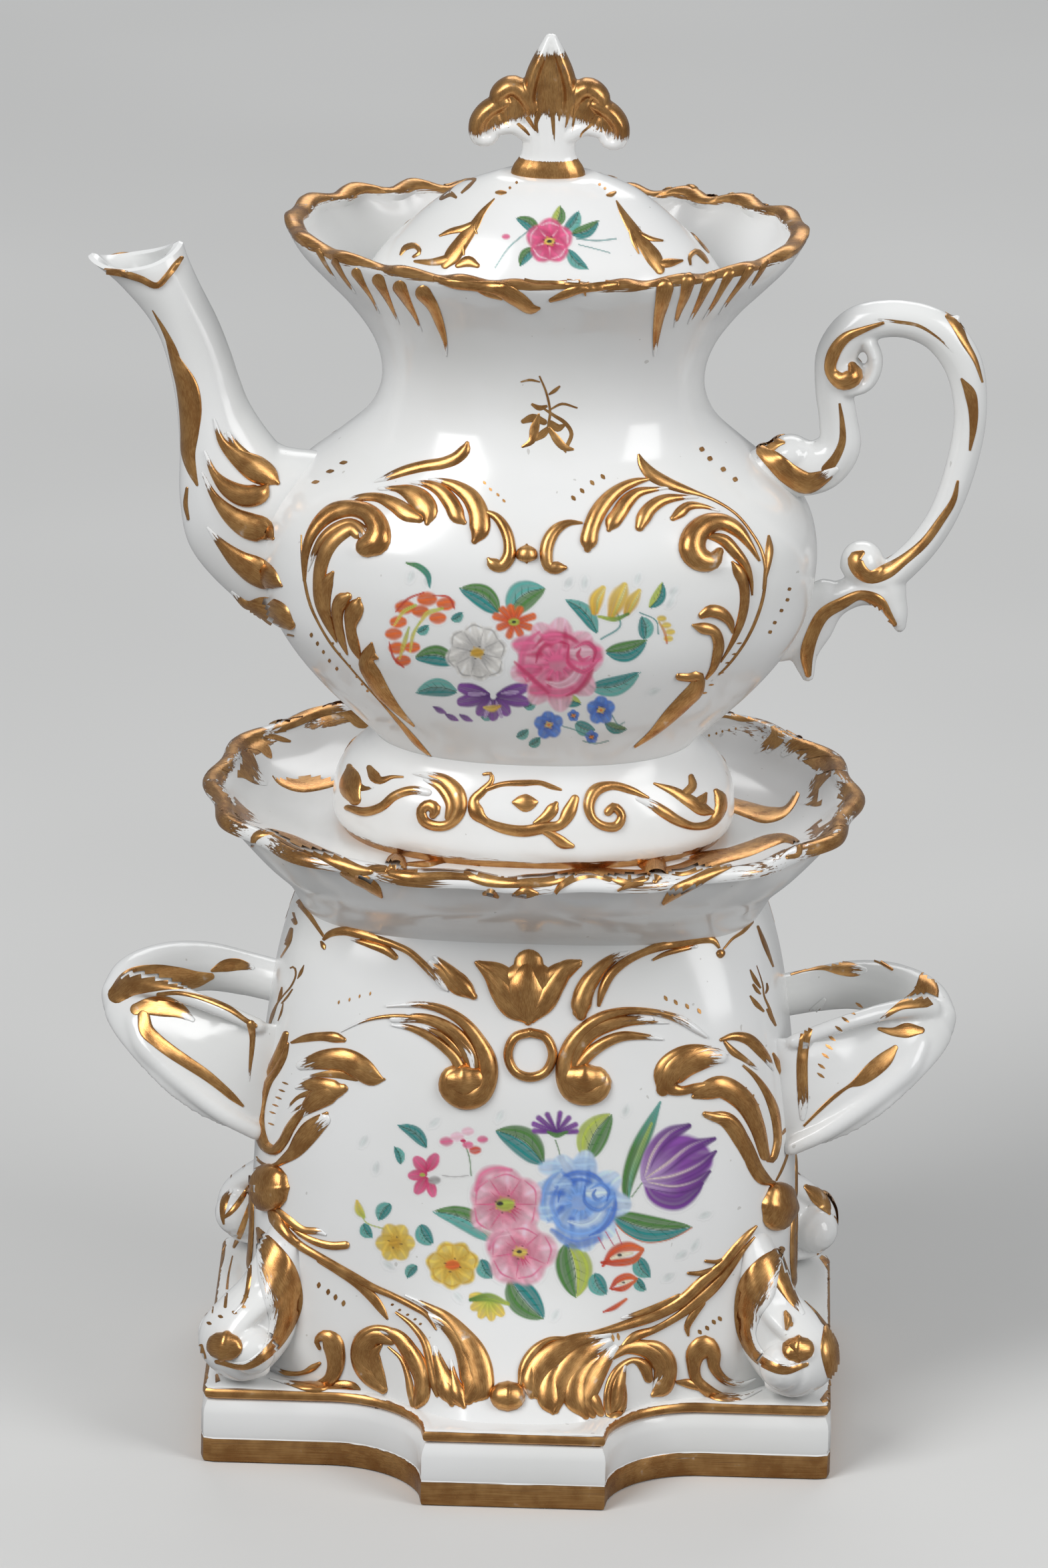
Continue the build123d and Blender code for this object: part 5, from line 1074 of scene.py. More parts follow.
NECK_GILDING = {
    "front_left_leaf": (0.6, "", [(652, 416, 4.3), (679, 425, 6.5), (712, 428, 7.6), (744, 431, 10.8),
     (774, 447, 11.9), (797, 462, 7.6), (806, 461, 2.7)]),
    "front_left_leaf_arm": (0.4, "", [(706, 427, 3.2), (728, 438, 5.4), (750, 447, 2.2)]),
    "front_right_leaf": (0.6, "", [(824, 449, 3.2), (844, 441, 6.5), (868, 432, 7), (901, 427, 7.6),
     (922, 425, 5.4)]),
    "front_right_leaf_arm": (0.4, "", [(847, 424, 2.2), (865, 423, 5.4), (884, 425, 5.4)]),
    "front_right_leaf_arm_b": (0.4, "", [(876, 442, 1.1), (874, 434, 3.2)]),
    "front_middle_band": (0.4, "ab", [(766, 411, 3.2), (798, 419, 4.3), (830, 420, 4.3), (863, 422, 3.2)]),
    "left_flute_a": (0.7, "b", [(633, 438, 11.9), (647, 457, 8.6), (658, 484, 6.5), (666, 511, 3.2),
     (668, 532, 1.1)]),
    "left_flute_b": (0.5, "b", [(598, 430, 10.8), (609, 451, 6.5), (621, 473, 3.2), (631, 495, 1.1)]),
    "left_flute_c": (0.4, "b", [(566, 419, 9.7), (577, 441, 5.4), (587, 462, 2.7), (597, 484, 1.1)]),
    "left_flute_d": (0.4, "b", [(533, 408, 7.6), (544, 427, 4.3), (556, 446, 2.2), (567, 468, 1.1)]),
    "left_flute_e": (0.3, "b", [(501, 392, 5.4), (514, 414, 3.2), (531, 438, 1.6)]),
    "left_flute_f": (0.3, "b", [(477, 376, 4.3), (487, 395, 2.7), (501, 416, 1.1)]),
    "right_flute_a": (0.7, "b", [(995, 430, 13), (991, 451, 10.8), (986, 473, 8.1), (982, 500, 5.4),
     (979, 532, 1.6)]),
    "right_flute_b": (0.6, "b", [(1030, 419, 10.8), (1025, 441, 7.6), (1017, 462, 4.9), (1009, 489, 1.6)]),
    "right_flute_c": (0.5, "b", [(1063, 414, 9.7), (1054, 435, 6.5), (1044, 457, 4.3), (1030, 484, 1.6)]),
    "right_flute_d": (0.4, "b", [(1092, 408, 8.1), (1081, 430, 4.9), (1068, 454, 3.2), (1052, 478, 1.1)]),
    "right_flute_e": (0.4, "b", [(1122, 403, 6.5), (1108, 424, 4.3), (1092, 446, 2.7), (1076, 470, 1.1)]),
    "right_flute_f": (0.3, "b", [(1146, 392, 4.3), (1135, 411, 3.2), (1122, 430, 1.6)]),
}

SPOUT_GILDING = {
    "lip": (0.8, "", [(142, 400, 2), (154, 404, 3.6), (182, 408, 4.8), (210, 417, 5.2), (235, 427, 4.8),
     (250, 413, 4.8), (264, 395, 4.8), (271, 386, 3.2)]),
    "throat_line": (0.3, "", [(228, 464, 0.8), (246, 495, 3.6), (262, 530, 5.6), (268, 546, 4)]),
    "side_blade": (0.9, "", [(250, 510, 1.6), (266, 546, 9.6), (280, 578, 16), (285, 610, 16.8),
     (284, 646, 13.6), (282, 678, 10.4), (288, 706, 6.4), (295, 725, 2)]),
    "lobe_a": (1.5, "a", [(320, 626, 1.6), (332, 660, 6.4), (356, 684, 13.6), (384, 702, 20),
     (406, 715, 13.6), (415, 722, 4)]),
    "lobe_a_shine": (0.6, "a", [(342, 648, 3.2), (354, 670, 8), (378, 690, 8), (402, 702, 3.2)]),
    "lobe_b": (1.7, "a", [(306, 674, 1.6), (322, 710, 6.4), (344, 732, 13.6), (370, 742, 16.8),
     (392, 736, 13.6), (399, 726, 4)]),
    "lobe_c": (1.7, "a", [(302, 706, 1.6), (322, 744, 6.4), (348, 772, 14.4), (374, 787, 20),
     (396, 794, 17.6), (408, 805, 3.2)]),
    "lobe_d": (1.7, "a", [(310, 788, 1.6), (332, 814, 7.2), (358, 838, 15.2), (384, 854, 20.8),
     (406, 868, 15.2), (421, 876, 2.4)]),
    "lobe_e": (1.6, "a", [(346, 884, 1.6), (370, 906, 8), (394, 908, 16), (416, 920, 19.2),
     (435, 935, 7.2)]),
    "low_edge": (0.3, "", [(322, 880, 1.2), (354, 910, 2), (386, 932, 2.8), (418, 946, 2.4),
     (440, 951, 1.2)]),
    "front_drop": (0.4, "", [(280, 730, 2), (278, 754, 3.2), (282, 776, 2)]),
    "shoulder_dots": ("dots", 2.4, 6, 100, [(466, 949), (475, 962)]),
}

HANDLE_GILDING = {
    "top_volute": (1, "", [(1321, 483, 2.4), (1292, 493, 4.9), (1264, 506, 8.2), (1247, 529, 9.8),
     (1243, 555, 9), (1260, 570, 13.1), (1279, 561, 13.1), (1275, 547, 6.5)]),
    "top_line": (0, "ab", [(1309, 477, 1.2), (1341, 481, 2.4), (1374, 487, 2.4), (1402, 504, 1.6),
     (1427, 527, 0.8)]),
    "stem_stroke": (0, "", [(1256, 603, 1.6), (1260, 632, 3.7), (1260, 661, 5.3), (1251, 683, 6.5),
     (1237, 702, 8.2)]),
    "root_leaf": (0.9, "a", [(1251, 702, 4.1), (1231, 714, 10.6), (1207, 722, 16.3), (1182, 710, 16.3),
     (1158, 689, 13.9), (1141, 675, 9.8)]),
    "root_knob": (0.5, "", [(1140, 675, 5), (1150, 668, 9), (1162, 662, 8), (1172, 662, 3)]),
    "outer_stroke": (0, "", [(1439, 567, 2), (1451, 587, 8.2), (1456, 612, 7.3), (1456, 640, 5.3),
     (1451, 674, 1.6)]),
    "low_stroke": (0.4, "", [(1433, 720, 2), (1427, 747, 4.5), (1407, 779, 6.1), (1382, 812, 6.9),
     (1351, 838, 8.2), (1325, 855, 11.4), (1302, 863, 9.8), (1286, 853, 11.4), (1280, 834, 10.6),
     (1290, 827, 4.1)]),
    "tail_leaf": (0.6, "", [(1338, 933, 4.1), (1325, 919, 9.8), (1313, 900, 10.6), (1288, 890, 7.3),
     (1260, 902, 9), (1232, 919, 9.8), (1216, 947, 9.8), (1207, 980, 9.8), (1209, 1008, 4.9)]),
    "knob_stroke": (0.2, "", [(1417, 473, 3.3), (1431, 487, 7.3), (1443, 511, 5.7), (1459, 539, 3.7),
     (1470, 572, 1.6)]),
}

FINIAL_GILDING = {
    "streak_1": (0, "b", [(822, 143, 4.3), (826, 166, 3.6), (828, 191, 2.5), (829, 216, 0.7)]),
    "streak_2": (0, "b", [(838, 152, 2.9), (837, 174, 1.8), (836, 186, 0.5)]),
    "streak_3": (0, "b", [(851, 152, 3.6), (849, 177, 2.1), (845, 197, 0.7)]),
    "streak_4": (0, "b", [(866, 145, 4.3), (860, 172, 2.5), (855, 200, 0.7)]),
    "streak_5": (0, "b", [(886, 145, 2.5), (876, 163, 2.1), (867, 184, 0.7)]),
    "streak_6": (0, "b", [(806, 170, 4.6), (802, 184, 2.9), (806, 202, 0.7)]),
    "streak_7": (0, "b", [(790, 177, 3.6), (797, 188, 2.5), (804, 200, 0.7)]),
    "streak_8": (0, "b", [(776, 186, 2.5), (786, 195, 2.5), (795, 206, 0.7)]),
    "streak_9": (0, "b", [(892, 174, 3.2), (883, 188, 2.1), (870, 200, 1.4), (866, 215, 0.5)]),
}


# Materials. Small effects are node groups that give out only colours and masks.
def mesh_value(tree, name, kind="Fac"):
    node = tree.nodes.new("ShaderNodeAttribute")
    node.attribute_name = name
    return node.outputs[kind]


def noise(tree, scale, detail=3.0, vector=None, roughness=0.55):
    node = tree.nodes.new("ShaderNodeTexNoise")
    node.inputs["Scale"].default_value = scale
    node.inputs["Detail"].default_value = detail
    node.inputs["Roughness"].default_value = roughness
    if vector is not None:
        tree.links.new(vector, node.inputs["Vector"])
    return node.outputs["Fac"]


def ranged(tree, value, low, high, to_low=0.0, to_high=1.0):
    node = tree.nodes.new("ShaderNodeMapRange")
    node.interpolation_type = "SMOOTHSTEP"
    for key, number in (("From Min", low), ("From Max", high), ("To Min", to_low), ("To Max", to_high)):
        node.inputs[key].default_value = number
    tree.links.new(value, node.inputs["Value"])
    return node.outputs["Result"]


def calc(tree, operation, first, second):
    node = tree.nodes.new("ShaderNodeMath")
    node.operation = operation
    for socket, value in zip(node.inputs, (first, second)):
        if isinstance(value, (int, float)):
            socket.default_value = value
        else:
            tree.links.new(value, socket)
    return node.outputs[0]


def mixed(tree, mask, first, second):
    node = tree.nodes.new("ShaderNodeMix")
    node.data_type = "RGBA"
    if isinstance(mask, (int, float)):
        node.inputs["Factor"].default_value = mask
    else:
        tree.links.new(mask, node.inputs["Factor"])
    for socket, value in ((node.inputs[6], first), (node.inputs[7], second)):
        if isinstance(value, tuple):
            socket.default_value = (*value, 1.0)
        else:
            tree.links.new(value, socket)
    return node.outputs[2]


def object_place(tree):
    return tree.nodes.new("ShaderNodeTexCoord").outputs["Object"]


def bumped(tree, surface, height, strength, distance):
    node = tree.nodes.new("ShaderNodeBump")
    node.inputs["Strength"].default_value = strength
    node.inputs["Distance"].default_value = distance
    tree.links.new(height, node.inputs["Height"])
    tree.links.new(node.outputs["Normal"], surface.inputs["Normal"])


def make_group(name, outputs, inputs=()):
    group = bpy.data.node_groups.new(name, "ShaderNodeTree")
    for label, kind in inputs:
        group.interface.new_socket(name=label, in_out="INPUT", socket_type=kind)
    for label, kind in outputs:
        group.interface.new_socket(name=label, in_out="OUTPUT", socket_type=kind)
    entry = group.nodes.new("NodeGroupInput")
    exit_node = group.nodes.new("NodeGroupOutput")
    return group, entry, exit_node


PORCELAIN = (0.790, 0.795, 0.790)
PORCELAIN_SHADE = (0.755, 0.760, 0.745)


def porcelain_group():
    """White glaze with a faint warm cloud in it and the odd dark speck."""
    group, _, out = make_group("glaze_white", [("Color", "NodeSocketColor"), ("Roughness",
                                                                              "NodeSocketFloat")])
    place = object_place(group)
    cloud = ranged(group, noise(group, 26.0, 3.0, place), 0.35, 0.75)
    white = mixed(group, cloud, PORCELAIN, PORCELAIN_SHADE)
    speck = ranged(group, noise(group, 620.0, 0.0, place), 0.86, 0.88)
    white = mixed(group, calc(group, "MULTIPLY", speck, 0.35), white, (0.25, 0.22, 0.18))
    group.links.new(white, out.inputs["Color"])
    group.links.new(ranged(group, noise(group, 60.0, 2.0, place), 0.3, 0.7, 0.13, 0.2),
                    out.inputs["Roughness"])
    return group


def gold_group():
    """Burnished gold laid with a brush: streaks along the stroke, thin brown edges, rubbed spots.
    Gild in is 1 where the gold is full and falls to 0 where the brush ran dry."""
    group, entry, out = make_group(
        "brushed_gold",
        [("Color", "NodeSocketColor"), ("Mask", "NodeSocketFloat"), ("Roughness", "NodeSocketFloat"),
         ("Height", "NodeSocketFloat")],
        [("Gild", "NodeSocketFloat"), ("Run", "NodeSocketVector")],
    )
    stretch = group.nodes.new("ShaderNodeMapping")
    stretch.inputs["Scale"].default_value = (0.12, 1.0, 1.0)
    group.links.new(entry.outputs["Run"], stretch.inputs["Vector"])
    streak = noise(group, 2.6, 3.0, stretch.outputs["Vector"], 0.65)
    fine = noise(group, 7.0, 2.0, stretch.outputs["Vector"], 0.6)
    place = object_place(group)
    patch = noise(group, 190.0, 3.0, place)
    uneven = calc(group, "MULTIPLY", calc(group, "SUBTRACT", streak, 0.5), 1.5)
    level = calc(group, "ADD", entry.outputs["Gild"], uneven)
    mask = ranged(group, level, 0.42, 0.56)
    rubbed = calc(group, "SUBTRACT", 1.0, calc(group, "MULTIPLY", ranged(group, patch, 0.66, 0.78), 0.5))
    mask = calc(group, "MULTIPLY", mask, rubbed)
    tone = calc(group, "ADD", calc(group, "MULTIPLY", fine, 0.5), calc(group, "MULTIPLY", patch, 0.5))
    colour = mixed(group, ranged(group, tone, 0.36, 0.66), (0.40, 0.185, 0.060), (0.64, 0.36, 0.135))
    thin = ranged(group, level, 0.45, 0.8)
    colour = mixed(group, thin, (0.30, 0.17, 0.09), colour)
    group.links.new(colour, out.inputs["Color"])
    group.links.new(mask, out.inputs["Mask"])
    group.links.new(ranged(group, patch, 0.3, 0.7, 0.24, 0.36), out.inputs["Roughness"])
    group.links.new(calc(group, "ADD", streak, fine), out.inputs["Height"])
    return group


GLAZE = porcelain_group()
GOLD = gold_group()


def new_material(name):
    material = bpy.data.materials.new(name)
    material.use_nodes = True
    tree = material.node_tree
    surface = tree.nodes["Principled BSDF"]
    return material, tree, surface


def group_node(tree, group):
    node = tree.nodes.new("ShaderNodeGroup")
    node.node_tree = group
    return node


def glazed_porcelain():
    material, tree, surface = new_material("glazed_porcelain")
    white = group_node(tree, GLAZE)
    tree.links.new(white.outputs["Color"], surface.inputs["Base Color"])
    tree.links.new(white.outputs["Roughness"], surface.inputs["Roughness"])
    bumped(tree, surface, noise(tree, 85.0, 2.0, object_place(tree)), 0.04, 0.001)
    surface.inputs["Specular IOR Level"].default_value = 0.5
    return material


def gilded_porcelain():
    """Glaze with gold where the mesh's gild value says so; run carries the brush's direction."""
    material, tree, surface = new_material("gilded_porcelain")
    white = group_node(tree, GLAZE)
    gold = group_node(tree, GOLD)
    tree.links.new(mesh_value(tree, "gild"), gold.inputs["Gild"])
    tree.links.new(mesh_value(tree, "run", "Vector"), gold.inputs["Run"])
    mask = gold.outputs["Mask"]
    tree.links.new(mixed(tree, mask, white.outputs["Color"], gold.outputs["Color"]),
                   surface.inputs["Base Color"])
    tree.links.new(calc(tree, "MULTIPLY", mask, 0.93), surface.inputs["Metallic"])
    rough = tree.nodes.new("ShaderNodeMix")
    tree.links.new(mask, rough.inputs["Factor"])
    tree.links.new(white.outputs["Roughness"], rough.inputs[2])
    tree.links.new(gold.outputs["Roughness"], rough.inputs[3])
    tree.links.new(rough.outputs[0], surface.inputs["Roughness"])
    bumped(tree, surface, calc(tree, "MULTIPLY", gold.outputs["Height"], mask), 0.06, 0.0005)
    return material


def enamel_painting():
    """Enamel colours in the glaze. The film carries the colour, and cover is 0 where it is bare."""
    material, tree, surface = new_material("enamel_painting")
    white = group_node(tree, GLAZE)
    mask = ranged(tree, mesh_value(tree, "cover"), 0.0, 0.5)
    wash = noise(tree, 420.0, 2.0, object_place(tree))
    tint = mesh_value(tree, "tint", "Color")
    deeper = mixed(tree, ranged(tree, wash, 0.35, 0.75, 0.0, 0.12), tint, (0.10, 0.09, 0.10))
    tree.links.new(mixed(tree, mask, white.outputs["Color"], deeper), surface.inputs["Base Color"])
    tree.links.new(white.outputs["Roughness"], surface.inputs["Roughness"])
    return material


def tinned_brass():
    material, tree, surface = new_material("tinned_brass")
    place = object_place(tree)
    worn = ranged(tree, noise(tree, 240.0, 3.0, place), 0.4, 0.7)
    tree.links.new(mixed(tree, worn, (0.50, 0.40, 0.22), (0.62, 0.58, 0.50)), surface.inputs["Base Color"])
    tree.links.new(ranged(tree, noise(tree, 300.0, 2.0, place), 0.3, 0.7, 0.3, 0.48),
                   surface.inputs["Roughness"])
    surface.inputs["Metallic"].default_value = 0.95
    return material


def cotton_wick():
    material, tree, surface = new_material("cotton_wick")
    place = object_place(tree)
    weave = tree.nodes.new("ShaderNodeTexWave")
    weave.inputs["Scale"].default_value = 900.0
    weave.inputs["Distortion"].default_value = 4.0
    tree.links.new(place, weave.inputs["Vector"])
    threads = mixed(tree, weave.outputs["Fac"], (0.46, 0.42, 0.34), (0.72, 0.68, 0.58))
    tree.links.new(threads, surface.inputs["Base Color"])
    bumped(tree, surface, weave.outputs["Fac"], 0.5, 0.0004)
    surface.inputs["Roughness"].default_value = 0.9
    return material


PORCELAIN_FINISH = glazed_porcelain()
GILDED_FINISH = gilded_porcelain()
ENAMEL_FINISH = enamel_painting()


def finished(made, material, body, slot, *nodes):
    made.data.materials.clear()
    made.data.materials.append(material)
    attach(made, body)
    if nodes:
        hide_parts(*nodes)
    return made


# The surface that strokes are laid on
class Ground:
    """Meshes that a line of sight can be followed to, with smoothed directions off the surface."""

    def __init__(self, *made):
        points = []
        normals = []
        faces = []
        for piece in made:
            mesh = piece.data
            mesh.calc_loop_triangles()
            start = len(points)
            points.extend([v.co / MM for v in mesh.vertices])
            normals.extend([v.normal.copy() for v in mesh.vertices])
            faces.extend([tuple(start + i for i in t.vertices) for t in mesh.loop_triangles])
        self.points = points
        self.normals = normals
        self.faces = faces
        self.tree = BVHTree.FromPolygons(points, faces, all_triangles=True)

    def meet(self, origin, direction):
        spot, normal, index, _ = self.tree.ray_cast(origin, direction)
        if spot is None or abs(normal.dot(direction)) < GRAZING:
            return None
        a, b, c = self.faces[index]
        pa, pb, pc = self.points[a], self.points[b], self.points[c]
        whole = (pb - pa).cross(pc - pa).length
        if whole > 1e-9:
            wa = (pb - spot).cross(pc - spot).length / whole
            wb = (pc - spot).cross(pa - spot).length / whole
            smooth = wa * self.normals[a] + wb * self.normals[b] + max(0.0, 1 - wa - wb) * self.normals[c]
            if smooth.length > 0.2 and smooth.dot(normal) > 0.5:
                normal = smooth.normalized()
        if normal.dot(direction) > 0:
            normal = -normal
        return spot, normal


# How far strokes and films stand off the glaze, and the strokes' cell sizes in photo pixels and millimetres
LIFT = 0.035
LAYER_LIFT = 0.012
FILM = 0.03
STROKE_STEP = 5.0
RUN_STEP = 6.5
LONGEST_EDGE = 4.2
LONGEST_END_EDGE = 7.0
DRY_SHARE = 0.34
GRAZING = 0.13


class Sheet:
    """Gathers strokes and makes one object of them."""

    def __init__(self, name, ground, ray=photo_ray, scale=1.0):
        self.name = name
        self.ground = ground
        self.ray = ray
        self.scale = scale
        self.points = []
        self.faces = []
        self.gild = []
        self.run = []
        self.layer = 0

    def lay(self, path, relief=0.0, ends="", cells=None):
        """One stroke. Its path has x, y and half breadth at each point, seen along the sheet's rays.
        Ends: a and b run dry at the start or the end, p and m on one side, and o is a bead."""
        path = np.asarray(path, float)
        if len(path) == 2:
            path = np.vstack([path[0], path.mean(0), path[1]])
        widest = path[:, 2].max()
        spacing = STROKE_STEP * self.scale
        length = np.linalg.norm(np.diff(path[:, :2], axis=0), axis=1).sum()
        spacing = min(spacing, max(length / 9.0, 0.3 * self.scale))
        rows = smooth_path(path, spacing)
        rows[:, 2] = np.maximum(rows[:, 2], 0.15 * self.scale)
        travel = np.gradient(rows[:, :2], axis=0)
        travel /= np.maximum(np.linalg.norm(travel, axis=1), 1e-9)[:, None]
        cap_rows = []
        for end in (0, -1):
            breadth = rows[end, 2]
            if breadth > 1.8 * self.scale:
                sign = -1 if end == 0 else 1
                caps = []
                for swing in (25, 50, 72, 88):
                    spot = rows[end, :2] + sign * travel[end] * breadth * sin(radians(swing))
                    caps.append(((spot[0], spot[1], breadth * cos(radians(swing))), travel[end]))
                cap_rows.append(caps[::-1] if end == 0 else caps)
            else:
                cap_rows.append([])
        heads, tails = cap_rows
        rows = np.array([c[0] for c in heads] + list(rows) + [c[0] for c in tails])
        travel = np.array([c[1] for c in heads] + list(travel) + [c[1] for c in tails])
        aside = np.column_stack([-travel[:, 1], travel[:, 0]])
        if cells is None:
            cells = int(np.clip(round(widest / self.scale / 1.6), 3, 10))
        share = np.sin(np.linspace(-pi / 2, pi / 2, cells + 1)) if relief else np.linspace(-1, 1, cells + 1)
        run = np.concatenate([[0.0], np.cumsum(np.linalg.norm(np.diff(rows[:, :2], axis=0), axis=1))])
        total = max(run[-1], 1e-6)
        start = len(self.points)
        hit = []
        lift = LIFT + LAYER_LIFT * (self.layer % 6)
        self.layer += 1
        offset = chance.uniform(0, 50)
        for i, (x, y, breadth) in enumerate(rows):
            along = run[i] / total
            full = min(1.0, breadth / max(widest, 1e-6))
            for v in share:
                met = self.ground.meet(*self.ray(x + aside[i, 0] * breadth * v, y + aside[i,
                                                                                          1] * breadth * v))
                rise = lift
                round_over = max(0.0, 1 - v * v)
                if relief:
                    body = round_over**0.5 if "o" in ends else round_over**0.6
                    rise += relief * body * (full if "o" in ends else full**0.7)
                gild = 1.0
                if "a" in ends:
                    gild = min(gild, along / DRY_SHARE + 0.1)
                if "b" in ends:
                    gild = min(gild, (1 - along) / DRY_SHARE + 0.1)
                if "p" in ends:
                    gild = min(gild, (1.15 - v) / 1.1)
                if "m" in ends:
                    gild = min(gild, (1.15 + v) / 1.1)
                if met is None:
                    hit.append(False)
                    self.points.append((0.0, 0.0, 0.0))
                else:
                    hit.append(True)
                    spot, normal = met
                    self.points.append(tuple(spot + normal * rise))
                self.gild.append(min(1.0, gild))
                self.run.append((run[i] / self.scale / RUN_STEP + offset,
                                 breadth * v / self.scale / RUN_STEP, offset))
        across = cells + 1
        limit = LONGEST_EDGE if self.ray is photo_ray else LONGEST_END_EDGE
        for i in range(len(rows) - 1):
            for j in range(cells):
                corners = (i * across + j, i * across + j + 1, (i + 1) * across + j + 1, (i + 1) * across + j)
                if all(hit[c] for c in corners):
                    spots = [Vector(self.points[start + c]) for c in corners]
                    if max((spots[k] - spots[k - 1]).length for k in range(4)) < limit:
                        self.faces.append(tuple(start + c for c in corners))

    def dots(self, places, breadth, long, angle):
        """A row of small touches of the brush, all leaning the same way."""
        lean = radians(angle)
        for x, y in places:
            dx, dy = cos(lean) * long / 2, sin(lean) * long / 2
            self.lay([(x - dx, y - dy, breadth * 0.35), (x, y, breadth), (x + dx, y + dy, breadth * 0.3)],
                     cells=3)

    def table(self, strokes):
        for entry in strokes.values():
            if entry[0] == "dots":
                self.dots(entry[4], entry[1], entry[2], entry[3])
            else:
                self.lay(entry[2], entry[0], entry[1])

    def made(self, material, body, slot, mirror=None, keep=None):
        """The object. With mirror 'back' it also gets a copy of each face behind, if keep allows it."""
        points = np.array(self.points, float)
        faces = list(self.faces)
        gild, run = list(self.gild), list(self.run)
        if mirror is not None:
            count = len(points)
            flip = np.array([-1.0, 1.0, 1.0]) if mirror == "side" else np.array([1.0, -1.0, 1.0])
            copied = points * flip
            extra = []
            for face in self.faces:
                middle = copied[list(face)].mean(0)
                if keep is None or keep(middle):
                    extra.append(tuple(count + i for i in reversed(face)))
            points = np.vstack([points, copied])
            faces += extra
            gild, run = gild * 2, run * 2
        used = sorted({i for f in faces for i in f})
        index = {old: new for new, old in enumerate(used)}
        made = new_object(self.name, points[used], [tuple(index[i] for i in f) for f in faces], sharp=60.0)
        mesh = made.data
        mesh.attributes.new("gild", "FLOAT", "POINT").data.foreach_set("value", [gild[i] for i in used])
        mesh.attributes.new("run", "FLOAT_VECTOR", "POINT").data.foreach_set(
            "vector", [c for i in used for c in run[i]])
        return finished(made, material, body, slot)


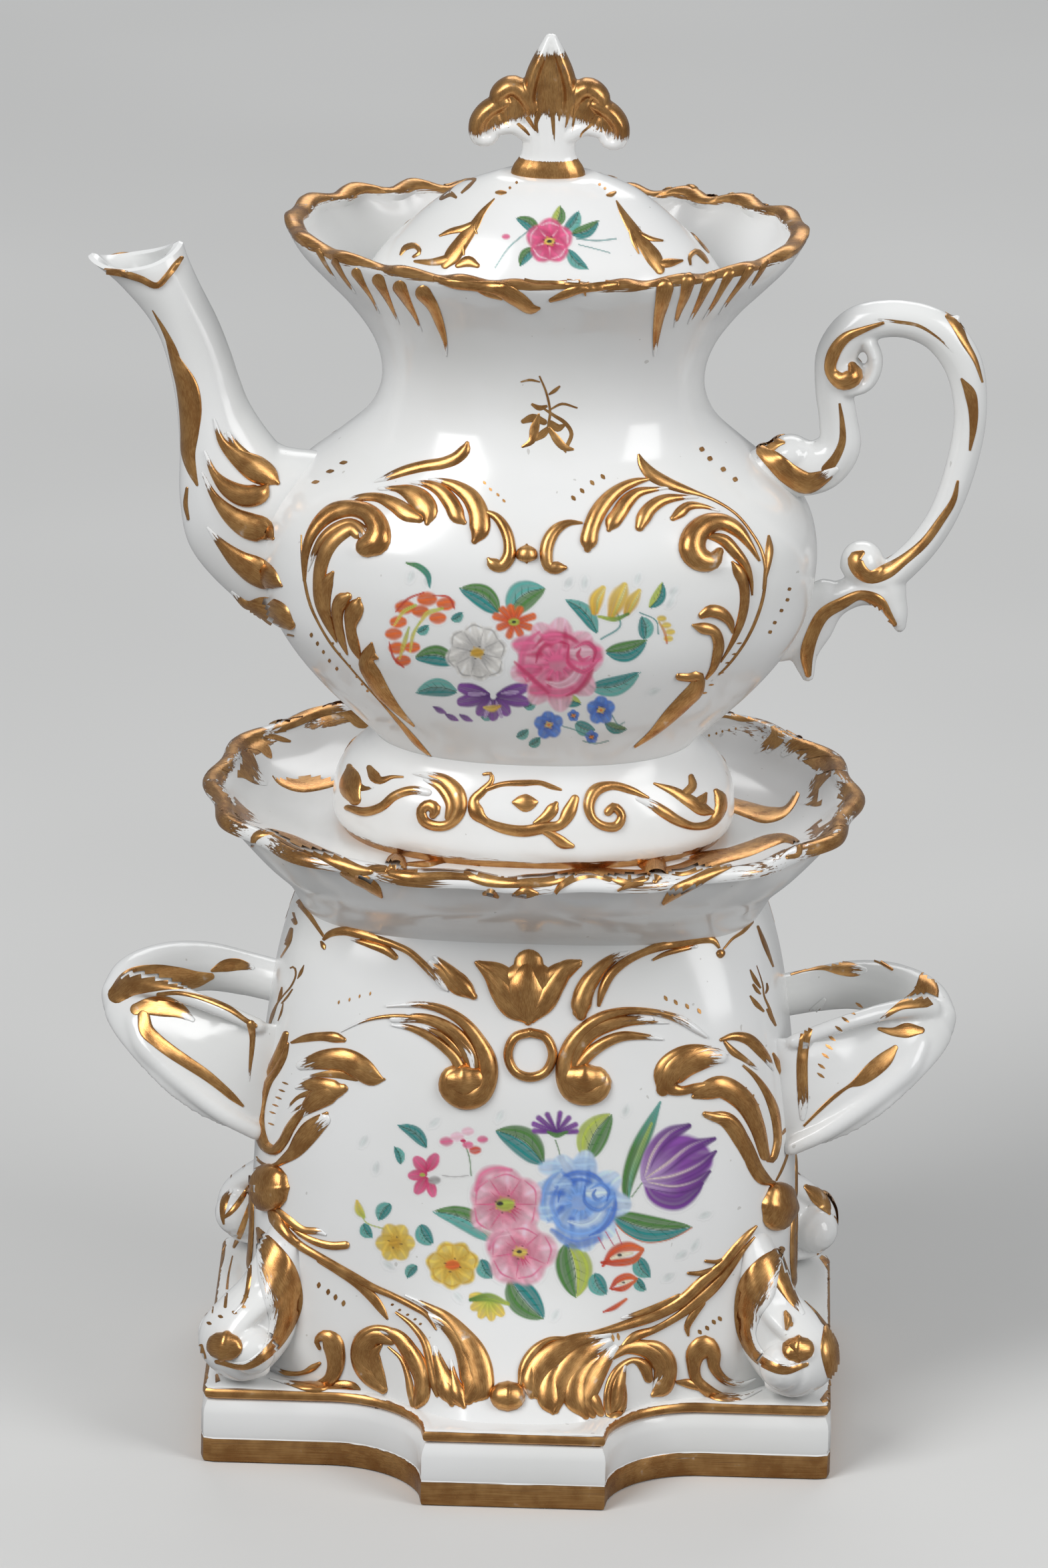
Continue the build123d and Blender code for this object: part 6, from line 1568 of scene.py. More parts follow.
class Canvas:
    """A thin film of glaze that a painting is laid on. Its grid lies over part of the photo's view."""

    def __init__(self, name, ground, window, step=1.6):
        self.name = name
        self.ground = ground
        self.xs = np.arange(window[0], window[2], step)
        self.ys = np.arange(window[1], window[3], step)
        shape = (len(self.ys), len(self.xs))
        self.tint = np.ones((*shape, 3)) * np.array(PORCELAIN)
        self.cover = np.zeros(shape)

    def lay(self, path, relief, ends, colours, strength=1.0, soft=0.6):
        """One touch of the brush. The hairs leave faint streaks along it."""
        path = np.asarray(path, float)
        if len(path) == 2:
            path = np.vstack([path[0], path.mean(0), path[1]])
        widest = max(path[:, 2].max(), 0.9)
        rows = smooth_path(path, max(0.7, min(2.5, widest * 0.3)))
        rows[:, 2] = np.maximum(rows[:, 2], 0.85)
        low = rows[:, :2].min(0) - widest - 2
        high = rows[:, :2].max(0) + widest + 2
        across = np.searchsorted(self.xs, (low[0], high[0]))
        down = np.searchsorted(self.ys, (low[1], high[1]))
        if across[0] == across[1] or down[0] == down[1]:
            return
        window = (slice(*down), slice(*across))
        gx, gy = np.meshgrid(self.xs[window[1]], self.ys[window[0]])
        apart_x = gx[:, :, None] - rows[:, 0]
        apart_y = gy[:, :, None] - rows[:, 1]
        shares = np.hypot(apart_x, apart_y) / rows[:, 2]
        nearest = shares.argmin(2)
        share = np.take_along_axis(shares, nearest[:, :, None], 2)[:, :, 0]
        travel = np.gradient(rows[:, :2], axis=0)
        travel /= np.maximum(np.linalg.norm(travel, axis=1), 1e-9)[:, None]
        side = (gy - rows[nearest, 1]) * travel[nearest, 0] - (gx - rows[nearest, 0]) * travel[nearest, 1]
        side = side / rows[nearest, 2]
        along = nearest / (len(rows) - 1)
        mask = np.clip((1 - share) / soft, 0, 1)
        mask = mask * mask * (3 - 2 * mask)
        if "a" in ends:
            mask = mask * np.clip(along / 0.4, 0, 1)
        if "b" in ends:
            mask = mask * np.clip((1 - along) / 0.45, 0, 1)
        phase = chance.uniform(0, 20)
        hairs = np.sin(side * 7.0 + phase + along * 1.5) + 0.6 * np.sin(side * 15.0 + 2 * phase + along)
        mask = strength * mask * np.clip(1 + 0.10 * hairs, 0, 1.15)
        mask = np.clip(mask, 0, 1)[:, :, None]
        stops = np.array(colours)
        places = np.linspace(0, 1, len(stops))
        paint = np.stack([np.interp(along, places, stops[:, i]) for i in range(3)], axis=2)
        paint = paint * (1 + 0.13 * hairs[:, :, None]) * chance.uniform(0.93, 1.07)
        self.tint[window] = self.tint[window] * (1 - mask) + np.clip(paint, 0, 0.8) * mask
        self.cover[window] = np.maximum(self.cover[window], np.clip(mask[:, :, 0] * 3, 0, 1))

    def made(self, material, body, slot, keep=None):
        """Films for the front and, turned about, for the back."""
        wet = self.cover > 0.004
        cells = wet[:-1, :-1] | wet[1:, :-1] | wet[:-1, 1:] | wet[1:, 1:]
        needed = np.zeros_like(wet)
        needed[:-1, :-1] |= cells
        needed[1:, :-1] |= cells
        needed[:-1, 1:] |= cells
        needed[1:, 1:] |= cells
        index = {}
        points = []
        for i, j in zip(*np.nonzero(needed)):
            met = self.ground.meet(*photo_ray(self.xs[j], self.ys[i]))
            if met is not None:
                index[(i, j)] = len(points)
                points.append(tuple(met[0] + met[1] * FILM))
        faces = []
        for i, j in zip(*np.nonzero(cells)):
            corners = ((i, j), (i + 1, j), (i + 1, j + 1), (i, j + 1))
            if all(corner in index for corner in corners):
                faces.append(tuple(index[corner] for corner in corners))
        tint = [(*self.tint[spot], 1.0) for spot in index]
        cover = [self.cover[spot] for spot in index]
        for word, way in (("front", 1), ("back", -1)):
            spots = np.array(points) * np.array([1.0, way, 1.0])
            kept = faces
            if way < 0:
                kept = [f[::-1] for f in faces if keep is None or keep(spots[list(f)].mean(0))]
            film = new_object(self.name + "_" + word, spots, kept, sharp=60.0)
            mesh = film.data
            mesh.attributes.new("cover", "FLOAT", "POINT").data.foreach_set("value", cover)
            mesh.attributes.new("tint", "FLOAT_COLOR", "POINT").data.foreach_set(
                "color", [c for t in tint for c in t])
            finished(film, material, body, slot)


def gild_mesh(made, rule, run_rule=None):
    """Gives each point of a mesh its gild value from its place in millimetres."""
    mesh = made.data
    places = np.array([v.co for v in mesh.vertices]) / MM
    gild = np.clip(rule(places[:, 0], places[:, 1], places[:, 2]), 0.0, 1.0)
    mesh.attributes.new("gild", "FLOAT", "POINT").data.foreach_set("value", gild.astype(float))
    if run_rule is None:
        run = np.column_stack([np.arctan2(places[:, 1], places[:, 0]) * 10.0, places[:, 2], places[:,
                                                                                                   1] * 0.2])
    else:
        run = np.column_stack(run_rule(places[:, 0], places[:, 1], places[:, 2]))
    mesh.attributes.new("run", "FLOAT_VECTOR", "POINT").data.foreach_set("vector",
                                                                         run.reshape(-1).astype(float))


def band(value, low, high, soft=0.4):
    """1 between two levels, falling off just outside them."""
    return np.clip((value - low) / soft + 0.5, 0, 1) * np.clip((high - value) / soft + 0.5, 0, 1)


# Porcelain skins
teapot_body = make_teapot_body()
teapot_foot = make_foot()
teapot_handle = make_handle()
teapot_spout = make_spout()
dish = make_dish()
stand_body = make_stand()
plinth = make_plinth()
lid_dome = make_lid()
lid_finial = make_finial()
corner_scrolls = []
for depth, sign_y in (("front", -1), ("back", 1)):
    for width, sign_x in (("left", -1), ("right", 1)):
        node = "corner_scroll_" + depth + "_" + width
        corner_scrolls.append((make_corner_scroll(node + "_skin", sign_x, sign_y), node))
side_handles = [
    (make_side_handle("side_handle_left_skin", -1), "side_handle_left"),
    (make_side_handle("side_handle_right_skin", 1), "side_handle_right"),
]


# Gold that lies flat on the skins themselves
def wobble(turn, phase=0.0):
    """An uneven value round the object, like a hand-laid band."""
    return (np.sin(3 * turn + phase) + np.sin(7.3 * turn + 2 * phase) + np.sin(13.1 * turn + 1.3)) / 3


def rim_gold(x, y, z):
    turn = np.arctan2(y, x)
    dip = MOUTH_DIP * (1 - (x / BODY_HALF_WIDTH) ** 2)
    level = z + dip
    outside = np.hypot(x / BODY_HALF_WIDTH, y / BODY_HALF_DEPTH) > 0.86
    return np.where(outside, band(level, 284.2 + 0.6 * wobble(turn), 300.0, 1.2), 0.0) * 0.86


def foot_gold(x, y, z):
    outside = np.hypot(x / FOOT_HALF_WIDTH, y / FOOT_HALF_DEPTH) > 0.9
    return np.where(outside, band(z, 139.0, 142.9, 0.6), 0.0)


def dish_gold(x, y, z):
    """Brushed gold on the rolled lip, nearly whole at the two ends and in patches elsewhere."""
    turn = np.arctan2(y, x)
    outer = np.hypot(x / DISH_HALF_WIDTH, y / DISH_HALF_DEPTH) > 0.935
    end = np.clip((np.abs(x) - 50.0) / 14.0, 0, 1)
    patch = 0.36 + 0.3 * wobble(turn, 2.0) + 0.22 * np.cos(DISH_LOBES * turn)
    patch = patch + end * (0.3 + 0.12 * np.cos(DISH_LOBES * turn + 1.0))
    return np.where(outer, band(z, 146.9, 152.0, 0.8) * np.clip(patch, 0.0, 0.9), 0.0)


def plinth_gold(x, y, z):
    level_in = np.maximum(np.abs(x) / PLINTH_HALF_WIDTH, np.abs(y) / PLINTH_HALF_DEPTH)
    foot = band(z, -1.0, 5.9, 0.3)
    turn = np.arctan2(y, x)
    bead = band(z, 15.4, 18.15, 0.3) * (0.92 + 0.1 * wobble(turn))
    return np.where(level_in > 0.6, foot + bead, 0.0)


def finial_gold(x, y, z):
    collar = band(z, 290.0, 300.3, 0.5)
    crown = np.clip((z - 309.0 + 0.42 * np.clip(np.abs(x) - 4.0, 0, 12)) / 3.0, 0, 1)
    crown = crown * np.clip((326.6 - z) / 3.0, 0, 1)
    behind = np.where(y > -1.0, 1.0, 0.85)
    return collar + np.where(z > 301, np.clip(crown * behind, 0, 0.94), 0.0)


def upright_run(x, y, z):
    return [z * 0.9, x * 1.1, y * 1.1]


def scroll_gold(x, y, z):
    """A thin gold edge where the consoles meet the plinth."""
    return band(z - PLINTH_TOP, -2.0, 1.0, 0.8) * 0.85


for skin, rule in ((teapot_body, rim_gold), (teapot_foot, foot_gold), (dish, dish_gold), (plinth,
                                                                                          plinth_gold)):
    gild_mesh(skin, rule)
gild_mesh(lid_finial, finial_gold, upright_run)
for skin, finish, body, node in (
    (teapot_body, GILDED_FINISH, "teapot", "teapot_body"), (teapot_foot, GILDED_FINISH, "teapot",
                                                            "teapot_foot"),
    (teapot_handle, PORCELAIN_FINISH, "teapot", "teapot_handle"),
    (teapot_spout, PORCELAIN_FINISH, "teapot", "teapot_spout"), (dish, GILDED_FINISH, "dish", "dish"),
    (stand_body, PORCELAIN_FINISH, "stand", "stand_body"), (plinth, GILDED_FINISH, "stand", "stand_plinth"),
    (lid_dome, PORCELAIN_FINISH, "lid", "lid_dome"), (lid_finial, GILDED_FINISH, "lid", "lid_finial"),
):
    finished(skin, finish, body, "glazed_porcelain", node)
for skin, node in corner_scrolls:
    gild_mesh(skin, scroll_gold, upright_run)
    finished(skin, GILDED_FINISH, "stand", "glazed_porcelain", node)
for skin, node in side_handles:
    finished(skin, PORCELAIN_FINISH, "stand", "glazed_porcelain", node)

# Raised gilding and brushed lines, laid along the photo's lines of sight and mirrored to the back
stand_ground = Ground(stand_body)
consoles_ground = Ground(stand_body, plinth, *[skin for skin, _ in corner_scrolls])
teapot_ground = Ground(teapot_body)
lid_ground = Ground(lid_dome)


def clear_of_door(middle):
    return not (abs(middle[0]) < 30 and middle[2] < 88)


for name, ground, strokes, body, keep in (
    ("stand_gilding", consoles_ground, STAND_GILDING, "stand", clear_of_door),
    ("teapot_gilding", teapot_ground, {**TEAPOT_GILDING, **NECK_GILDING}, "teapot", None),
    ("foot_gilding", Ground(teapot_foot), FOOT_GILDING, "teapot", None),
    ("dish_gilding", Ground(dish), DISH_GILDING, "dish", None),
    ("lid_gilding", lid_ground, LID_GILDING, "lid", None),
    ("finial_gilding", Ground(lid_finial), FINIAL_GILDING, "lid", None),
    ("spout_gilding", Ground(teapot_spout, teapot_body), SPOUT_GILDING, "teapot", None),
    ("handle_gilding", Ground(teapot_handle, teapot_body), HANDLE_GILDING, "teapot", None),
):
    sheet = Sheet(name, ground)
    sheet.table(strokes)
    sheet.made(GILDED_FINISH, body, "gilding", "back", keep)

# Gold on the two side handles. Places are in a close view of each handle, with its own origin.
LEFT_CLOSE = (130.0, 1380.0, 4.48)
RIGHT_CLOSE = (1120.0, 1400.0, 4.61)
LEFT_HANDLE_STROKES = {
    "arm_tip": ("", [(200, 480, 60), (300, 400, 90), (450, 370, 90), (600, 370, 75), (720, 380, 60), (830,
                                                                                                      360,
                                                                                                      25)]),
    "arm_patch": ("b", [(840, 320, 12), (920, 290, 40), (1010, 280, 40), (1110, 300, 16)]),
    "leaf_top": ("b", [(330, 580, 40), (420, 560, 60), (520, 560, 70), (620, 590, 50), (710, 650, 16)]),
    "top_rim": ("", [(480, 480, 14), (600, 470, 14), (720, 490, 16), (850, 530, 20), (960, 580, 20),
                     (1060, 650, 16), (1125, 690, 18)]),
    "root": ("b", [(1100, 680, 28), (1110, 760, 20), (1105, 860, 16), (1095, 960, 10), (1088, 1060, 4)]),
    "lower_roll": ("", [(380, 620, 40), (400, 720, 50), (470, 790, 46), (560, 860, 44), (680, 940, 40),
                        (800, 1020, 36), (900, 1100, 30), (980, 1170, 24), (1050, 1230, 8)]),
}
RIGHT_HANDLE_STROKES = {
    "arm": ("b", [(290, 265, 8), (400, 230, 14), (520, 200, 36), (640, 220, 50), (740, 235, 44), (800, 235,
                                                                                                  20)]),
    "arm_top": ("", [(500, 170, 8), (650, 150, 10), (800, 150, 10), (900, 175, 14), (990, 230, 10)]),
    "leaf_tip": ("b", [(1230, 300, 60), (1220, 400, 90), (1150, 440, 60), (1050, 480, 30), (880, 600, 8)]),
    "bead": ("", [(900, 640, 12), (1000, 660, 30), (1090, 650, 52), (1190, 650, 24)]),
    "tail": ("", [(1010, 770, 20), (950, 840, 50), (860, 920, 56), (760, 1000, 36), (700, 1030, 14),
                  (600, 1100, 14), (500, 1190, 12), (380, 1310, 8)]),
    "root": ("ab", [(520, 440, 16), (430, 560, 40), (390, 700, 36), (370, 850, 38), (370, 1000, 38),
                    (375, 1150, 34), (372, 1255, 16)]),
}
RIGHT_HANDLE_DASHES = [(763, 476), (712, 525), (668, 577), (622, 638), (574, 705), (555, 765), (530, 825),
                       (503, 897), (498, 960)]


def placed(rows, close):
    left, top, scale = close
    return [(left + x / scale, top + y / scale, breadth / scale) for x, y, breadth in rows]


for sign, strokes, close in ((-1, LEFT_HANDLE_STROKES, LEFT_CLOSE), (1, RIGHT_HANDLE_STROKES, RIGHT_CLOSE)):
    word = "left" if sign < 0 else "right"
    sheet = Sheet("side_handle_" + word + "_gilding", Ground(side_handles[(sign + 1) // 2][0]))
    for ends, rows in strokes.values():
        sheet.lay(placed(rows, close), 0.3, ends)
    if sign > 0:
        spots = [(x, y) for x, y, _ in placed([(x, y, 0) for x, y in RIGHT_HANDLE_DASHES], close)]
        sheet.dots(spots, 10 / close[2], 60 / close[2], 35)
    sheet.made(GILDED_FINISH, "stand", "gilding")


# Painted bouquets
BLUE = (0.075, 0.20, 0.58)
DEEP_BLUE = (0.020, 0.065, 0.37)
PALE_BLUE = (0.36, 0.52, 0.76)
MID_BLUE = (0.055, 0.15, 0.52)
SOFT_BLUE = (0.17, 0.33, 0.70)
FAINT_BLUE = (0.52, 0.64, 0.80)
PINK = (0.66, 0.12, 0.25)
DEEP_PINK = (0.50, 0.03, 0.11)
PALE_PINK = (0.76, 0.45, 0.53)
RED = (0.50, 0.045, 0.02)
ORANGE = (0.66, 0.13, 0.03)
YELLOW = (0.68, 0.50, 0.10)
DEEP_YELLOW = (0.56, 0.32, 0.04)
PALE_YELLOW = (0.72, 0.66, 0.38)
GREEN = (0.07, 0.19, 0.045)
TEAL = (0.02, 0.21, 0.20)
PALE_TEAL = (0.10, 0.35, 0.31)
LIME = (0.38, 0.46, 0.07)
DARK_GREEN = (0.015, 0.07, 0.035)
PURPLE = (0.20, 0.06, 0.30)
DEEP_PURPLE = (0.09, 0.02, 0.17)
PALE_PURPLE = (0.46, 0.33, 0.55)
GREY = (0.36, 0.35, 0.34)
WARM_WHITE = (0.72, 0.70, 0.66)
SHADOW = (0.56, 0.62, 0.60)
INK = (0.03, 0.025, 0.03)
CREAM = (0.76, 0.66, 0.48)


def spoke(centre, ray, reach, share):
    """A place at a share of the flower's reach from its middle."""
    return centre[0] + cos(ray) * reach * share, centre[1] - sin(ray) * reach * share


class Painter:
    """Paints flowers on a sheet. Places are points of the photo."""

    def __init__(self, sheet):
        self.sheet = sheet

    def touch(self, path, colours, strength=1.0, ends="", soft=0.55):
        self.sheet.lay(path, 0.0, ends, colours, strength, soft)

    def dab(self, x, y, breadth, colour, strength=1.0, soft=0.6):
        self.touch([(x - breadth * 0.5, y, breadth * 0.75), (x, y, breadth), (x + breadth * 0.5, y,
                                                                              breadth * 0.75)],
                   (colour, colour), strength, soft=soft)

    def petal(self, centre, angle, inner, outer, breadth, root, tip, strength=1.0, soft=0.3):
        """A round petal from near the centre outwards, darker where root says so."""
        way = (cos(radians(angle)), -sin(radians(angle)))
        spots = []
        for share, size in ((0.0, 0.35), (0.35, 0.85), (0.7, 1.0), (1.0, 0.72)):
            reach = inner + (outer - inner) * share
            spots.append((centre[0] + way[0] * reach, centre[1] + way[1] * reach, breadth * size))
        self.touch(spots, (root, tip), strength, soft=soft)

    def bloom(self, centre, reach, petals, root, tip, heart, turn=0.0, squash=0.85, edge=None,
              heart_size=0.26):
        """An open flower of separate petals, each with a darker vein or two and a soft rim."""
        self.dab(*centre, reach * 0.6, tip, 0.9, 0.5)
        for i in range(petals):
            angle = turn + 360 / petals * i + chance.uniform(-5, 5)
            flat = 1 - (1 - squash) * abs(sin(radians(angle)))
            long = reach * flat * chance.uniform(0.92, 1.04)
            breadth = reach * 0.62 * (5 / petals) ** 0.7
            self.petal(centre, angle, reach * 0.12, long * 0.72, breadth, root, tip)
            if edge is not None:
                way = angle + 90
                top = spoke(centre, radians(angle), long, 0.92)
                dx, dy = cos(radians(way)) * breadth * 0.62, -sin(radians(way)) * breadth * 0.62
                inx, iny = -cos(radians(angle)) * long * 0.14, sin(radians(angle)) * long * 0.14
                self.touch([(top[0] - dx + inx, top[1] - dy + iny, 1.2), (top[0], top[1], 2.6),
                            (top[0] + dx + inx, top[1] + dy + iny, 1.2)], (edge, edge), 0.85, soft=0.9)
            for lean in (-13, 0, 13):
                ray = radians(angle + lean)
                self.touch([(*spoke(centre, ray, reach, 0.2), 1.6), (*spoke(centre, ray, long, 0.62), 0.7)],
                           (root, root), 0.75, "b", soft=0.8)
        if edge is not None:
            for i in range(petals):
                ray = radians(turn + 360 / petals * (i + 0.5))
                self.touch([(*spoke(centre, ray, reach, 0.3), 2.2),
                            (centre[0] + cos(ray) * reach * 0.88, centre[1] - sin(ray) * reach * 0.8, 1.2)],
                           (edge, root), 0.8, "b", soft=0.9)
        self.dab(*centre, reach * heart_size, heart)
        for i in range(8):
            ray = tau * i / 8 + 0.3
            self.dab(centre[0] + cos(ray) * reach * heart_size * 1.1,
                     centre[1] + sin(ray) * reach * heart_size * 0.95, 1.7, DEEP_YELLOW if i % 2 else INK,
                     0.8)

    def rose(self, centre, reach, deep, main, pale, bud):
        """A full rose: outer petals, darker gaps and curled strokes round a bud."""
        self.dab(*centre, reach * 0.78, main, 0.9, 0.35)
        for i in range(9):
            angle = 40 * i + chance.uniform(-7, 7)
            self.petal(centre, angle, reach * 0.3, reach * chance.uniform(0.80, 0.95), reach * 0.36, main,
                       pale)
        for i in range(8):
            ray = radians(45 * i + 20)
            self.touch([(*spoke(centre, ray, reach, 0.45), reach * 0.13),
                        (*spoke(centre, ray + 0.25, reach, 0.98), 1.5)],
                       (deep, main), 0.8, "b", soft=0.8)
        for size, start, sweep, colour, heavy in (
            (0.72, 200, 150, main, 0.13), (0.66, 20, 130, deep, 0.08), (0.52, 240, 150, pale, 0.12),
            (0.50, 60, 120, deep, 0.07), (0.80, 285, 90, deep, 0.08), (0.84, 120, 90, main, 0.10),
        ):
            spots = []
            for share in (0, 0.25, 0.5, 0.75, 1.0):
                ray = radians(start + sweep * share)
                thick = reach * heavy * (0.35 + sin(pi * share))
                spots.append((*spoke(centre, ray, reach, size), thick))
            self.touch(spots, (colour, colour), 0.85, soft=0.7)
        self.dab(bud[0], bud[1], bud[2], main)
        self.dab(bud[0] - bud[2] * 0.15, bud[1] - bud[2] * 0.1, bud[2] * 0.62, pale)
        for size, start, sweep in ((0.95, 150, 200), (0.62, -40, 190), (0.34, 120, 220)):
            spots = []
            for share in (0, 0.3, 0.6, 1.0):
                ray = radians(start + sweep * share)
                thick = bud[2] * 0.14 * (0.4 + sin(pi * share))
                spots.append((*spoke(bud, ray, bud[2], size), thick))
            self.touch(spots, (deep, main), 0.95, soft=0.7)

    def leaf(self, start, end, breadth, light=PALE_TEAL, dark=GREEN, bend=0.12, edge=None, vein=DARK_GREEN):
        """A pointed leaf of two halves with a vein and side veins."""
        start = np.array(start, float)
        end = np.array(end, float)
        way = end - start
        square = np.array([-way[1], way[0]])
        length = np.linalg.norm(way)
        square /= max(length, 1e-6)

        def at(share, aside):
            spot = start + way * share + square * (aside + bend * length * sin(pi * share))
            return spot[0], spot[1]

        shares = (0.0, 0.2, 0.45, 0.7, 0.88, 1.0)
        sizes = (0.25, 0.8, 1.0, 0.78, 0.42, 0.06)
        for side, colour in ((1, dark), (-1, light)):
            rows = [(*at(share, side * breadth * size * 0.47), breadth * size * 0.54)
                    for share, size in zip(shares, sizes)]
            self.touch(rows, (colour, colour), 0.95, soft=0.35)
        if edge is not None:
            rows = [(*at(share, breadth * size * 0.95), 1.5) for share, size in zip(shares, sizes)]
            self.touch(rows, (edge, edge), 0.8, soft=0.8)
        self.touch([(*at(share, 0), 1.2) for share in (0.0, 0.3, 0.6, 0.92)], (vein, vein), 0.85, soft=0.8)
        for share in (0.25, 0.45, 0.62):
            for side in (1, -1):
                self.touch([(*at(share, 0), 1.0), (*at(share + 0.16, side * breadth * 0.62), 0.6)],
                           (vein, vein), 0.55, "b", soft=0.8)

    def stem(self, spots, colour=GREEN, thick=1.6):
        self.touch([(x, y, thick) for x, y in spots], (colour, colour), 0.85, soft=0.7)

    def shade(self, x, y, angle, long=26, breadth=8):
        """A pale ghost leaf behind the bouquet."""
        dx, dy = cos(radians(angle)) * long / 2, -sin(radians(angle)) * long / 2
        self.touch([(x - dx, y - dy, breadth * 0.3), (x, y, breadth), (x + dx, y + dy, breadth * 0.2)],
                   (SHADOW, SHADOW), 0.6, "ab", soft=0.9)


def paint_stand(painter):
    for x, y, angle in ((544, 1707, 60), (563, 1746, 80), (650, 1679, 40), (748, 1669, 60), (937, 1660, 70),
                        (1020, 1876, 35), (1040, 1862, 60), (1055, 1817, 20), (581, 1892, 150), (831, 1966,
                                                                                                 60),
                        (685, 1939, 130), (1000, 1910, 30)):
        painter.shade(x, y, angle)
    for row in (
        ([(662, 1758), (680, 1760), (701, 1758)], GREY), ([(693, 1705), (702, 1730), (705, 1758)], GREEN),
        ([(831, 1705), (836, 1720), (839, 1734)],), ([(538, 1811), (548, 1828), (575, 1838)], LIME),
        ([(975, 1752), (960, 1770), (945, 1790)],),
    ):
        painter.stem(*row)
    painter.leaf((811, 1738), (742, 1691), 24, TEAL, GREEN)
    painter.leaf((876, 1732), (915, 1666), 25, LIME, GREEN, -0.1)
    painter.touch([(937, 1800, 3), (938, 1775, 10), (945, 1745, 14), (958, 1712, 15), (972, 1683, 11),
                   (988, 1648, 2)],
                  (GREEN, GREEN, PALE_TEAL), soft=0.4)
    painter.touch([(941, 1795, 2), (944, 1760, 5), (958, 1720, 6), (975, 1680, 3)], (PALE_TEAL, LIME), 0.8,
                  soft=0.8)
    for row in (
        ((915, 1817), (1035, 1835), 22, GREEN, TEAL, 0.10, ORANGE),
        ((734, 1854), (648, 1812), 19, PALE_TEAL, GREEN), ((638, 1715), (595, 1683), 11, TEAL, TEAL),
        ((600, 1740), (590, 1715), 8, TEAL, PALE_TEAL), ((850, 1862), (862, 1940), 30, LIME, GREEN, -0.05),
        ((764, 1915), (813, 1972), 26, TEAL, GREEN, 0.05),
    ):
        painter.leaf(*row)
    for x, y, size, shift in ((728, 1898, 13, 8), (575, 1813, 12, -8), (550, 1841, 10, 6), (638, 1847, 14, 9),
                              (616, 1902, 9, -7), (898, 1921, 15, 9), (963, 1896, 14, 9), (959, 1921, 9, 7)):
        painter.leaf((x - shift, y - size), (x + shift, y + size), size, TEAL, PALE_TEAL)
    # blue rose
    painter.rose((868, 1797), 66, MID_BLUE, SOFT_BLUE, FAINT_BLUE, (896, 1786, 25))
    for x, y, size in ((823, 1746, 17), (815, 1813, 16), (874, 1740, 16), (842, 1770, 13)):
        painter.dab(x, y, size, PALE_BLUE, 0.75)
    painter.touch([(826, 1840, 6), (860, 1860, 13), (896, 1852, 9)], (BLUE, MID_BLUE), 0.75, soft=0.8)
    painter.touch([(834, 1775, 3), (826, 1800, 7), (838, 1830, 4)], (MID_BLUE, SOFT_BLUE), 0.7, soft=0.8)
    # pink anemones
    painter.bloom((756, 1801), 57, 6, DEEP_PINK, PALE_PINK, LIME, 30, 0.88, PINK, 0.24)
    painter.touch([(712, 1780, 4), (722, 1757, 12), (745, 1748, 9), (765, 1750, 4)], (PINK, PINK), 0.8,
                  soft=0.8)
    painter.touch([(722, 1838, 4), (745, 1850, 12), (782, 1846, 8)], (WARM_WHITE, PALE_PINK), 0.6, soft=0.8)
    painter.dab(748, 1800, 5, INK)
    painter.bloom((778, 1873), 52, 5, DEEP_PINK, PALE_PINK, YELLOW, 10, 0.8, PINK, 0.2)
    painter.touch([(732, 1868, 4), (742, 1850, 10), (760, 1846, 8)], (PINK, PALE_PINK), 0.8, soft=0.8)
    painter.dab(777, 1872, 4, INK)
    # half-open pink flower and buds
    for spot, angle, size in (((638, 1752), 130, 11), ((640, 1750), 60, 11), ((638, 1756), 185, 10),
                              ((638, 1762), 235, 11), ((642, 1764), 285, 9)):
        painter.petal(spot, angle, 1, 22, size, DEEP_PINK, PINK)
    painter.dab(650, 1765, 9, GREY)
    painter.dab(632, 1757, 4, LIME)
    for x, y, size, colour in ((668, 1707, 10, PINK), (684, 1700, 10, PALE_PINK), (700, 1692, 9, PALE_PINK),
                               (711, 1720, 9, RED), (700, 1712, 8, PINK), (722, 1704, 8, PINK)):
        painter.dab(x, y, size, colour, 0.9)
    painter.dab(693, 1706, 4, DEEP_PINK)
    # tulip
    painter.touch([(966, 1762, 8), (990, 1745, 34), (1018, 1735, 44), (1040, 1735, 30)], (PURPLE, PURPLE),
                  soft=0.25)
    painter.touch([(966, 1762, 6), (985, 1785, 20), (1012, 1792, 22), (1036, 1780, 14), (1050, 1770, 4)],
                  (PURPLE, DEEP_PURPLE), soft=0.4)
    for rows in (
        [(963, 1762, 6), (975, 1728, 15), (1000, 1698, 15), (1030, 1684, 6)],
        [(965, 1765, 6), (995, 1745, 17), (1030, 1718, 15), (1069, 1703, 4)],
        [(966, 1768, 6), (1005, 1762, 15), (1045, 1744, 14), (1071, 1722, 3)],
        [(968, 1772, 5), (1008, 1778, 12), (1042, 1768, 11), (1062, 1752, 3)],
    ):
        painter.touch(rows, (PALE_PURPLE, PURPLE, DEEP_PURPLE), soft=0.45)
        painter.touch([(x + 2, y - 4, max(1.2, breadth * 0.22)) for x, y, breadth in rows],
                      (CREAM, PALE_PURPLE), 0.75, "b", soft=0.8)
        painter.touch([(x + 4, y + 6, max(1.0, breadth * 0.16)) for x, y, breadth in rows],
                      (DEEP_PURPLE, DEEP_PURPLE), 0.7, "b", soft=0.8)
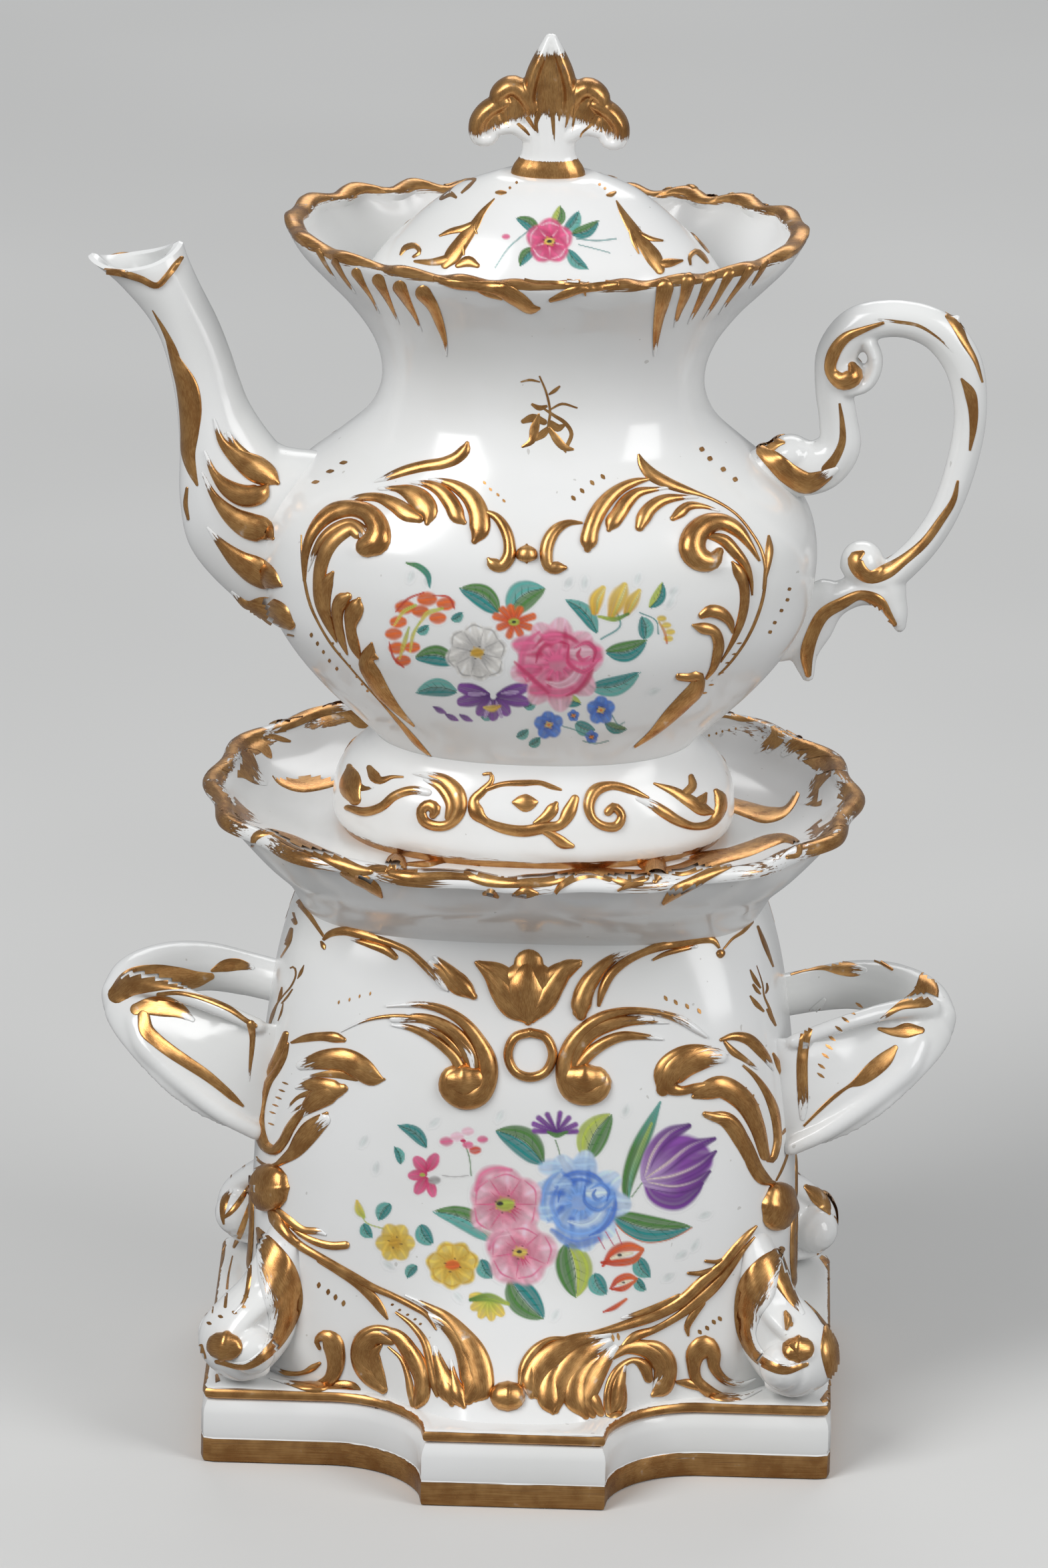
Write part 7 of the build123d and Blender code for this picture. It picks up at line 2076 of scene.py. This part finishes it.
    # purple half daisy
    for x, y in ((799, 1681), (806, 1672), (819, 1667), (838, 1665), (851, 1672), (861, 1682), (862, 1692),
                 (800, 1691)):
        painter.touch([(833, 1694, 2), ((x + 833) / 2, (y + 1694) / 2, 5), (x, y, 6)], (DEEP_PURPLE,
                                                                                        PURPLE), soft=0.6)
    painter.touch([(820, 1693, 3), (833, 1698, 5), (848, 1693, 3)], (GREEN, GREEN))
    # yellow flowers
    painter.bloom((591, 1858), 29, 6, DEEP_YELLOW, YELLOW, DEEP_YELLOW, 0, 0.95, None, 0.3)
    painter.bloom((677, 1892), 40, 7, DEEP_YELLOW, YELLOW, ORANGE, 12, 0.85, DEEP_YELLOW, 0.27)
    for angle in (170, 205, 240, 275, 310):
        painter.petal((733, 1944), angle, 4, 26, 10, LIME, YELLOW)
    painter.touch([(704, 1944, 4), (730, 1940, 9), (760, 1950, 4)], (GREEN, LIME))
    painter.touch([(534, 1796, 3), (538, 1811, 9), (545, 1820, 3)], (YELLOW, LIME))
    # red pods and strokes
    for rows in (
        [(902, 1893, 3), (918, 1872, 9), (940, 1864, 10), (961, 1868, 4)],
        [(900, 1888, 3), (925, 1888, 8), (948, 1884, 7), (962, 1870, 3)],
        [(913, 1927, 2), (925, 1914, 7), (940, 1909, 7), (952, 1912, 3)],
        [(915, 1928, 2), (932, 1927, 6), (950, 1916, 3)],
        [(903, 1962, 2), (918, 1956, 5), (937, 1943, 3)],
    ):
        painter.touch(rows, (RED, ORANGE), soft=0.5)
    painter.touch([(915, 1882, 3), (930, 1877, 6), (946, 1874, 3)], (CREAM, CREAM), 0.9)
    painter.dab(927, 1877, 3.5, INK)
    painter.touch([(924, 1921, 2), (934, 1918, 4), (943, 1915, 2)], (CREAM, CREAM), 0.9)
    painter.dab(933, 1918, 2.2, INK)
    for start, end in (((905, 1868), (895, 1850)), ((918, 1862), (906, 1842)), ((930, 1860), (921, 1838))):
        painter.stem([start, ((start[0] + end[0]) / 2, (start[1] + end[1]) / 2), end], DEEP_PINK, 1.3)


def paint_teapot(painter):
    for x, y, angle in ((851, 871, 60), (875, 871, 80), (954, 865, 70), (1008, 884, 50), (979, 1034, 20),
                        (615, 862, 70), (640, 870, 110), (1003, 900, 60)):
        painter.shade(x, y, angle)
    painter.stem([(957, 916), (982, 929), (985, 948)], TEAL)
    painter.stem([(922, 913), (928, 935), (899, 956)], TEAL, 2.2)
    for row in (
        ((745, 915), (688, 880), 19, TEAL, GREEN), ((762, 915), (815, 880), 24, PALE_TEAL, GREEN, -0.15),
        ((680, 990), (620, 984), 17, TEAL, GREEN), ((682, 1034), (622, 1036), 15, TEAL, PALE_TEAL),
    ):
        painter.leaf(*row)
    painter.touch([(608, 842, 2), (626, 847, 6), (640, 860, 6), (643, 878, 2)], (GREEN, TEAL), soft=0.5)
    for row in (
        ((893, 945), (846, 897), 13, TEAL, PALE_TEAL), ((973, 908), (991, 871), 11, LIME, TEAL),
        ((965, 955), (960, 922), 13, TEAL, PALE_TEAL), ((908, 975), (968, 958), 17, GREEN, TEAL),
        ((883, 1028), (958, 1005), 16, TEAL, PALE_TEAL), ((868, 1052), (832, 1052), 11, TEAL, LIME),
        ((862, 1082), (890, 1092), 12, TEAL, PALE_TEAL), ((906, 1082), (938, 1090), 9, GREEN, TEAL),
    ):
        painter.leaf(*row)
    for x, y in ((683, 922), (632, 941), (728, 1069), (792, 1053), (781, 1097), (799, 1109)):
        painter.leaf((x - 7, y + 5), (x + 9, y - 6), 8, TEAL, PALE_TEAL)
    # orange-red horseshoe flower
    for x, y, size in ((606, 908, 14), (639, 896, 14), (667, 903, 13), (596, 930, 12), (589, 948, 12),
                       (594, 969, 12), (603, 988, 11), (617, 968, 11), (655, 924, 12), (629, 914, 12)):
        painter.dab(x, y, size, ORANGE, soft=0.45)
    for rows in ([(590, 935, 2), (604, 915, 4), (622, 905, 3)], [(626, 935, 2), (640, 917, 5), (662, 910, 3)],
                 [(598, 985, 2), (606, 958, 5), (612, 938, 2)], [(614, 975, 2), (618, 950, 4), (628, 930,
                                                                                                2)]):
        painter.touch(rows, (YELLOW, LIME), 0.9)
    for rows in ([(592, 915, 1.5), (610, 896, 3), (634, 886, 2)], [(582, 960, 1.5), (590, 985, 3), (604,
                                                                                                    998, 2)],
                 [(648, 890, 1.5), (672, 894, 3), (680, 910, 2)]):
        painter.touch(rows, (RED, RED), 0.9, soft=0.7)
    # small orange-red flower
    for x, y in ((742, 922), (752, 912), (764, 909), (778, 912), (797, 922), (792, 938), (778, 947), (762,
                                                                                                      950),
                                                                                                      (748,
                                                                                                       938)):
        painter.touch([(769, 930, 2), ((x + 769) / 2, (y + 930) / 2, 7), (x, y, 8)], (RED, ORANGE), soft=0.55)
    painter.dab(769, 930, 8, LIME)
    painter.dab(769, 930, 3, INK)
    # pale daisy
    painter.bloom((714, 976), 48, 8, GREY, WARM_WHITE, YELLOW, 8, 0.92, GREY, 0.2)
    painter.dab(714, 976, 9, DEEP_YELLOW)
    # violet
    for angle in (165, 190, 350, 15, 230, 270, 310):
        painter.petal((738, 1041), angle, 8, 48 if angle in (165, 190, 350, 15) else 30, 12, DEEP_PURPLE,
                      PURPLE)
    for angle in (180, 5, 250, 290):
        painter.petal((738, 1038), angle, 12, 36, 4, PALE_PURPLE, PALE_PURPLE, 0.8)
    painter.touch([(725, 1058, 3), (736, 1060, 7), (748, 1056, 3)], (YELLOW, DEEP_YELLOW))
    for x, y in ((697, 1074), (676, 1073), (658, 1062)):
        painter.touch([(x - 9, y - 5, 2), (x, y, 6), (x + 9, y + 4, 2)], (DEEP_PURPLE, PURPLE))
    # pink rose
    painter.rose((834, 991), 64, DEEP_PINK, PINK, PALE_PINK, (874, 978, 28))
    for x, y, size in ((784, 964, 18), (790, 1002, 18), (806, 1032, 15), (826, 952, 15)):
        painter.dab(x, y, size, PINK, 0.85)
    painter.touch([(770, 990, 3), (796, 1014, 6), (820, 1036, 4)], (DEEP_PINK, DEEP_PINK), 0.7, soft=0.8)
    # yellow tulip and bud
    for rows in ([(890, 914, 8), (892, 897, 14), (902, 880, 6)], [(915, 920, 8), (926, 895, 18), (934, 876,
                                                                                                  7)],
                 [(938, 916, 7), (946, 900, 12), (956, 884, 5)]):
        painter.touch(rows, (DEEP_YELLOW, YELLOW), soft=0.45)
        painter.touch([(x + 3, y, breadth * 0.22) for x, y, breadth in rows], (LIME, PALE_YELLOW), 0.8,
                      soft=0.8)
    painter.touch([(896, 922, 3), (920, 926, 5), (940, 918, 3)], (LIME, GREEN))
    for x, y in ((990, 925), (997, 935), (1003, 945), (1000, 955)):
        painter.dab(x, y, 7, YELLOW)
    painter.touch([(986, 930, 2), (994, 945, 3), (998, 962, 2)], (DEEP_YELLOW, ORANGE), 0.8)
    # forget-me-nots
    for x, y, size in ((899, 1062, 21), (821, 1084, 21), (885, 1102, 10), (858, 1070, 9)):
        painter.bloom((x, y), size, 5, DEEP_BLUE, BLUE, YELLOW, 20, 0.9, None, 0.26)
        painter.dab(x, y, max(2.0, size * 0.13), ORANGE)
    for spots in ([(842, 1086), (862, 1092), (880, 1100)], [(872, 1108), (890, 1112), (910, 1108)],
                  [(916, 1070), (926, 1084), (934, 1080)]):
        painter.stem(spots, TEAL, 1.4)


def paint_lid(painter):
    for row in (
        ((805, 350), (772, 326), 11, TEAL, GREEN), ((828, 338), (838, 308), 11, LIME, GREEN),
        ((846, 345), (866, 316), 11, TEAL, PALE_TEAL), ((856, 350), (896, 330), 11, GREEN, TEAL),
        ((800, 372), (778, 398), 10, TEAL, GREEN), ((850, 374), (880, 402), 10, TEAL, PALE_TEAL),
    ):
        painter.leaf(*row)
    for row in (
        ([(741, 400), (760, 372), (793, 343)], TEAL), ([(863, 357), (893, 360), (922, 357)], TEAL),
        ([(866, 366), (890, 372), (912, 378)], TEAL, 1.2),
    ):
        painter.stem(*row)
    painter.dab(757, 354, 6, PINK)
    painter.bloom((822, 361), 34, 5, DEEP_PINK, PINK, YELLOW, 20, 0.9, PALE_PINK, 0.22)
    painter.dab(822, 361, 4, INK)


for name, ground, window, paint, body, keep in (
    ("stand_bouquet", stand_ground, (520, 1630, 1110, 1990), paint_stand, "stand", clear_of_door),
    ("teapot_bouquet", teapot_ground, (560, 820, 1050, 1130), paint_teapot, "teapot", None),
    ("lid_bouquet", lid_ground, (725, 300, 940, 410), paint_lid, "lid", None),
):
    canvas = Canvas(name, ground, window)
    paint(Painter(canvas))
    canvas.made(ENAMEL_FINISH, body, "glazed_porcelain", keep)

# The narrow ends of the stand, which the photo doesn't show: a plain leaf scroll under each handle
side_sheet = Sheet("stand_end_gilding", stand_ground, left_ray, 0.16)
for way in (-1, 1):
    side_sheet.lay([(way * 5, 34, 0.8), (way * 14, 36, 2.2), (way * 21, 44, 2.4), (way * 20, 53, 2.0),
                    (way * 13, 54, 1.9), (way * 12, 48, 2.2)], 0.9, "a")
    side_sheet.lay([(way * 9, 30, 0.5), (way * 18, 30, 1.8), (way * 27, 36, 1.6), (way * 31, 45, 0.6)],
                   0.6, "b")
    side_sheet.dots([(way * 5, 62 + 3.4 * i) for i in range(3)], 0.3, 1.6, 90)
side_sheet.lay([(0, 27, 0.5), (0, 33, 2.2), (0, 41, 2.6), (0, 49, 0.6)], 0.8, "b")
side_sheet.made(GILDED_FINISH, "stand", "gilding", "side")

# The night lamp keeps its plain shapes
for node, material in (
    ("lamp_cup", PORCELAIN_FINISH), ("lamp_cup_handle", PORCELAIN_FINISH), ("lamp_cover", PORCELAIN_FINISH),
    ("wick_tube", tinned_brass()), ("wick", cotton_wick()),
):
    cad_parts[node].data.materials.clear()
    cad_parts[node].data.materials.append(material)

# Floor, light and camera
FLOOR = 6000.0


def pale_floor():
    """A plain pale sheet. Only the camera sees it at full strength, so it doesn't glare in the glaze."""
    material, tree, surface = new_material("pale_floor")
    place = object_place(tree)
    grain = ranged(tree, noise(tree, 3.0, 2.0, place), 0.3, 0.7)
    seen = mixed(tree, grain, (0.60, 0.60, 0.59), (0.64, 0.64, 0.63))
    path = tree.nodes.new("ShaderNodeLightPath")
    colour = mixed(tree, path.outputs["Is Camera Ray"], (0.30, 0.30, 0.30), seen)
    tree.links.new(colour, surface.inputs["Base Color"])
    surface.inputs["Roughness"].default_value = 0.9
    surface.inputs["Specular IOR Level"].default_value = 0.1
    steps = 12
    points = []
    for i in range(steps + 1):
        for j in range(steps + 1):
            points.append((FLOOR * (j / steps - 0.5), FLOOR * (i / steps - 0.5), 0.0))
    floor = new_object("floor", points, grid_faces(steps + 1, steps + 1, closed_across=False))
    floor.data.materials.append(material)


def soft_light(name, place, aim, size, power):
    data = bpy.data.lights.new(name, "AREA")
    data.shape = "RECTANGLE"
    data.size = size[0]
    data.size_y = size[1]
    data.energy = power
    made = bpy.data.objects.new(name, data)
    bpy.context.scene.collection.objects.link(made)
    made.location = place
    made.rotation_euler = (Vector(aim) - Vector(place)).to_track_quat("-Z", "Y").to_euler()


def plain_studio():
    soft_light("key_light", (-1.25, -1.35, 1.75), (0, 0, 0.15), (1.1, 1.5), 40.0)
    soft_light("fill_light", (1.55, -1.0, 1.15), (0, 0, 0.15), (0.9, 1.4), 20.0)
    soft_light("back_light", (0.2, 1.7, 1.7), (0, 0, 0.2), (1.6, 0.8), 12.0)
    world = bpy.data.worlds.new("plain_room")
    world.use_nodes = True
    back = world.node_tree.nodes["Background"]
    back.inputs["Color"].default_value = (0.80, 0.82, 0.85, 1.0)
    back.inputs["Strength"].default_value = 0.36
    bpy.context.scene.world = world


pale_floor()
plain_studio()

SENSOR = 36.0
camera_data = bpy.data.cameras.new("photo_camera")
camera_data.sensor_width = SENSOR
camera_data.lens = PHOTO_FOCAL * SENSOR / PHOTO_HEIGHT
camera_data.clip_end = 20.0
camera = bpy.data.objects.new("photo_camera", camera_data)
bpy.context.scene.collection.objects.link(camera)
turned = Matrix((EYE_RIGHT, EYE_UP, EYE_BACK)).transposed().to_4x4()
turned.translation = EYE * MM
camera.matrix_world = turned
bpy.context.scene.camera = camera
bpy.context.scene.view_settings.view_transform = "Standard"
